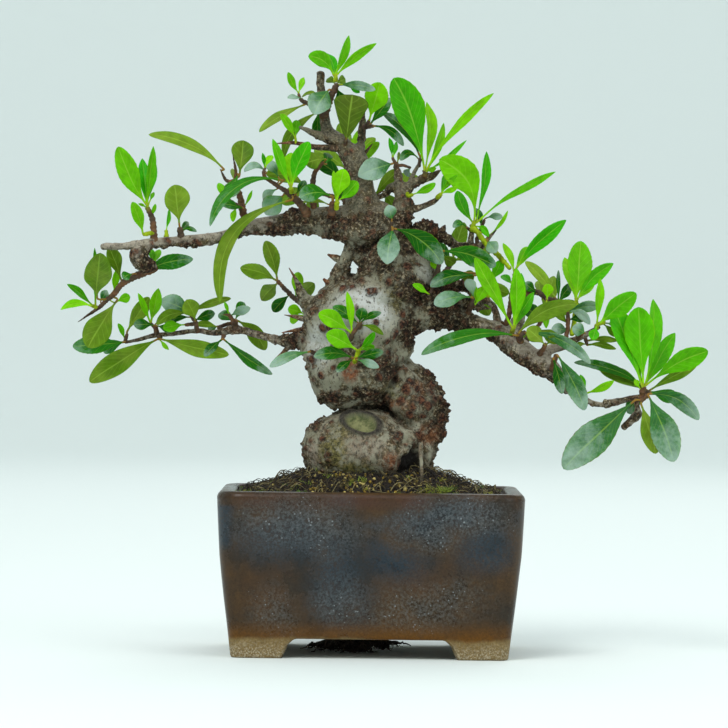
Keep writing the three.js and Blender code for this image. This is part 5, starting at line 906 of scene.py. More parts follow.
    [-72.8, 3.4, 134, -56.5, 8, 139.6, 3.8, 1.4, 30, "back"],
    [-73, 3.4, 134.4, -84.8, 5, 139.2, 8, 0.4, 8, "film"],
    [-73, 2.6, 133.6, -86, -5, 129.6, 4.6, 2.2, 22, "back"],
    [-72.6, 3, 132.4, -83.8, 2, 130.6, 3.6, 0.6, 18, "old"],
    [-71.2, 4.6, 131, -62.6, 13, 134, 4.4, 0.5, 18, "old"],
    [-75, 4.8, 129.4, -83.6, -2, 127.8, 4.8, 0.3, 8, "fresh"]]},
    "low_end": {"stems": [
    [[-84.8, 8.2, 124.4, 0.9], [-85.2, 6.4, 123.8, 0.8]]],
    "leaves": [
    [-84.6, 5.6, 123.6, -58, 0, 117.4, 7, 0, 12, "back"],
    [-86, 5.6, 123.4, -112.8, -2, 106.4, 9.4, 0.5, 8, "back"],
    [-84.8, 6, 123.2, -81.2, 2, 119.4, 2, 0, 20, "fresh"]]},
    "low_end_spur": {"stems": [
    [[-86.4, 8.6, 126.8, 1], [-86.6, 7.4, 128.6, 0.9]],
    [[-86.5, 8, 127.8, 0.8], [-88.4, 7.6, 129.6, 0.7]]],
    "leaves": [
    [-87, 6.8, 129, -95.2, 3, 129.2, 4.8, 0.3, 8, "old"],
    [-86, 6.6, 128.8, -79.6, 3, 126.8, 3.4, 0.3, 10, "old"],
    [-86.6, 8, 129.6, -80.4, 16, 133.4, 4.6, 0.4, 15, "old"],
    [-88.4, 7.2, 130.4, -85.6, 3, 143.8, 5, 0, 8, "fresh"],
    [-88.8, 7.4, 130.4, -93.7, 6, 141.8, 2.8, 0, 25, "fresh"]]},
    "low_tip": {"stems": [
    [[-97.9, 10, 122.3, 0.8], [-98.6, 9.6, 122.6, 0.8], [-97.9, 9.4, 125.2, 0.7]]],
    "leaves": [
    [-97.8, 9.2, 126.6, -89.2, 13, 140, 6.2, 0.3, 10, "back"],
    [-99, 8.6, 122.2, -119.2, -3, 120.6, 7.6, -0.3, 10, "old"],
    [-98.8, 9.8, 123.4, -101.6, 7, 129.6, 2.4, 0.2, 25, "fresh"],
    [-98.8, 10.4, 122.4, -108, 19, 118.4, 5.4, 0.4, 15, "old"]]},
    "back_crown": {"stems": [
    [[-8, 9, 172, 2.2], [-10, 16, 176, 1.8], [-12, 24, 182, 1.4], [-12, 31, 188, 1], [-11, 35, 193, 0.7]],
    [[-12, 22, 180.4, 1.1], [-20, 28, 182, 0.9], [-27, 32, 185, 0.7]],
    [[-11, 19, 178, 1.1], [-3, 26, 180, 0.9], [3, 32, 184, 0.7]],
    [[-12, 31, 188.2, 0.8], [-9, 28, 191, 0.8]]],
    "leaves": [
    [-11, 36, 194, -14, 42, 210, 7, 0.4, 160, "old"], [-11, 36, 193.6, 0, 44, 204, 6, 1, 165, "old"],
    [-11.4, 35, 192, -24, 44, 199, 7, 1, 200, "old"], [-12, 30, 187, -24, 27, 196, 6, 0.6, 170, "back"],
    [-27.6, 33, 185.4, -43, 38, 190, 7, 1.6, 160, "old"], [-27, 33, 184.8, -36, 44, 178, 7, 1, 190, "film"],
    [-22, 30, 182.6, -26, 41, 171, 6, 0.6, 175, "old"], [3.4, 33, 184.4, 18, 41, 188, 7, 1, 190, "old"],
    [3.2, 33, 183.6, 9, 44, 172, 7, 1, 180, "film"], [0, 29, 181.6, 10, 27, 192, 5.6, 0.6, 170, "old"],
    [-6, 24, 179, -8, 38, 171, 6, 0.8, 180, "old"], [-8.6, 28, 191.4, -6, 28, 208, 6, 0, 170, "fresh"],
    [-8.4, 28, 191.2, 1.6, 22, 203, 5, 0.6, 200, "fresh"]]},
    "back_right": {"stems": [
    [[14, 11, 140, 2.2], [20, 18, 144, 1.8], [26, 25, 149, 1.3], [31, 31, 155, 0.9]],
    [[23, 22, 147, 1], [31, 24, 145, 0.8], [38, 26, 144, 0.6]]],
    "leaves": [
    [31.4, 32, 156, 36, 38, 171, 7, 0.6, 165, "old"], [31.4, 32, 155.6, 46, 39, 160, 7, 1, 190, "old"],
    [31, 31.6, 155, 22, 42, 163, 6.4, 0.8, 175, "back"],
    [38.6, 26.4, 144.2, 54, 28, 143, 6.6, 1.4, 160, "old"],
    [38, 26.6, 143.6, 46, 37, 135, 6.4, 0.8, 190, "film"],
    [34, 25.4, 144.4, 40, 20, 152, 5, 0.4, 165, "old"], [26, 26, 149, 14, 35, 150, 6.6, 1, 185, "film"],
    [24, 24, 146.6, 26, 36, 138, 6, 0.6, 175, "old"]]},
    "back_left": {"stems": [
    [[-18, 10, 132, 2], [-25, 16, 136, 1.5], [-32, 22, 141, 1.1], [-38, 27, 147, 0.8]]],
    "leaves": [
    [-38.4, 28, 148, -43, 33, 163, 6.6, 0.6, 165, "old"],
    [-38.6, 28, 147.4, -53, 33, 152, 6.6, 1, 190, "old"],
    [-38, 27, 146.4, -44, 38, 140, 6.4, 0.6, 175, "film"],
    [-33, 23, 142, -40, 20, 135, 5, 0.4, 165, "back"], [-30, 21, 140, -24, 32, 146, 6, 0.6, 185, "old"],
    [-31, 22, 140.6, -30, 22, 151, 5, 0, 170, "fresh"]]},
    "back_branch": {"stems": [
    [[57, 2, 122, 1.6], [60, 9, 124, 1.3], [64, 16, 128, 1], [68, 22, 134, 0.8]]],
    "leaves": [
    [68.4, 23, 135, 72, 27, 150, 6.4, 0.5, 165, "old"], [68.6, 23, 134.4, 82, 31, 139, 6.4, 1, 190, "old"],
    [68, 22.6, 133.8, 60, 33, 137, 6, 0.6, 175, "back"],
    [65, 18, 129.4, 74, 24, 124, 5.6, 0.6, 165, "film"], [63, 15, 127, 54, 24, 125, 6, 0.6, 185, "old"]]},
    "left_middle_tuft": {"stems": [
    [[-82.6, -3, 163.6, 1.1], [-82.8, -3, 166.6, 0.8]]],
    "leaves": [
    [-82.7, -3, 167, -81.6, 3, 175.4, 2.4, 0, 50, "fresh"]], "grownIn": True},
    "left_end_tuft": {"stems": [
    [[-88, -5, 151.5, 1.9], [-87.5, -4.2, 153.6, 1]]],
    "leaves": [
    [-87.5, -4, 153.8, -89, 3, 159.6, 2.8, 0, 10, "fresh"],
    [-87.3, -4, 153.8, -85.4, 4, 159.2, 3, 0, -10, "fresh"]], "grownIn": True},
    "crown_front_left": {"stems": [
    [[-24, 2, 174.8, 1.4], [-24.7, 1, 184, 1.2], [-23.8, 0, 190.6, 1], [-20.6, -2, 194.6, 0.7]]],
    "leaves": [
    [-19.6, -3, 196, -27.6, -7, 194.2, 7.2, 0.5, 5, "back"],
    [-19.4, -2, 194, -18.4, 4, 198.6, 4.2, 0, 10, "old"]]},
    "crown_right_twig": {"stems": [
    [[17.6, 0, 193.6, 0.8], [18, 0.4, 196.4, 0.7]]],
    "leaves": [
    [17.6, 1.4, 198.2, 3, 8, 215.4, 5.2, 2, 20, "old"],
    [17.4, 1, 196.4, 10.2, 0, 196, 3.6, 2.6, 30, "old"]]},
    "right_spur_tuft": {"stems": [
    [[81.4, -2.3, 125.7, 1], [83.4, -5.6, 127.8, 0.7]]],
    "leaves": [
    [84.4, -6.4, 128, 79.4, -9, 130, 5.6, 0.2, 5, "film"]], "grownIn": True},
    "right_arm_tuft": {"stems": [
    [[38.9, 1.1, 168, 0.8], [36.8, -0.6, 169.6, 0.5]]],
    "leaves": [
    [36.8, -1.6, 169.4, 31.6, -5, 169.5, 3, 1.8, 25, "old"]], "grownIn": True},
    "right_arm_bud": {"stems": [
    [[44.8, 2.1, 164.4, 0.8], [46, 4.4, 166.4, 0.6]]],
    "leaves": [
    [46.4, 4.4, 166.8, 53.2, 2, 176.4, 2, -0.6, 30, "fresh"]], "grownIn": True},
}


# Limbs, thorns and roots: points x, y, z with the half thickness, from root to end
limbs = {
    "branch_left_upper": [[-8, 2, 170, 8], [-20, 3, 171, 5.8], [-30, 3, 171.3, 4.7], [-40, 2, 169.3, 4],
     [-50, 1, 168.4, 3.4], [-60, 0, 164.8, 2.7], [-70, -2, 163.2, 2.8], [-80, -3, 162.7, 2.3],
     [-89, -4, 161.9, 2.2], [-100, -5, 160.4, 1.5], [-108, -5, 160.2, 1.3]],
    "knob_left_upper": [[-91.5, -4, 160.6, 3], [-94, -4.5, 156.6, 3.6], [-91.5, -5, 153.2, 3.3],
     [-87.5, -5, 152.6, 2.3]],
    "arm_by_window": [[-15, -1, 145, 4.5], [-12.8, 0, 151, 2.7], [-11.6, 0, 155, 2.5], [-9, 1, 160, 3.2],
     [-4, 1, 166, 6]],
    "column": [[-3, 1, 172, 8], [-5, 1, 180, 6.5], [-6, 1, 187, 5.5], [-7, 1, 194, 5.8],
     [-8.5, 1, 199, 4.6]],
    "leader": [[-9, 1, 197, 4.6], [-14, 1, 203.2, 3.2], [-18.5, 2, 206.5, 2.9], [-20, 2, 211, 2.4],
     [-20.8, 3, 217, 1.9], [-21.8, 3, 224, 1.7], [-22.2, 3, 230, 1.6]],
    "grey_stub": [[-15, 0, 203, 2.4], [-22, -1, 205.3, 1.7], [-30, -2, 208.6, 0.6]],
    "crown_thorn": [[-12, 0, 200.5, 1.8], [-24, -1.5, 200.8, 1.1], [-32, -3, 202.3, 0.8],
     [-39.3, -4, 202, 0.2]],
    "second_leader": [[-6, 2, 196, 3.2], [-5.5, 3, 204, 1.9], [-5.3, 4, 210, 1.4], [-5, 5, 218, 0.8]],
    "column_thorn": [[-4.5, 1, 198, 0.9], [-1, 0, 202.4, 0.2]],
    "right_crown": [[7, 1, 164, 7], [10, 0, 173, 5], [11.5, -1, 179, 4], [10, -1, 185, 2.6],
     [9, -1, 192, 1.2]],
    "bridge": [[-3, 1, 180.6, 1.5], [3.2, 1.5, 181.8, 1.1], [6, 1, 184.6, 2.2], [9.5, 0, 187, 1.6]],
    "right_fork": [[11, -1, 182, 3], [14.5, -2, 186.2, 2.2], [18.5, -2.5, 188.4, 1.9],
     [22.5, -3, 189.8, 1.6], [26, -3, 192, 0.4]],
    "grey_twig": [[13.5, -2, 185.5, 1.2], [15.5, -1, 190.5, 0.9], [17.4, 0, 194.2, 0.6]],
    "side_twig": [[12, -1, 176, 2], [18, -3, 177.2, 1.4], [23.5, -4, 179.6, 1.1], [26.3, -5, 181.6, 0.6]],
    "right_arm": [[15, 0, 164, 4.4], [20.5, -1, 168.8, 2.7], [24, -1, 168, 1.7], [28, 0, 165.3, 1.7],
     [33, 1, 162.2, 1.6], [38.5, 2, 161.3, 2], [43, 2, 162.4, 1.5], [46, 2, 165.6, 0.7],
     [48.6, 1, 168.6, 0.25]],
    "arm_spur": [[38.6, 2, 160.5, 1.6], [38.7, 1, 165.2, 1.2], [38.9, 1, 168.4, 0.8]],
    "branch_right": [[4, 0, 134, 12], [15, -1, 134.5, 8], [27, -2, 134.2, 5.2], [38, -3, 131.8, 3.8],
     [45, -4, 129.6, 4.1], [50, -4, 127.2, 4.2], [55, -4, 123.6, 4.8], [60, -4, 120, 4.7],
     [66, -3, 116.3, 4.4], [72, -3, 111.8, 4.1], [77, -2, 107, 3.1], [83, -2, 102.6, 2.4],
     [90, -1, 99.7, 2.1], [97, 0, 100.6, 1.4], [104, 0, 102.4, 1.1], [109.5, 0, 103, 1]],
    "rough_top": [[18, 0, 146, 5], [28, 0.5, 146, 2.6], [36, 1, 145.8, 1.7], [39.5, 0, 142.6, 1.4],
     [41, -1, 138.6, 2]],
    "rough_middle": [[18, -1, 141, 6], [28, -1, 141, 4.2], [36, -1, 139.6, 2.9], [41, -1, 138.2, 1.8],
     [46.3, -2, 137.2, 0.3]],
    "loop": [[41, -1, 139.4, 1.6], [45.5, 0, 140.2, 1.3], [48.6, 0, 136.6, 1.3], [50, -3, 130, 2]],
    "old_spur": [[55.5, -3, 126, 3.2], [58, -1, 134, 2.6], [60.3, 0, 141, 2.4]],
    "right_spur": [[64, -3, 117.5, 3], [70.5, -3, 121.3, 2.2], [76, -3, 123, 2], [81, -2, 125.4, 1.4],
     [86, -1, 128, 1.1], [90, 0, 130.4, 0.8]],
    "aerial_root": [[19.4, -14, 83, 1], [19.8, -18.6, 77, 0.8], [20, -19.8, 70, 0.8], [19, -14, 61, 1.2]],
    "hanging_bud": [[105, 0, 102.4, 1], [105.6, 0, 98.5, 1], [105.6, 0, 95.9, 1.8], [103, 0, 92.9, 1.5],
     [100.3, 0, 90.6, 1.3]],
    "branch_left_lower": [[-19, -2, 125, 5], [-27, -1, 124.5, 2.8], [-32, 0, 123.2, 2.2],
     [-36.5, 1, 123.6, 2], [-41.5, 2, 124.7, 1.6], [-46.5, 4, 126, 1.5], [-51.5, 5, 127.4, 1.5],
     [-56, 6, 127.6, 1.8], [-63, 7, 126.3, 1.2], [-70, 8, 127, 1], [-80, 9, 125.8, 1], [-87, 10, 125, 0.9],
     [-93, 10, 123.3, 0.8], [-97, 10, 122.4, 0.6]],
    "thorn_upper": [[-20, -1, 136, 5.4], [-26.5, -2, 139, 3.2], [-29, -3, 143.5, 1.7], [-31, -3, 148, 0.8],
     [-33.7, -4, 152.5, 0.15]],
    "thorn_middle": [[-22, 0, 130.5, 1.8], [-29, 0, 132.6, 1], [-35.3, 0, 133.8, 0.15]],
    "thorn_low": [[-23, -2, 129, 1.5], [-30, -3, 127.9, 0.8], [-36.3, -4, 126.7, 0.15]],
    "thorn_under": [[-31.5, 0, 123, 1.4], [-35.5, -1, 119, 0.8], [-39.2, -2, 116, 0.15]],
    "thorn_shoulder": [[-14.5, -3, 143, 2], [-18, -3, 146.5, 1.2], [-19.8, -3, 148.2, 0.5]],
    "thorn_window": [[-11.8, 0, 155, 1.9], [-15, 0, 156.6, 1.4], [-18.2, 0, 158, 0.4]],
}


# Leaves: lengths in mm, the rest as shares of the width or the length
leafMake = {"fold": 0.17, "tipCurl": 0.06, "wave": 0.03, "thick": 0.32, "stalk": 0.42, "smallStalk": 0.3,
            "longLeaf": 12, "veinPitch": 2.9, "veinRelief": 0.07, "tooth": 0.016, "twist": 0.22, "sway": 0.02,
            "stemSides": 8, "stemStep": 0.45, "ringPitch": 1.5, "ringRelief": 0.09,
            # painted shade: the leaf colours of these sprays are darkened by this factor, for leaves that lie
            # in shade
            "paintedShade": {"top_back": 0.44}}

# Colours of one leaf: face side, a second tone, the other side, then roughness
leafLooks = {
    "fresh": {"face": "#2A9600", "second": "#78BC00", "other": "#7FBE14", "rough": 0.45},
    "old": {"face": "#0C4A05", "second": "#236A0A", "other": "#5F7F16", "rough": 0.38},
    "film": {"face": "#265C26", "second": "#437540", "other": "#5F7F16", "rough": 0.5},
    "back": {"face": "#4F7208", "second": "#6E8B22", "other": "#1B5512", "rough": 0.5},
}
stemLooks = {"fresh": "#8FA51C", "old": "#574230", "film": "#574230", "back": "#5C452F"}


# The nearest spot to a place on the noted lines of a spray's stems, and the half thickness there.
def nearestOnStems(stems, place):
    starts = np.vstack([np.column_stack([seen(s), np.array(s)[:, 3]])[:-1] for s in stems])
    ends = np.vstack([np.column_stack([seen(s), np.array(s)[:, 3]])[1:] for s in stems])
    ways = ends[:, :3] - starts[:, :3]
    share = np.clip(np.sum((place - starts[:, :3]) * ways, 1) / np.maximum(np.sum(ways ** 2, 1), 1e-9), 0, 1)
    spots = starts + (ends - starts) * share[:, None]
    return spots[np.argmin(np.linalg.norm(spots[:, :3] - place, axis=1))]


# How full a leaf is at t along it: sin(pi t^k)^p, with k from where it is widest and p from how broad it is.
def leafFullness(kind, rounded, width, length, t):
    broad = width / length > 0.3
    widest = (0.54 if rounded else 0.64 if width / length > 0.42
              else 0.68 if length > 28 and kind == "fresh" else 0.59)
    power = np.where(t < widest, 1.22 if broad and not rounded else 1.05,
                     0.7 if rounded else 0.56 if broad or kind != "fresh" else 0.74)
    full = np.sin(math.pi * t ** (math.log(0.5) / math.log(widest))).clip(0) ** power
    if kind == "back" and width / length > 0.66 and length > 14:  # short wedge with a blunt tip
        full = np.minimum(t / 0.8, 1) ** 0.8 * np.sqrt(1 - np.clip((t - 0.78) / 0.22, 0, 1) ** 2.6)
    return full


# Height of the skin over the midline: a fold, waved margins, ribs of the side veins and half the thickness,
# with the midrib sunk on the face and raised underneath. up is 1 on the face, -1 underneath, 0 at the edges.
def leafHeight(kind, width, length, blade, t, q, up, flat, phase):
    lift = leafMake["fold"] * (1.25 if kind == "fresh" else 1) * blade * np.abs(q) ** 1.25
    waves = np.sin(2 * math.pi * (1.1 + length / 30) * t + phase + 1.4 * q)
    lift = lift + leafMake["wave"] * blade * q ** 2 * waves
    lift = lift - (0.05 if kind in ("old", "film") else 0.02) * blade * q ** 4
    ribs = np.cos(2 * math.pi * (t - 0.25 * np.abs(q)) * length / leafMake["veinPitch"])
    ribs = ribs * 4 * np.abs(q) * (1 - np.abs(q)) * flat * min(1, width / 8)
    lift = lift + leafMake["veinRelief"] * ribs
    midrib = np.exp(-(q / 0.1) ** 2) * flat * (1 - t) ** 0.6
    thick = leafMake["thick"] * (1 - 0.8 * q ** 2)
    thick = thick + np.where(up < 0, 0.3, -0.18) * midrib * min(1, width / 6)
    return lift + up * thick / 2


# Colours of the skin, with a painted sheen of paler yellow-green in places under all but fresh leaves; and
# what the material reads: the place on the leaf, the number of side veins and the gloss.
def leafColours(kind, chalky, length, points, t, q, up, flat, draw):
    rows, sides = points.shape[:2]
    look = leafLooks[kind]
    shade, tone = draw.random(2)
    pick = {name: np.array(linear(look[name])[:3]) for name in ("face", "second", "other")}
    faceTint = pick["face"] * (1 - tone) + pick["second"] * tone
    share = (0.5 + 0.5 * up)[..., None] * np.ones((rows, 1, 1))
    tint = faceTint * share + pick["other"] * (1 - share)
    if kind == "fresh":
        young = 0.65 * (1 - smooth(t, 0, 0.3))
        tint = tint + (np.array(linear("#9CCB12")[:3]) - tint) * young[..., None]
    tint = tint * (0.86 + 0.28 * shade)
    stalkTint = np.array(linear(stemLooks["fresh"] if kind == "fresh" else "#85602A")[:3])
    tint = np.where(flat[..., None] > 0.25, tint, stalkTint)
    # painted sheen: broad patches of paler yellow-green stand in for light glancing off the undersides
    paintedSheen = 0.25 * smooth(noise(points.reshape(-1, 3), 7, 71, 2), -0.2, 0.6).reshape(rows, sides)
    paintedSheen = paintedSheen * (up > 0 if kind == "back" else up < 0) * (kind != "fresh")
    tint = tint + (np.array(linear("#8A9A3A")[:3]) - tint) * paintedSheen[..., None]
    film = {"film": chalky, "old": 0.12}.get(kind, 0.0) * draw.uniform(0.75, 1.15)
    film = film * (up > -0.5) * flat
    tint = np.concatenate([tint, np.broadcast_to(film[..., None], tint.shape[:2] + (1,))], -1)
    place = np.stack(np.broadcast_arrays(t, 0.5 + 0.5 * q, flat * shade + 0.001, 1), -1)
    veins = np.full(rows * sides, length / leafMake["veinPitch"])
    gloss = np.full(rows * sides, look["rough"] + 0.12 * (tone - 0.5))
    return tint.reshape(-1, 4), place.reshape(-1, 4), veins, gloss


# Leaf on a grid of t along it and q across it, both skins in one closed ring. The midline runs from base
# to tip with an arch, a sway and a curl back; the section is a shallow V with waved margins, ribbed by the
# side veins; a stalk joins it to the nearest stem.
def makeLeaf(noted, stems, draw):
    width, arch, roll, kind = noted[6:]
    base, tip = seen([noted[:3], noted[3:6]])
    along, length = unit(tip - base), np.linalg.norm(tip - base)
    face = unit(np.array([0, -1, 0]) + along[1] * along)
    face = face * math.cos(math.radians(roll)) + np.cross(along, face) * math.sin(math.radians(roll))
    across = np.cross(along, face)
    rise = unit(np.array([-along[2], 0, along[0]])) * (1 if along[0] >= 0 else -1)
    large = length > leafMake["longLeaf"]
    rings, stalkRings = (30, 4) if large else (16, 3)
    u = np.linspace(0, 1, rings)
    t = 0.4 * u + 0.6 * (1 - np.cos(math.pi * u)) / 2
    rounded = kind == "film" and width / length > 0.55
    full = leafFullness(kind, rounded, width, length, t)
    phase = draw.uniform(0, 2 * math.pi, 3)
    sway = leafMake["sway"] * length * t * (1 - t)
    centre = (base + np.outer(t * length, along) + np.outer(4 * t * (1 - t) * arch, rise)
              - np.outer(leafMake["tipCurl"] * length * t ** 2 * (kind != "fresh"), face)
              + np.outer(sway * np.sin(2.2 * math.pi * t + phase[0]), across)
              + np.outer(sway * np.sin(3 * math.pi * t + phase[1]), face))
    radius = leafMake["stalk"] if large else leafMake["smallStalk"]
    root = nearestOnStems(stems, base)
    bend = np.linspace(0, 1, stalkRings, endpoint=False)[:, None]
    knee = base - along * np.linalg.norm(base - root[:3]) * 0.4
    stalk = (1 - bend) ** 2 * root[:3] + 2 * bend * (1 - bend) * knee + bend ** 2 * base
    centre = np.vstack([stalk, centre])
    t = np.concatenate([np.full(stalkRings, 0.0), t])
    full = np.concatenate([np.zeros(stalkRings), full])
    half = np.maximum(width / 2 * full, radius * (1 - 0.9 * smooth(t, 0.1, 1)))
    half[-1] = 0.03
    flat = np.concatenate([np.zeros(stalkRings), smooth(t[stalkRings:], 0, 0.13)])
    way = unit(np.gradient(centre, axis=0))
    turn = draw.uniform(-1, 1) * leafMake["twist"] * (t - 0.4) * flat
    side, front = (across - (way @ across)[:, None] * way), (face - (way @ face)[:, None] * way)
    useSide = (np.linalg.norm(side, axis=1) > np.linalg.norm(front, axis=1))[:, None]
    side = unit(np.where(useSide, side, np.cross(way, unit(front))))
    front = np.cross(side, way)
    side, front = (side * np.cos(turn)[:, None] + front * np.sin(turn)[:, None],
                   front * np.cos(turn)[:, None] - side * np.sin(turn)[:, None])
    q = np.array([-1, -0.94, -0.76, -0.52, -0.28, -0.1, 0, 0.1, 0.28, 0.52, 0.76, 0.94, 1] if large
                 else [-1, -0.85, -0.5, -0.18, 0, 0.18, 0.5, 0.85, 1])
    order = np.concatenate([np.arange(len(q)), np.arange(len(q) - 2, 0, -1)])
    q, up = q[order], np.concatenate([np.ones(len(q)), -np.ones(len(q) - 2)])
    up[[0, len(np.unique(q)) - 1]] = 0
    q, up, flat = q[None, :], up[None, :], flat[:, None]
    grid = t[:, None], q, up, flat
    blade = full[:, None] ** 2 * width
    height = leafHeight(kind, width, length, blade, *grid, phase[2])
    height = flat * height + (1 - flat) * up * radius * np.sqrt(1 - q ** 2)
    teeth = np.where(np.abs(q) > 0.99, leafMake["tooth"] * (-1) ** np.arange(len(t))[:, None], 0)
    reach = q * half[:, None] * (1 + teeth * (large and kind != "back"))
    points = centre[:, None] + side[:, None] * reach[..., None] + front[:, None] * height[..., None]
    chalky = 0.5 if rounded else 0.38 if large else 0.7
    colours = leafColours(kind, chalky, length, points, *grid, draw)
    return (points.reshape(-1, 3), closedFaces(*points.shape[:2]), *colours)


# The stems of one spray and its leaves, as one list of skins with their colour layers.
def makeSpray(name, spray, draw):
    kinds = [row[9] for row in spray["leaves"]]
    main = max(sorted(set(kinds)), key=kinds.count)
    parts = [makeLeaf(row, spray["stems"], draw) for row in spray["leaves"]]
    # painted shade: the colours of a spray's leaves are darkened where its leaves lie in shade
    for part in parts:
        part[2][:, :3] *= leafMake["paintedShade"].get(name, 1)
    for stem in spray["stems"]:
        knots = np.column_stack([seen(stem), np.array(stem)[:, 3]])
        limb = nearestOnStems(limbs.values(), knots[0, :3])
        if np.linalg.norm(limb[:3] - knots[0, :3]) < limb[3] + 2.5:
            inside = 0.25 * knots[0, :3] + 0.75 * limb[:3]
            knots = np.vstack([[*inside, min(1.4 * knots[0, 3], limb[3])], knots])
        path = curveThrough(knots, leafMake["stemStep"])
        rings = leafMake["ringRelief"] * (main != "fresh" or path[:, 3].max() > 1.15)
        turns = 2 * math.pi * len(path) * leafMake["stemStep"] / leafMake["ringPitch"]

        def relief(p, s):
            return 0.18 * noise(p, 1.4, 11, 2) + rings * np.sin(turns * s + 3 * noise(p, 5, 12, 1))

        points, faces, share = tube(path, leafMake["stemSides"], relief)
        thick = np.interp(np.ravel(share), np.linspace(0, 1, len(path)), path[:, 3])[:, None]
        woody = smooth(thick, 0.95, 1.1) * (path[:, 3].max() > 1.3) if main == "fresh" else 1.0
        bark = smooth(noise(points, 4, 14, 2), -0.4, 0.4)[:, None]
        bark = np.array(linear("#4E4034")) * (1 - bark) + np.array(linear("#644833")) * bark
        tint = np.array(linear(stemLooks[main])) * (1 - woody) + bark * woody
        tint = tint * np.ones((len(points), 1)) * (1 + 0.45 * noise(points, 1.2, 13, 2))[:, None]
        tint[:, 3] = 0
        none = np.zeros(len(points))
        parts.append((points, faces, tint, np.zeros((len(points), 4)), none, none + 0.7))
    points, faces = join([part[:2] for part in parts])
    layers = {label: np.concatenate([part[k] for part in parts]) for label, k in
              (("tint", 2), ("leafPlace", 3), ("veins", 4), ("gloss", 5))}
    slots = {"fresh": "leaf_fresh", "old": "leaf_old", "film": "leaf_film", "back": "leaf_underside"}
    return makePiece("spray_of_" + name, points, faces, leafMaterial, slots[main],
                     [] if spray.get("grownIn") else ["spray_" + name], layers)


# Firethorn leaf: waxy skin over a leathery blade, paler along the midrib and side veins. A chalky film of
# dried hard water starts at the tip and reaches the base where it is full, with a ragged edge, and dark red
# dashes mark where the shallow teeth end.
leafSkin = {
    "name": "waxy firethorn leaf",
    "noises": {"mottle": (3.2, 5, 0.6), "ragged": (5, 8, 0.7), "grain": (0.9, 3, 0.5)},
    "layers": {"tint": ("red", "green", "blue", "film"), "leafPlace": ("along", "across", "blade")},
    "values": ("veins", "gloss"),
    "steps": [
        ("off", "SUBTRACT", "across", 0.5),
        ("off", "ABSOLUTE", "off"),
        ("blade", "GREATER_THAN", "blade", 0.0005),
        ("slant", "MULTIPLY_ADD", "off", -0.5, "along"),
        ("wave", "MULTIPLY", "slant", "veins"),
        ("wave", "FRACT", "wave"),
        ("wave", "SUBTRACT", "wave", 0.5),
        ("wave", "ABSOLUTE", "wave"),
        ("pale", "MULTIPLY", ("wave", 0.42, 0.5, 0.55, 0, "SMOOTHSTEP"), ("off", 0.5, 0.36)),
        ("pale", "MAXIMUM", ("off", 0.045, 0.008, 1, 0, "SMOOTHSTEP"), "pale"),
        ("pale", "MULTIPLY", "pale", "blade"),
        ("reach", "MULTIPLY", "film", 1.1),
        ("reach", "MULTIPLY_ADD", "along", 0.9, "reach"),
        ("reach", "MULTIPLY_ADD", "ragged", 1.5, "reach"),
        ("chalk", "MULTIPLY", ("reach", 1.45, 2.05, 0.76), ("film", 0, 0.12)),
        ("tooth", "MULTIPLY", "along", "veins"),
        ("tooth", "FRACT", "tooth"),
        ("tooth", "MULTIPLY", ("tooth", 0.3, 0.12), ("off", 0.465, 0.49)),
        ("rough", "MULTIPLY_ADD", "chalk", 0.3, "gloss"),
        ("relief", "MULTIPLY_ADD", "pale", -0.5, "grain")],
    "coats": [
        (None, None, None, "tint"),
        ("shade", ("mottle", 0.3, 0.7, 1.2, 0.8)),
        ("pale", 0.55, None, [(None, None, None, "tint"), (0.6, None, None, "#A9CC4A")]),
        ("chalk", None, None, "#9DB3A5"),
        ("tooth", ("film", 0.02, 0.12, 0.8), None, "#3E1A10")],
    "bump": ("relief", 0.25, 0.0003),
    "surface": {"Roughness": "rough", "IOR": 1.45, "Specular IOR Level": 0.1, "Subsurface Weight": 0.2,
                "Subsurface Scale": 0.0009, "Subsurface Radius": (0.5, 1.0, 0.05)}}
leafMaterial = newMaterial(leafSkin)
for number, (sprayName, spray) in enumerate(sprays.items()):
    makeSpray(sprayName, spray, np.random.default_rng(1000 + number))
print("sprays done")


# Trunk swellings: centre x, y, z and half widths x, y, z
lobes = [[0, 0, 80, 27.3, 22, 18.5], [2, 2, 64, 22, 18, 14], [12, 0, 106, 10, 13, 11],
         [17, 1, 98, 11.6, 15, 13], [17.5, 1, 89, 9.8, 14, 10.5], [-6, -1, 112, 18.7, 17, 15.5],
         [-5.4, -0.5, 121, 20.6, 17.6, 13], [-5, 0, 131, 22, 18.5, 19], [9.3, 1, 150, 14.2, 14, 17.5],
         [-2, 1, 170, 15, 10.5, 9.5], [-0.5, 3, 159, 7.5, 8, 8], [4, -2.5, 141, 14, 13, 12]]
wood = {"voxel": 0.63, "smoothing": 4, "thinLimb": 1.9, "lobeWave": 0.8, "lobeRings": 40, "lobeSides": 72,
        "limbStep": 1.1, "limbSides": 20, "twigStep": 0.5, "twigSides": 10, "seed": 77, "cellSize": 3.3,
        "plateHeight": 1.15, "grain": 0.12, "crease": 1.5, "crumbSize": 1.9, "crumbHeight": 0.75,
        "greyTwigs": ("branch_left_upper", "grey_stub", "grey_twig", "aerial_root")}

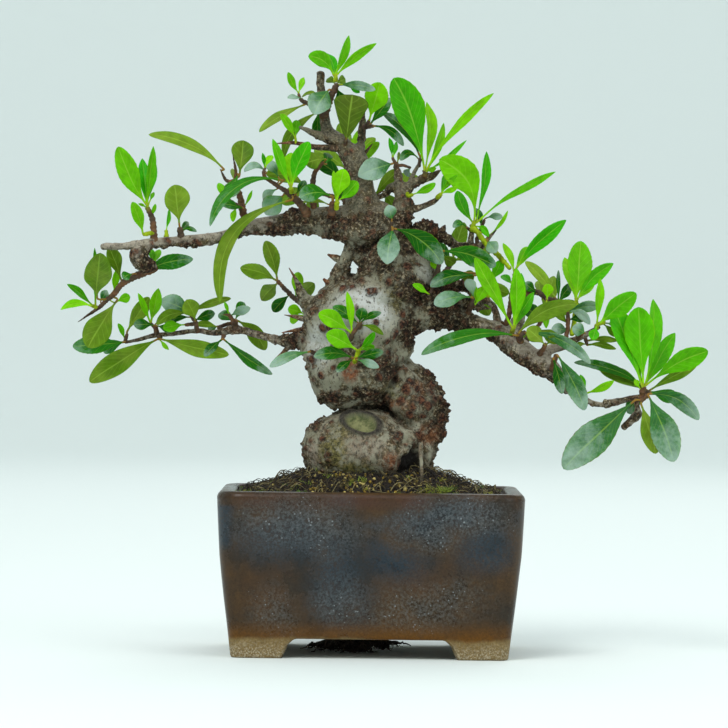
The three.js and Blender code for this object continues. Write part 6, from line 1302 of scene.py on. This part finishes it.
# Corky warts that stand out on the front: x, z and size across
frontWarts = [(15, 108.5, 3.6), (7, 119, 3), (2.5, 114.5, 3), (-24.5, 116, 3.2), (-21, 109.5, 3),
              (-15.5, 114, 2.6), (-13, 145, 3.4), (-8, 146, 2.6), (-2.5, 144, 3), (1, 144.5, 2.6),
              (1.5, 132, 2.8), (12.5, 134, 3), (-21, 129, 3.4), (-18.2, 129, 2.8), (13.5, 154, 3.6),
              (5, 147.5, 3), (22, 112, 3.4), (24, 104, 3), (9.2, 126, 4.4), (3.3, 110.6, 3.4),
              (12.8, 105, 4.6), (20, 101.5, 3.6), (24.4, 107.4, 3.4), (18.5, 105.5, 3.2), (27.5, 93, 4),
              (23, 98, 3.8), (18.6, 88, 3.4), (15, 94, 3.4), (25.5, 101.5, 3.4), (20.5, 94, 3),
              (10.5, 101, 3.2), (11.5, 129.5, 3.4), (6, 123, 2.6), (17, 98, 3), (-20, 86, 2.6),
              (12, 88, 2.6), (-7, 102, 2.8), (6.5, 119.5, 2.6)]
scar = {"x": -4, "z": 91.3, "halfWidth": 8.4, "halfHeight": 4.4, "tilt": -14, "ring": 1.3, "dish": 1.1}


# Points of a ball of radius 1: rings at polar angles from the top, with every second ring turned by twist.
def ball(polar, sides, twist=0.0):
    polar = np.asarray(polar)[:, None]
    turn = np.linspace(0, 2 * math.pi, sides, endpoint=False) + twist * (np.arange(len(polar))[:, None] % 2)
    ways = [np.sin(polar) * np.cos(turn), np.sin(polar) * np.sin(turn), np.cos(polar) + 0 * turn]
    return np.stack(ways, -1).reshape(-1, 3)


# Its rings run down, so its faces are turned round.
def ballFaces(rings, sides):
    return [part[:, ::-1] for part in closedFaces(rings, sides)]


# Closed grid over an ellipsoid, with broad low swellings.
def ellipsoid(lobe):
    x, y, z = lobe[:3]
    rings, sides = wood["lobeRings"], wood["lobeSides"]
    way = ball(np.linspace(0.03, math.pi - 0.03, rings), sides)
    swell = (np.sin(5.1 * way[:, 0] + 2.3 * way[:, 2] + x) + np.sin(4.7 * way[:, 2] - 3.9 * way[:, 1] + z)
             + np.sin(6.1 * way[:, 1] + 2.9 * way[:, 0] + y))
    points = np.array(lobe[:3]) + way * (np.array(lobe[3:]) + wood["lobeWave"] * swell[:, None])
    return points, ballFaces(rings, sides)


# Distance to the nearest of one random spot in each cell of a lattice, as a share of the cell, the
# distance to the second nearest, and a random number for the nearest spot.
def cells(points, size, seed):
    place = points / size
    home = np.floor(place).astype(np.int64)
    nearest, second, value = np.full(len(points), 9.0), np.full(len(points), 9.0), np.zeros(len(points))
    for corner in range(27):
        cell = home + np.array([corner % 3, corner // 3 % 3, corner // 9]) - 1
        x, y, z = (cell & 0xFFFF).T
        mixed = ((x * 73856093) ^ (y * 19349663) ^ (z * 83492791) ^ (seed * 2654435761)) & 0xFFFFFFFF
        spot = []
        for _ in range(4):
            mixed = ((mixed ^ (mixed >> 15)) * 2246822519) & 0xFFFFFFFF
            mixed = mixed ^ (mixed >> 13)
            spot.append(mixed / 4294967296)
        distance = np.linalg.norm(cell + np.array(spot[:3]).T - place, axis=1)
        closer = distance < nearest
        second = np.where(closer, nearest, np.minimum(second, distance))
        value = np.where(closer, spot[3], value)
        nearest = np.where(closer, distance, nearest)
    return nearest, second, value


# One even skin over parts that run into each other, as points and quads.
def remesh(points, faces, voxel):
    source = bpy.data.meshes.new("rough")
    source.from_pydata((points / 1000).tolist(), [], [face.tolist() for group in faces for face in group])
    body = bpy.data.objects.new("rough", source)
    bpy.context.scene.collection.objects.link(body)
    shell = body.modifiers.new("skin", "REMESH")
    shell.mode, shell.voxel_size = "VOXEL", voxel / 1000
    made = body.evaluated_get(bpy.context.evaluated_depsgraph_get()).to_mesh()
    co = np.empty(len(made.vertices) * 3, np.float32)
    made.vertices.foreach_get("co", co)
    quads = np.empty(len(made.loops), np.int32)
    made.loops.foreach_get("vertex_index", quads)
    bpy.data.objects.remove(body)
    bpy.data.meshes.remove(source)
    return 1000.0 * co.reshape(-1, 3).astype(float), quads.reshape(-1, 4)


def sumAt(index, values, count):
    return np.stack([np.bincount(index, values[:, k], count) for k in range(values.shape[1])], -1)


# Moves each point halfway to the middle of its neighbours, some times over.
def relax(points, quads, times):
    starts = np.concatenate([quads[:, k] for k in range(4)])
    ends = np.concatenate([quads[:, (k + 1) % 4] for k in range(4)])
    count = np.bincount(starts, minlength=len(points))[:, None]
    for _ in range(times):
        points = 0.5 * points + 0.5 * sumAt(starts, points[ends], len(points)) / count
    return points


def normalsOf(points, quads):
    a, b, c, d = (points[quads[:, k]] for k in range(4))
    flat = np.cross(c - a, d - b)
    return unit(sum(sumAt(quads[:, k], flat, len(points)) for k in range(4)))


# 1 in the middle of a soft ellipsoid and 0 from its edge out.
def blob(points, middle, reach):
    return smooth(1 - np.linalg.norm((points - np.array(middle)) / reach, axis=1), 0, 0.6)


# Soft patches on the bark, each a middle and a reach in mm and a strength: where cork is thick or missing,
# and where the skin is rusty, mossy or pale
patches = {
    "cork": [([19, 0, 103], [19, 26, 21], 0.66), ([29, 0, 94], [10, 28, 26], 1.0),
             ([-6, -8, 101], [23, 20, 9], 1.0), ([12, 0, 144], [17, 24, 22], 0.95),
             ([22, 0, 86], [11, 26, 13], 0.9), ([-24, 0, 92], [9, 26, 8], 0.85),
             ([0, -14, 113], [14, 12, 10], 0.7), ([1, -8, 154], [14, 14, 8], 0.85),
             ([-27, 0, 80], [6, 26, 12], 0.6), ([0, 14, 120], [26, 9, 30], 0.6),
             ([15, -8, 127], [9, 14, 12], 0.8)],
    "bare": [([-5, -16, 134], [21, 17, 15], 0.96), ([-20, -8, 124], [8, 14, 15], 0.8),
             ([-3, -18, 82], [15, 14, 9], 0.6), ([19.5, -9, 150], [5, 9, 7], 0.45),
             ([-22, -12, 79], [5, 10, 7], 0.6), ([-6, 14, 134], [17, 10, 13], 0.8)],
    "rust": [([-9, -18, 112], [4.5, 9, 7], 1.0), ([7.4, -18, 77], [5.5, 9, 6], 1.0),
             ([18, -12, 105], [4, 9, 5], 0.5), ([8, -16, 99], [9, 9, 3.5], 0.6),
             ([22, -10, 87], [7, 9, 6], 0.6), ([-12, 16, 92], [9, 8, 8], 0.6)],
    "crease": [([-2, -8, 99], [27, 26, 8], 1.0), ([10, -6, 108], [9, 22, 14], 1.0),
               ([8, -4, 96], [22, 24, 9], 0.8)],
    "moss": [([-15, -16, 80], [8, 10, 9], 1.0), ([-7, -18, 72], [14, 9, 6], 1.0),
             ([9, -14, 104], [6, 9, 5], 0.7), ([8, -10, 141], [6, 12, 12], 0.5),
             ([-12, -14, 88], [7, 9, 5], 0.6), ([10, 16, 78], [13, 9, 9], 0.8)],
    "pale": [([-1, -18, 82], [12, 10, 6], 0.6), ([-23, -10, 79], [5, 10, 7], 0.8),
             ([-4, -16, 136], [19, 14, 12], 1.0), ([19.5, -8, 150], [5, 10, 7], 0.5),
             ([-21, -10, 122], [8, 12, 13], 0.8), ([-7, 14, 132], [15, 10, 12], 0.9)],
}


def patched(points, kind):
    return np.max([share * blob(points, middle, reach) for middle, reach, share in patches[kind]], axis=0)


# 1 on the limbs away from the trunk and 0 on the trunk.
def slimness(points):
    x, _, z = points.T
    return np.maximum(np.maximum(smooth(-x, 31, 44), smooth(x, 36, 50)), smooth(z, 172, 184))


# How thickly cork covers each place, from the patches, with ragged edges.
def corkiness(points, normals):
    x, _, z = points.T
    cork = np.maximum(0.4, patched(points, "cork"))
    cork = np.maximum(cork, 0.75 * smooth(z, 154, 160) * (1 - smooth(z, 170, 180)))
    cork = np.maximum(cork, 0.85 * smooth(x, 19, 25) * smooth(z, 117, 124))
    cork = np.maximum(cork, 0.8 * smooth(-x, 27.5, 31))
    cork = cork * (1 - patched(points, "bare"))
    # limbs: smooth and grey on top, corky and darker below; the darker colour below is partly painted shade
    limb = slimness(points)
    cork = cork * (1 - limb) + limb * (0.4 - 0.32 * normals[:, 2])
    cork = np.maximum(cork, 0.9 * blob(points, [-93, -13, 155.5], [11, 12, 9.5]))
    return np.clip(cork * (1 + 0.55 * noise(points, 8, 21, 3)), 0, 1)


# Uneven thickness of the stout limbs and of the twigs.
def swelling(points, _):
    return 0.10 * noise(points, 7, 5, 2)


def knobs(points, _):
    return 0.16 * noise(points, 1.7, 6, 2) + 0.07 * noise(points, 5, 8, 1)


# Limbs as stout runs, which melt into the trunk, and thin runs, which stay tubes.
def limbSkins():
    thick, thin = [], []
    for name, knots in limbs.items():
        line = np.column_stack([seen(knots), np.array(knots)[:, 3]])
        path = curveThrough(line, wood["limbStep"])
        stout = path[:, 3] > wood["thinLimb"]
        if stout.any():
            last = min(len(path) - 1, np.flatnonzero(stout)[-1] + 3)
            first = max(0, np.flatnonzero(stout)[0] - 3)
            thick.append(tube(path[first:last + 1], wood["limbSides"], swelling)[:2])
            pieces = [path[:first + 2]] * (first > 0) + [path[last - 2:]] * (last < len(path) - 1)
        else:
            pieces = [path]
        for run in pieces:
            if len(run) > 2:
                skin = tube(curveThrough(run, wood["twigStep"]), wood["twigSides"], knobs)
                grey = np.full(len(skin[0]), name in wood["greyTwigs"])
                thin.append(skin[:2] + (grey, skin[2] * ("thorn" in name)))
    return thick, thin


# The warts that stand out by themselves: each flattens what lies below it, and has a dark line round it,
# partly dark bark and partly painted shade at its foot.
def addWarts(points, normals, away, brown, dark):
    for x, z, size in frontWarts:
        spot = np.flatnonzero((np.hypot(points[:, 0] - x, points[:, 2] - z) < 1.2) & (normals[:, 1] < 0))
        if len(spot):
            middle = points[spot[np.argmin(points[spot, 1])]]
            reach = np.linalg.norm((points - middle) / [1, 1, 1.15], axis=1) / (size / 2)
            body = smooth(1.15 - reach * (1 + 0.25 * noise(points, 1.6, 15, 1)), 0, 0.5)
            ripple = 0.35 * noise(points * [1, 1, 0.45], 0.8, 19, 2)
            away = away * (1 - 0.6 * body) + body * (0.8 - 0.2 * smooth(0.6 - reach, 0, 0.3) + ripple)
            brown = np.maximum(brown * (1 - body), body)
            dark = np.maximum(dark * (1 - body), 0.7 * smooth(0.16 - np.abs(reach - 1.12), 0, 0.12))
    return away, brown, dark


# Old cut: a dark ring of callus round a shallow dish, on the front alone.
def addScar(points, normals, away, brown):
    c, s = math.cos(math.radians(scar["tilt"])), math.sin(math.radians(scar["tilt"]))
    dx, dz = points[:, 0] - scar["x"], points[:, 2] - scar["z"]
    u, v = (c * dx + s * dz) / scar["halfWidth"], (-s * dx + c * dz) / scar["halfHeight"]
    reach = np.hypot(u, v) + 0.05 * noise(points, 4, 23, 2) + 9 * (normals[:, 1] > -0.1)
    ring = smooth(0.26 - np.abs(reach - 0.86), 0, 0.2)
    inside = smooth(0.78 - reach, 0, 0.12)
    away = away * (1 - np.maximum(ring, inside)) + scar["ring"] * ring - scar["dish"] * inside
    away = away + 0.12 * inside * noise(points, 1.2, 29, 2)
    return away, brown * (1 - np.maximum(ring, inside)), ring, inside


# Trunk and limbs in one skin, with creases, cork, warts, the old cut and the hollow by the aerial root.
def makeWood():
    thick, thin = limbSkins()
    points, faces = join([ellipsoid(lobe) for lobe in lobes] + thick)
    points, quads = remesh(points, faces, wood["voxel"])
    points = relax(points, quads, wood["smoothing"])
    normals = normalsOf(points, quads)
    # creases: wherever the skin lies below a far smoother copy of itself, it is cut deeper
    hollow = np.sum((relax(points, quads, 45) - points) * normals, axis=1)
    hollow = smooth(hollow, 0.12, 0.9) * (0.35 + 0.65 * patched(points, "crease"))
    away = 0.5 * noise(points, 14, 3, 3) - wood["crease"] * hollow
    x, _, z = points.T
    # bark: fine grain, small crumbs of cork, and craters in plates that run together where the cork is thick
    cork = corkiness(points, normals)
    bent = points + 1.1 * np.stack([noise(points, 4, k, 3) for k in (41, 42, 43)], -1)
    near, second, value = cells(bent, wood["cellSize"], wood["seed"])
    cover = smooth(cork + 0.45 * noise(points, 6, 51, 2), 0.75 * value + 0.1, 0.75 * value + 0.3)
    size = 0.42 + 0.25 * np.mod(7.3 * value, 1)
    plate = cover * smooth(size - near, 0, 0.16) * smooth(second - near, 0.02, 0.14)
    crater = smooth(0.6 * size - near, 0, 0.2)
    crumbNear, crumbSecond, crumbValue = cells(bent, wood["crumbSize"], 83)
    crumb = smooth(cork, 0.35, 0.8) * smooth(crumbSecond - crumbNear, 0, 0.5) * (0.4 + 0.9 * crumbValue)
    away = away + (wood["grain"] + 0.32 * cork) * noise(points, 1.7, 9, 3)
    crust = 1 + 0.5 * smooth(x, 21, 28) * smooth(114 - z, 0, 8)
    lobe = smooth(x, 6, 16) * smooth(120 - z, 0, 6)
    away = away + lobe * (1.3 * noise(points, 9, 77, 2) - 1.4 * np.abs(noise(points, 12, 78, 2)))
    away = away + crust * wood["plateHeight"] * plate * (1 - 0.5 * crater) * (0.5 + 0.9 * value)
    away = away + wood["crumbHeight"] * crumb
    brown = plate * (0.75 + 0.25 * crater)
    # painted shade: creases are darkened in colour, and so are the cracks between cork plates and crumbs,
    # which are partly dark bark
    dark = np.maximum(0.85 * hollow, 0.75 * smooth(cork, 0.3, 0.7) * smooth(0.13 - (second - near), 0, 0.12))
    dark = np.maximum(dark, 0.6 * smooth(cork, 0.5, 0.9) * smooth(0.16 - (crumbSecond - crumbNear), 0, 0.12))
    limb = slimness(points)
    away = away * (1 - 0.5 * limb) - 0.3 * limb
    away, brown, dark = addWarts(points, normals, away, brown, dark)
    away, brown, ring, inside = addScar(points, normals, away, brown)
    # hollow under the flare where the aerial root comes out
    pit = 1.1 - np.linalg.norm((points - [16.5, -17, 73]) / [8.5, 9, 9.5], axis=1)
    pit = smooth(pit + 0.22 * noise(points, 4, 91, 2), 0, 0.4)
    away = away - 3.6 * pit
    # painted shade: the hollow is darkened in colour as well as cut in
    dark = np.maximum(dark, pit)
    points = points + normals * away[:, None]
    zones = np.column_stack([np.clip(brown, 0, 1), ring, inside, cork])
    # painted shade and dark cracks, kept off the face of the old cut
    tones = [np.clip(dark * (1 - inside), 0, 1)]
    tones += [patched(points, kind) for kind in ("rust", "moss", "pale")]
    print("bark relief")
    return points, quads, zones, np.column_stack(tones), thin


# Cork, speckled from nearly black to ash grey
corkPaint = [
    (None, None, ("fine", 0.43, 0.53), "#17110B", "#57452E"),
    (("fine", 0.56, 0.61), None, None, "#B3A68B"),
    (("mid", 0.5, 0.62, 0.4), None, None, "#6A6344")]

# Firethorn bark: smooth pale grey skin that breaks into rough brown cork, rusty and mossy near the soil.
# Coats: skin on the trunk, limbs and crown, pale skin, mud near the soil, flecks, cork, moss, rust, warts,
# the painted shade of the creases, cracks and hollows, and the ring and the face of the old cut.
bark = {
    "name": "corky firethorn bark",
    "noises": {"broad": (9, 5, 0.7), "mid": (3.4, 5, 0.7), "fine": (1.2, 5, 0.7), "tiny": (0.9, 5, 0.7),
               "flecks": (1.0, 5, 0.6, (1, 1, 0.45)), "streaks": (2.2, 5, 0.7, (0.35, 1, 1))},
    "layers": {"zones": ("wart", "ring", "cut", "cork"), "tones": ("dark", "rust", "moss", "pale")},
    "steps": [
        ("low", ("height", 0.102, 0.094, 1, 0, "SMOOTHSTEP")),
        ("side", "ABSOLUTE", "side"),
        ("limb", ("side", 0.03, 0.045)),
        ("rough", "SUBTRACT", ("mid", 0.3, 0.7), 0.5),
        ("rough", "ADD", "cork", "rough"),
        ("relief", "MULTIPLY", "fine", ("cork", 0, 1, 2.0, 0.35))],
    "coats": [
        (None, None, ("broad", 0.35, 0.65), "#77745F", "#96937F"),
        ("limb", None, ("streaks", 0.38, 0.62), "#746A5B", "#A49B8A"),
        (("height", 0.162, 0.178, 0.8), ("limb", 1, 0), ("tiny", 0.42, 0.58), "#2C2518", "#756C56"),
        ("pale", ("mid", 0.3, 0.55), "low", "#B7B9B4", "#A99C8B"),
        ("low", ("mid", 0.42, 0.56, 0.8), ("fine", 0.42, 0.56), "#2E261A", "#7C6854"),
        (("flecks", 0.58, 0.64, 0.85), None, None, "#36312A"),
        (("rough", 0.3, 0.62), None, None, corkPaint),
        ("moss", ("mid", 0.36, 0.5, 0.9), ("fine", 0.4, 0.6), "#2F2F15", "#7E7540"),
        ("rust", ("mid", 0.36, 0.54, 0.9), ("fine", 0.4, 0.6), "#5C2C16", "#9A5A36"),
        ("wart", None, ("fine", 0.44, 0.58), "#1F1009", "#68402A"),
        # painted shade of the creases, cracks and hollows, partly dark bark in the cracks
        ("dark", None, None, "#15100B"),
        ("ring", None, ("fine", 0.4, 0.6), "#1E1B17", "#4A443A"),
        ("cut", None, ("mid", 0.4, 0.6), "#4B5230", "#85855A")],
    "bump": ("relief", 1.0, 0.0008),
    "surface": {"Roughness": ("cork", 0, 1, 0.9, 0.55), "IOR": 1.45, "Specular IOR Level": 0.3}}


barkMaterial = newMaterial(bark)
woodPoints, woodQuads, woodZones, woodTones, twigs = makeWood()
makePiece("trunkAndLimbs", woodPoints, [woodQuads], barkMaterial, "bark", ["wood"],
          {"zones": woodZones, "tones": woodTones})
twigPoints, twigFaces = join([twig[:2] for twig in twigs])
twigGrey, twigTip = (np.concatenate([twig[k] for twig in twigs]).astype(float) for k in (2, 3))
twigWart = 0.6 * smooth(noise(twigPoints, 1.9, 33, 2), 0.1, 0.5) * (1 - twigGrey)
none = np.zeros(len(twigPoints))
makePiece("twigsAndThorns", twigPoints, twigFaces, barkMaterial, "bark", ["wood"],
          {"zones": np.column_stack([twigWart, none, none, 0.58 - 0.4 * twigGrey]),
           "tones": np.column_stack([none, 0.8 * smooth(twigTip, 0.3, 0.9), none, none])})
print("wood done")


# Soil: level with the rim at the walls, mounded round the trunk, with loose granules, moss and fine roots
soil = {"edge": 63.2, "mound": 13, "slope": 1.6, "reachX": 50, "reachY": 38, "crumb": 2.6, "crumbHeight": 1.1,
        "wall": [[14.9, -12, 0.02], [14.9, -12, 1], [17, -9.8, 1], [30, -8.6, 1], [50, -7, 1], [61, -6.7, 1]],
        "rings": 56,
        "grains": 2800, "grainSize": (0.35, 0.9), "mossTufts": 71, "frontTufts": 14, "mossBlades": 16,
        "hairs": 1150, "hairStep": 0.8, "seed": 404}
soilColours = {"grains": ("#8E7424", "#C8B46A", "#15100A", "#1E170E", "#33240F", "#38342A", "#4A3A16"),
               "moss": ("#5E7A1E", "#7F9128", "#8A8B2E", "#4F7D1A"),
               "hairs": ("#120D08", "#1A130B", "#2A1F12", "#3B3016", "#524621", "#857A52")}


# The rim's level, plus a bell over an ellipse, plus crumbs.
def soilHeight(x, y):
    inside = np.maximum(0, 1 - (x / soil["reachX"]) ** 2 - (y / soil["reachY"]) ** 2)
    dome = soil["mound"] * inside ** soil["slope"]
    spots = np.column_stack([x, y, 0.3 * x])
    near, _, value = cells(spots, soil["crumb"], 17)
    small, _, other = cells(spots, soil["crumb"] / 2.3, 19)
    crumbs = (0.75 - near) * (0.5 + value) + 0.4 * (0.7 - small) * (0.4 + other)
    return soil["edge"] + dome + soil["crumbHeight"] * crumbs + 0.8 * noise(spots, 12, 25, 2)


# Rings of the pot's inner outline: from the middle of the floor out, up the wall, and over the top back in.
def makeSoilBed():
    rings = []
    for z, inset, share in soil["wall"]:
        plan = potOutline(inset) * share
        rings.append(np.column_stack([plan, np.full(len(plan), z)]))
    edge = potOutline(-6.8)
    for share in np.linspace(1, 0.06, soil["rings"]):
        plan = edge * share
        rings.append(np.column_stack([plan, soilHeight(*plan.T)]))
    return np.vstack(rings), closedFaces(len(rings), len(edge))


# Places on the soil, inside the walls and outside the trunk, with their height.
def scatter(draw, count, reachX=51, reachY=35.5):
    x, y = draw.uniform(-reachX, reachX, count * 2), draw.uniform(-reachY, reachY, count * 2)
    free = (np.hypot(x / 23, y / 18) > 1) & (0.55 * (np.abs(x) / reachX + np.abs(y) / reachY) < 1)
    x, y = x[free][:count], y[free][:count]
    return np.column_stack([x, y, soilHeight(x, y)])


# Small closed grid of four rings of five, knocked about: a granule of half width about 1.
def pebble(draw):
    points = ball([0.35, 1.1, 1.9, 2.75], 5, 0.6)
    return points * draw.uniform(0.75, 1.15, (len(points), 1)) * draw.uniform(0.75, 1.2, 3)


def makeGrains(draw):
    places = scatter(draw, soil["grains"])
    palette = np.array([linear(colour) for colour in soilColours["grains"]])
    parts, tints = [], []
    for place in places:
        size = draw.uniform(*soil["grainSize"])
        points = pebble(draw) * size + place + [0, 0, 0.25 * size]
        parts.append((points, ballFaces(4, 5)))
        golden = 0.4 if abs(place[0] + 1) < 24 and place[1] < -12 else 0.08
        pick = draw.integers(0, 2) if draw.random() < golden else draw.integers(2, 7)
        tints.append(np.tile(palette[pick] * draw.uniform(0.6, 1.1), (len(points), 1)))
    return parts, tints


# Tufts of pointed blades that lean out from each tuft's middle, and taper as 1 - t^2.
def makeMoss(draw):
    places = scatter(draw, soil["mossTufts"])
    x, y = draw.normal(26, 3.2, soil["frontTufts"]), draw.normal(-31, 2, soil["frontTufts"])
    near = np.column_stack([x, y, soilHeight(x, y)])
    parts, tints = [], []
    for number, place in enumerate(np.vstack([places, near])):
        tall = draw.uniform(1.2, 2.6) if number < len(places) else draw.uniform(2.4, 4.4)
        tint = np.array(linear(soilColours["moss"][draw.integers(0, 4)]))
        for _ in range(soil["mossBlades"]):
            lean = draw.normal(0, 0.5, 2)
            start = place + np.array([*draw.normal(0, 0.9, 2), -0.5])
            t = np.linspace(0, 1, 4)[:, None]
            path = start + np.hstack([lean * t ** 1.5 * tall, t * tall * draw.uniform(0.6, 1.1)])
            path = np.hstack([path, 0.17 * (1 - 0.9 * t ** 2)])
            points, faces, _ = tube(path, 4)
            parts.append((points, faces))
            tints.append(np.tile(tint * draw.uniform(0.7, 1.3), (len(points), 1)))
    return parts, tints


# Fine roots that wander over the soil, rise a little and dive back in: a random heading that drifts.
def makeHairs(draw):
    parts, tints = [], []
    places = scatter(draw, soil["hairs"])
    for place in places:
        steps = draw.integers(8, 18)
        heading = draw.uniform(0, 2 * math.pi) + np.cumsum(draw.normal(0, 0.32, steps))
        x = place[0] + np.cumsum(np.cos(heading)) * soil["hairStep"]
        y = place[1] + np.cumsum(np.sin(heading)) * soil["hairStep"]
        inside = (np.abs(x) < 51) & (np.abs(y) < 35)
        x, y = x[inside], y[inside]
        if len(x) < 5:
            continue
        share = np.linspace(0, 1, len(x))
        lift = draw.uniform(0.2, 3.4) * np.sin(math.pi * share) + 0.5 * np.sin(5 * share + heading[0]) - 0.1
        level = 0.4 * soilHeight(x, y) + 0.6 * np.linspace(place[2], soilHeight(x[-1:], y[-1:])[0], len(x))
        path = np.column_stack([x, y, level + lift, draw.uniform(0.12, 0.26) * (1.1 - 0.7 * share)])
        points, faces, _ = tube(path, 4)
        parts.append((points, faces))
        tint = np.array(linear(soilColours["hairs"][draw.integers(0, 6)]))
        tints.append(np.tile(tint, (len(points), 1)))
    return parts, tints


# Roots that hang out under the drain hole, drawn from the same row of random numbers as the solid's
drain = {"roots": 7, "seed": 21, "x": -4, "plug": [[12.7, 3.2], [8, 4.2], [3, 5.2]],
         "knots": (0, 0.3, 0.65, 1), "fine": 330, "fineSteps": 10, "crumbs": 120, "lowest": 1.7}


def matted(points, _):
    return 0.3 * noise(points, 1.8, 63, 2)


# A plug of matted roots in the hole, seven roots that spread from it, and fine ones among them.
def makeDrainRoots(draw):
    state = drain["seed"]
    rolls = []
    for _ in range(3 * drain["roots"]):
        state = (state * 1664525 + 1013904223) % 4294967296
        rolls.append(state / 4294967296)
    runs = [[[drain["x"], 0, z, half] for z, half in drain["plug"]]]
    for i in range(drain["roots"]):
        first, second, third = rolls[3 * i:3 * i + 3]
        heading = math.pi * (0.55 + 0.9 * (i + first) / drain["roots"] + (i % 4 == 0))
        length, bend = (11 + 13 * second) * (0.72 if math.cos(heading) > 0 else 1), 4 * third - 2
        runs.append([[drain["x"] + length * s * math.cos(heading) - bend * s * s * math.sin(heading),
                      length * 0.7 * s * math.sin(heading) + bend * s * s * math.cos(heading),
                      5.4 + 0.9 * math.sin(4 * s + i) - 2.6 * s, 1.3 - 0.7 * s] for s in drain["knots"]])
    parts = []
    for run in runs:
        line = np.column_stack([seen(run), np.array(run)[:, 3]])
        parts.append(tube(curveThrough(line, 0.8), 12, matted)[:2])

    def spotOnRun(furthest):
        run = np.array(runs[draw.integers(1, len(runs))])
        share = draw.uniform(0, furthest)
        return np.array([np.interp(share, drain["knots"], run[:, k]) for k in range(3)])

    count = drain["fineSteps"]
    for _ in range(drain["fine"]):
        start = spotOnRun(1)
        heading = draw.uniform(0, 2 * math.pi) + np.cumsum(draw.normal(0, 0.4, count))
        step = draw.uniform(0.3, 0.75)
        steps = np.column_stack([np.cos(heading), 0.7 * np.sin(heading), draw.normal(-0.4, 0.5, count)])
        path = start + np.cumsum(steps, 0) * step
        path[:, 2] = np.clip(path[:, 2], 0.5, 7.2)
        path = np.column_stack([path, draw.uniform(0.18, 0.5) * np.linspace(1, 0.4, count)])
        parts.append(tube(path, 4)[:2])
    for _ in range(drain["crumbs"]):
        start = spotOnRun(0.9)
        crumb = pebble(draw) * draw.uniform(0.5, 1.2)
        place = start + draw.normal(0, 0.8, 3) - [0, 0, 1.2]
        place[2] = max(place[2], drain["lowest"])
        parts.append((crumb + place, ballFaces(4, 5)))
    return join(parts)


# Damp potting grit: dark humus with ochre dust in its hollows.
grit = {
    "name": "damp potting grit",
    "noises": {"mottle": (2.6, 6, 0.7), "patch": (9, 3, 0.5)},
    "coats": [(None, None, ("mottle", 0.38, 0.62), "#0D0905", "#281C0D"),
              (("mottle", 0.56, 0.66), ("patch", 0.45, 0.6), None, "#8A6A28")],
    "bump": ("mottle", 0.9, 0.0008), "surface": {"Roughness": 0.9}}

# Fine roots matted with humus: nearly black brown.
fibre = {
    "name": "matted root fibre",
    "noises": {"mottle": (1.5, 5, 0.7)},
    "coats": [(None, None, ("mottle", 0.42, 0.68), "#1A130E", "#46382A")],
    "bump": ("mottle", 0.8, 0.0004), "surface": {"Roughness": 0.85}}

# Polyethylene mesh: black, slightly waxy, with dust.
netPlastic = {
    "name": "black mesh plastic",
    "noises": {"dust": (2, 4, 0.65)},
    "coats": [(None, None, ("dust", 0.48, 0.68), "#1B1D1B", "#4A4336")],
    "surface": {"Roughness": ("dust", 0, 1, 0.75, 0.35)}}


# A matt material in each piece's own tint, broken up by noise of the given grain in mm.
def tinted(name, roughness, grain):
    return newMaterial({
        "name": name, "noises": {"mottle": (grain, 4, 0.65)}, "layers": {"tint": ()},
        "coats": [(None, None, None, "tint"), ("shade", ("mottle", 0.3, 0.7, 1.35, 0.6))],
        "bump": ("mottle", 0.6, 0.0003), "surface": {"Roughness": roughness}})


bedPoints, bedFaces = makeSoilBed()
makePiece("soilBed", bedPoints, bedFaces, newMaterial(grit), "soil", ["soil"])
dice = np.random.default_rng(soil["seed"])
for pieceName, make, skin, slot in (
        ("soilGrains", makeGrains, ("fired clay granules", 0.85, 1.1), "soil"),
        ("mossTufts", makeMoss, ("moss", 0.7, 1.0), "soil"),
        ("surfaceRoots", makeHairs, ("fine surface roots", 0.8, 1.2), "roots")):
    skins, tints = make(dice)
    makePiece(pieceName, *join(skins), tinted(*skin), slot, layers={"tint": np.vstack(tints)})
makePiece("mattedDrainRoots", *makeDrainRoots(dice), newMaterial(fibre), "roots", ["drain_roots"])
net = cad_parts["drain_mesh"]
net.data.materials.clear()
net.data.materials.append(newMaterial(netPlastic))
print("soil, moss and roots done")
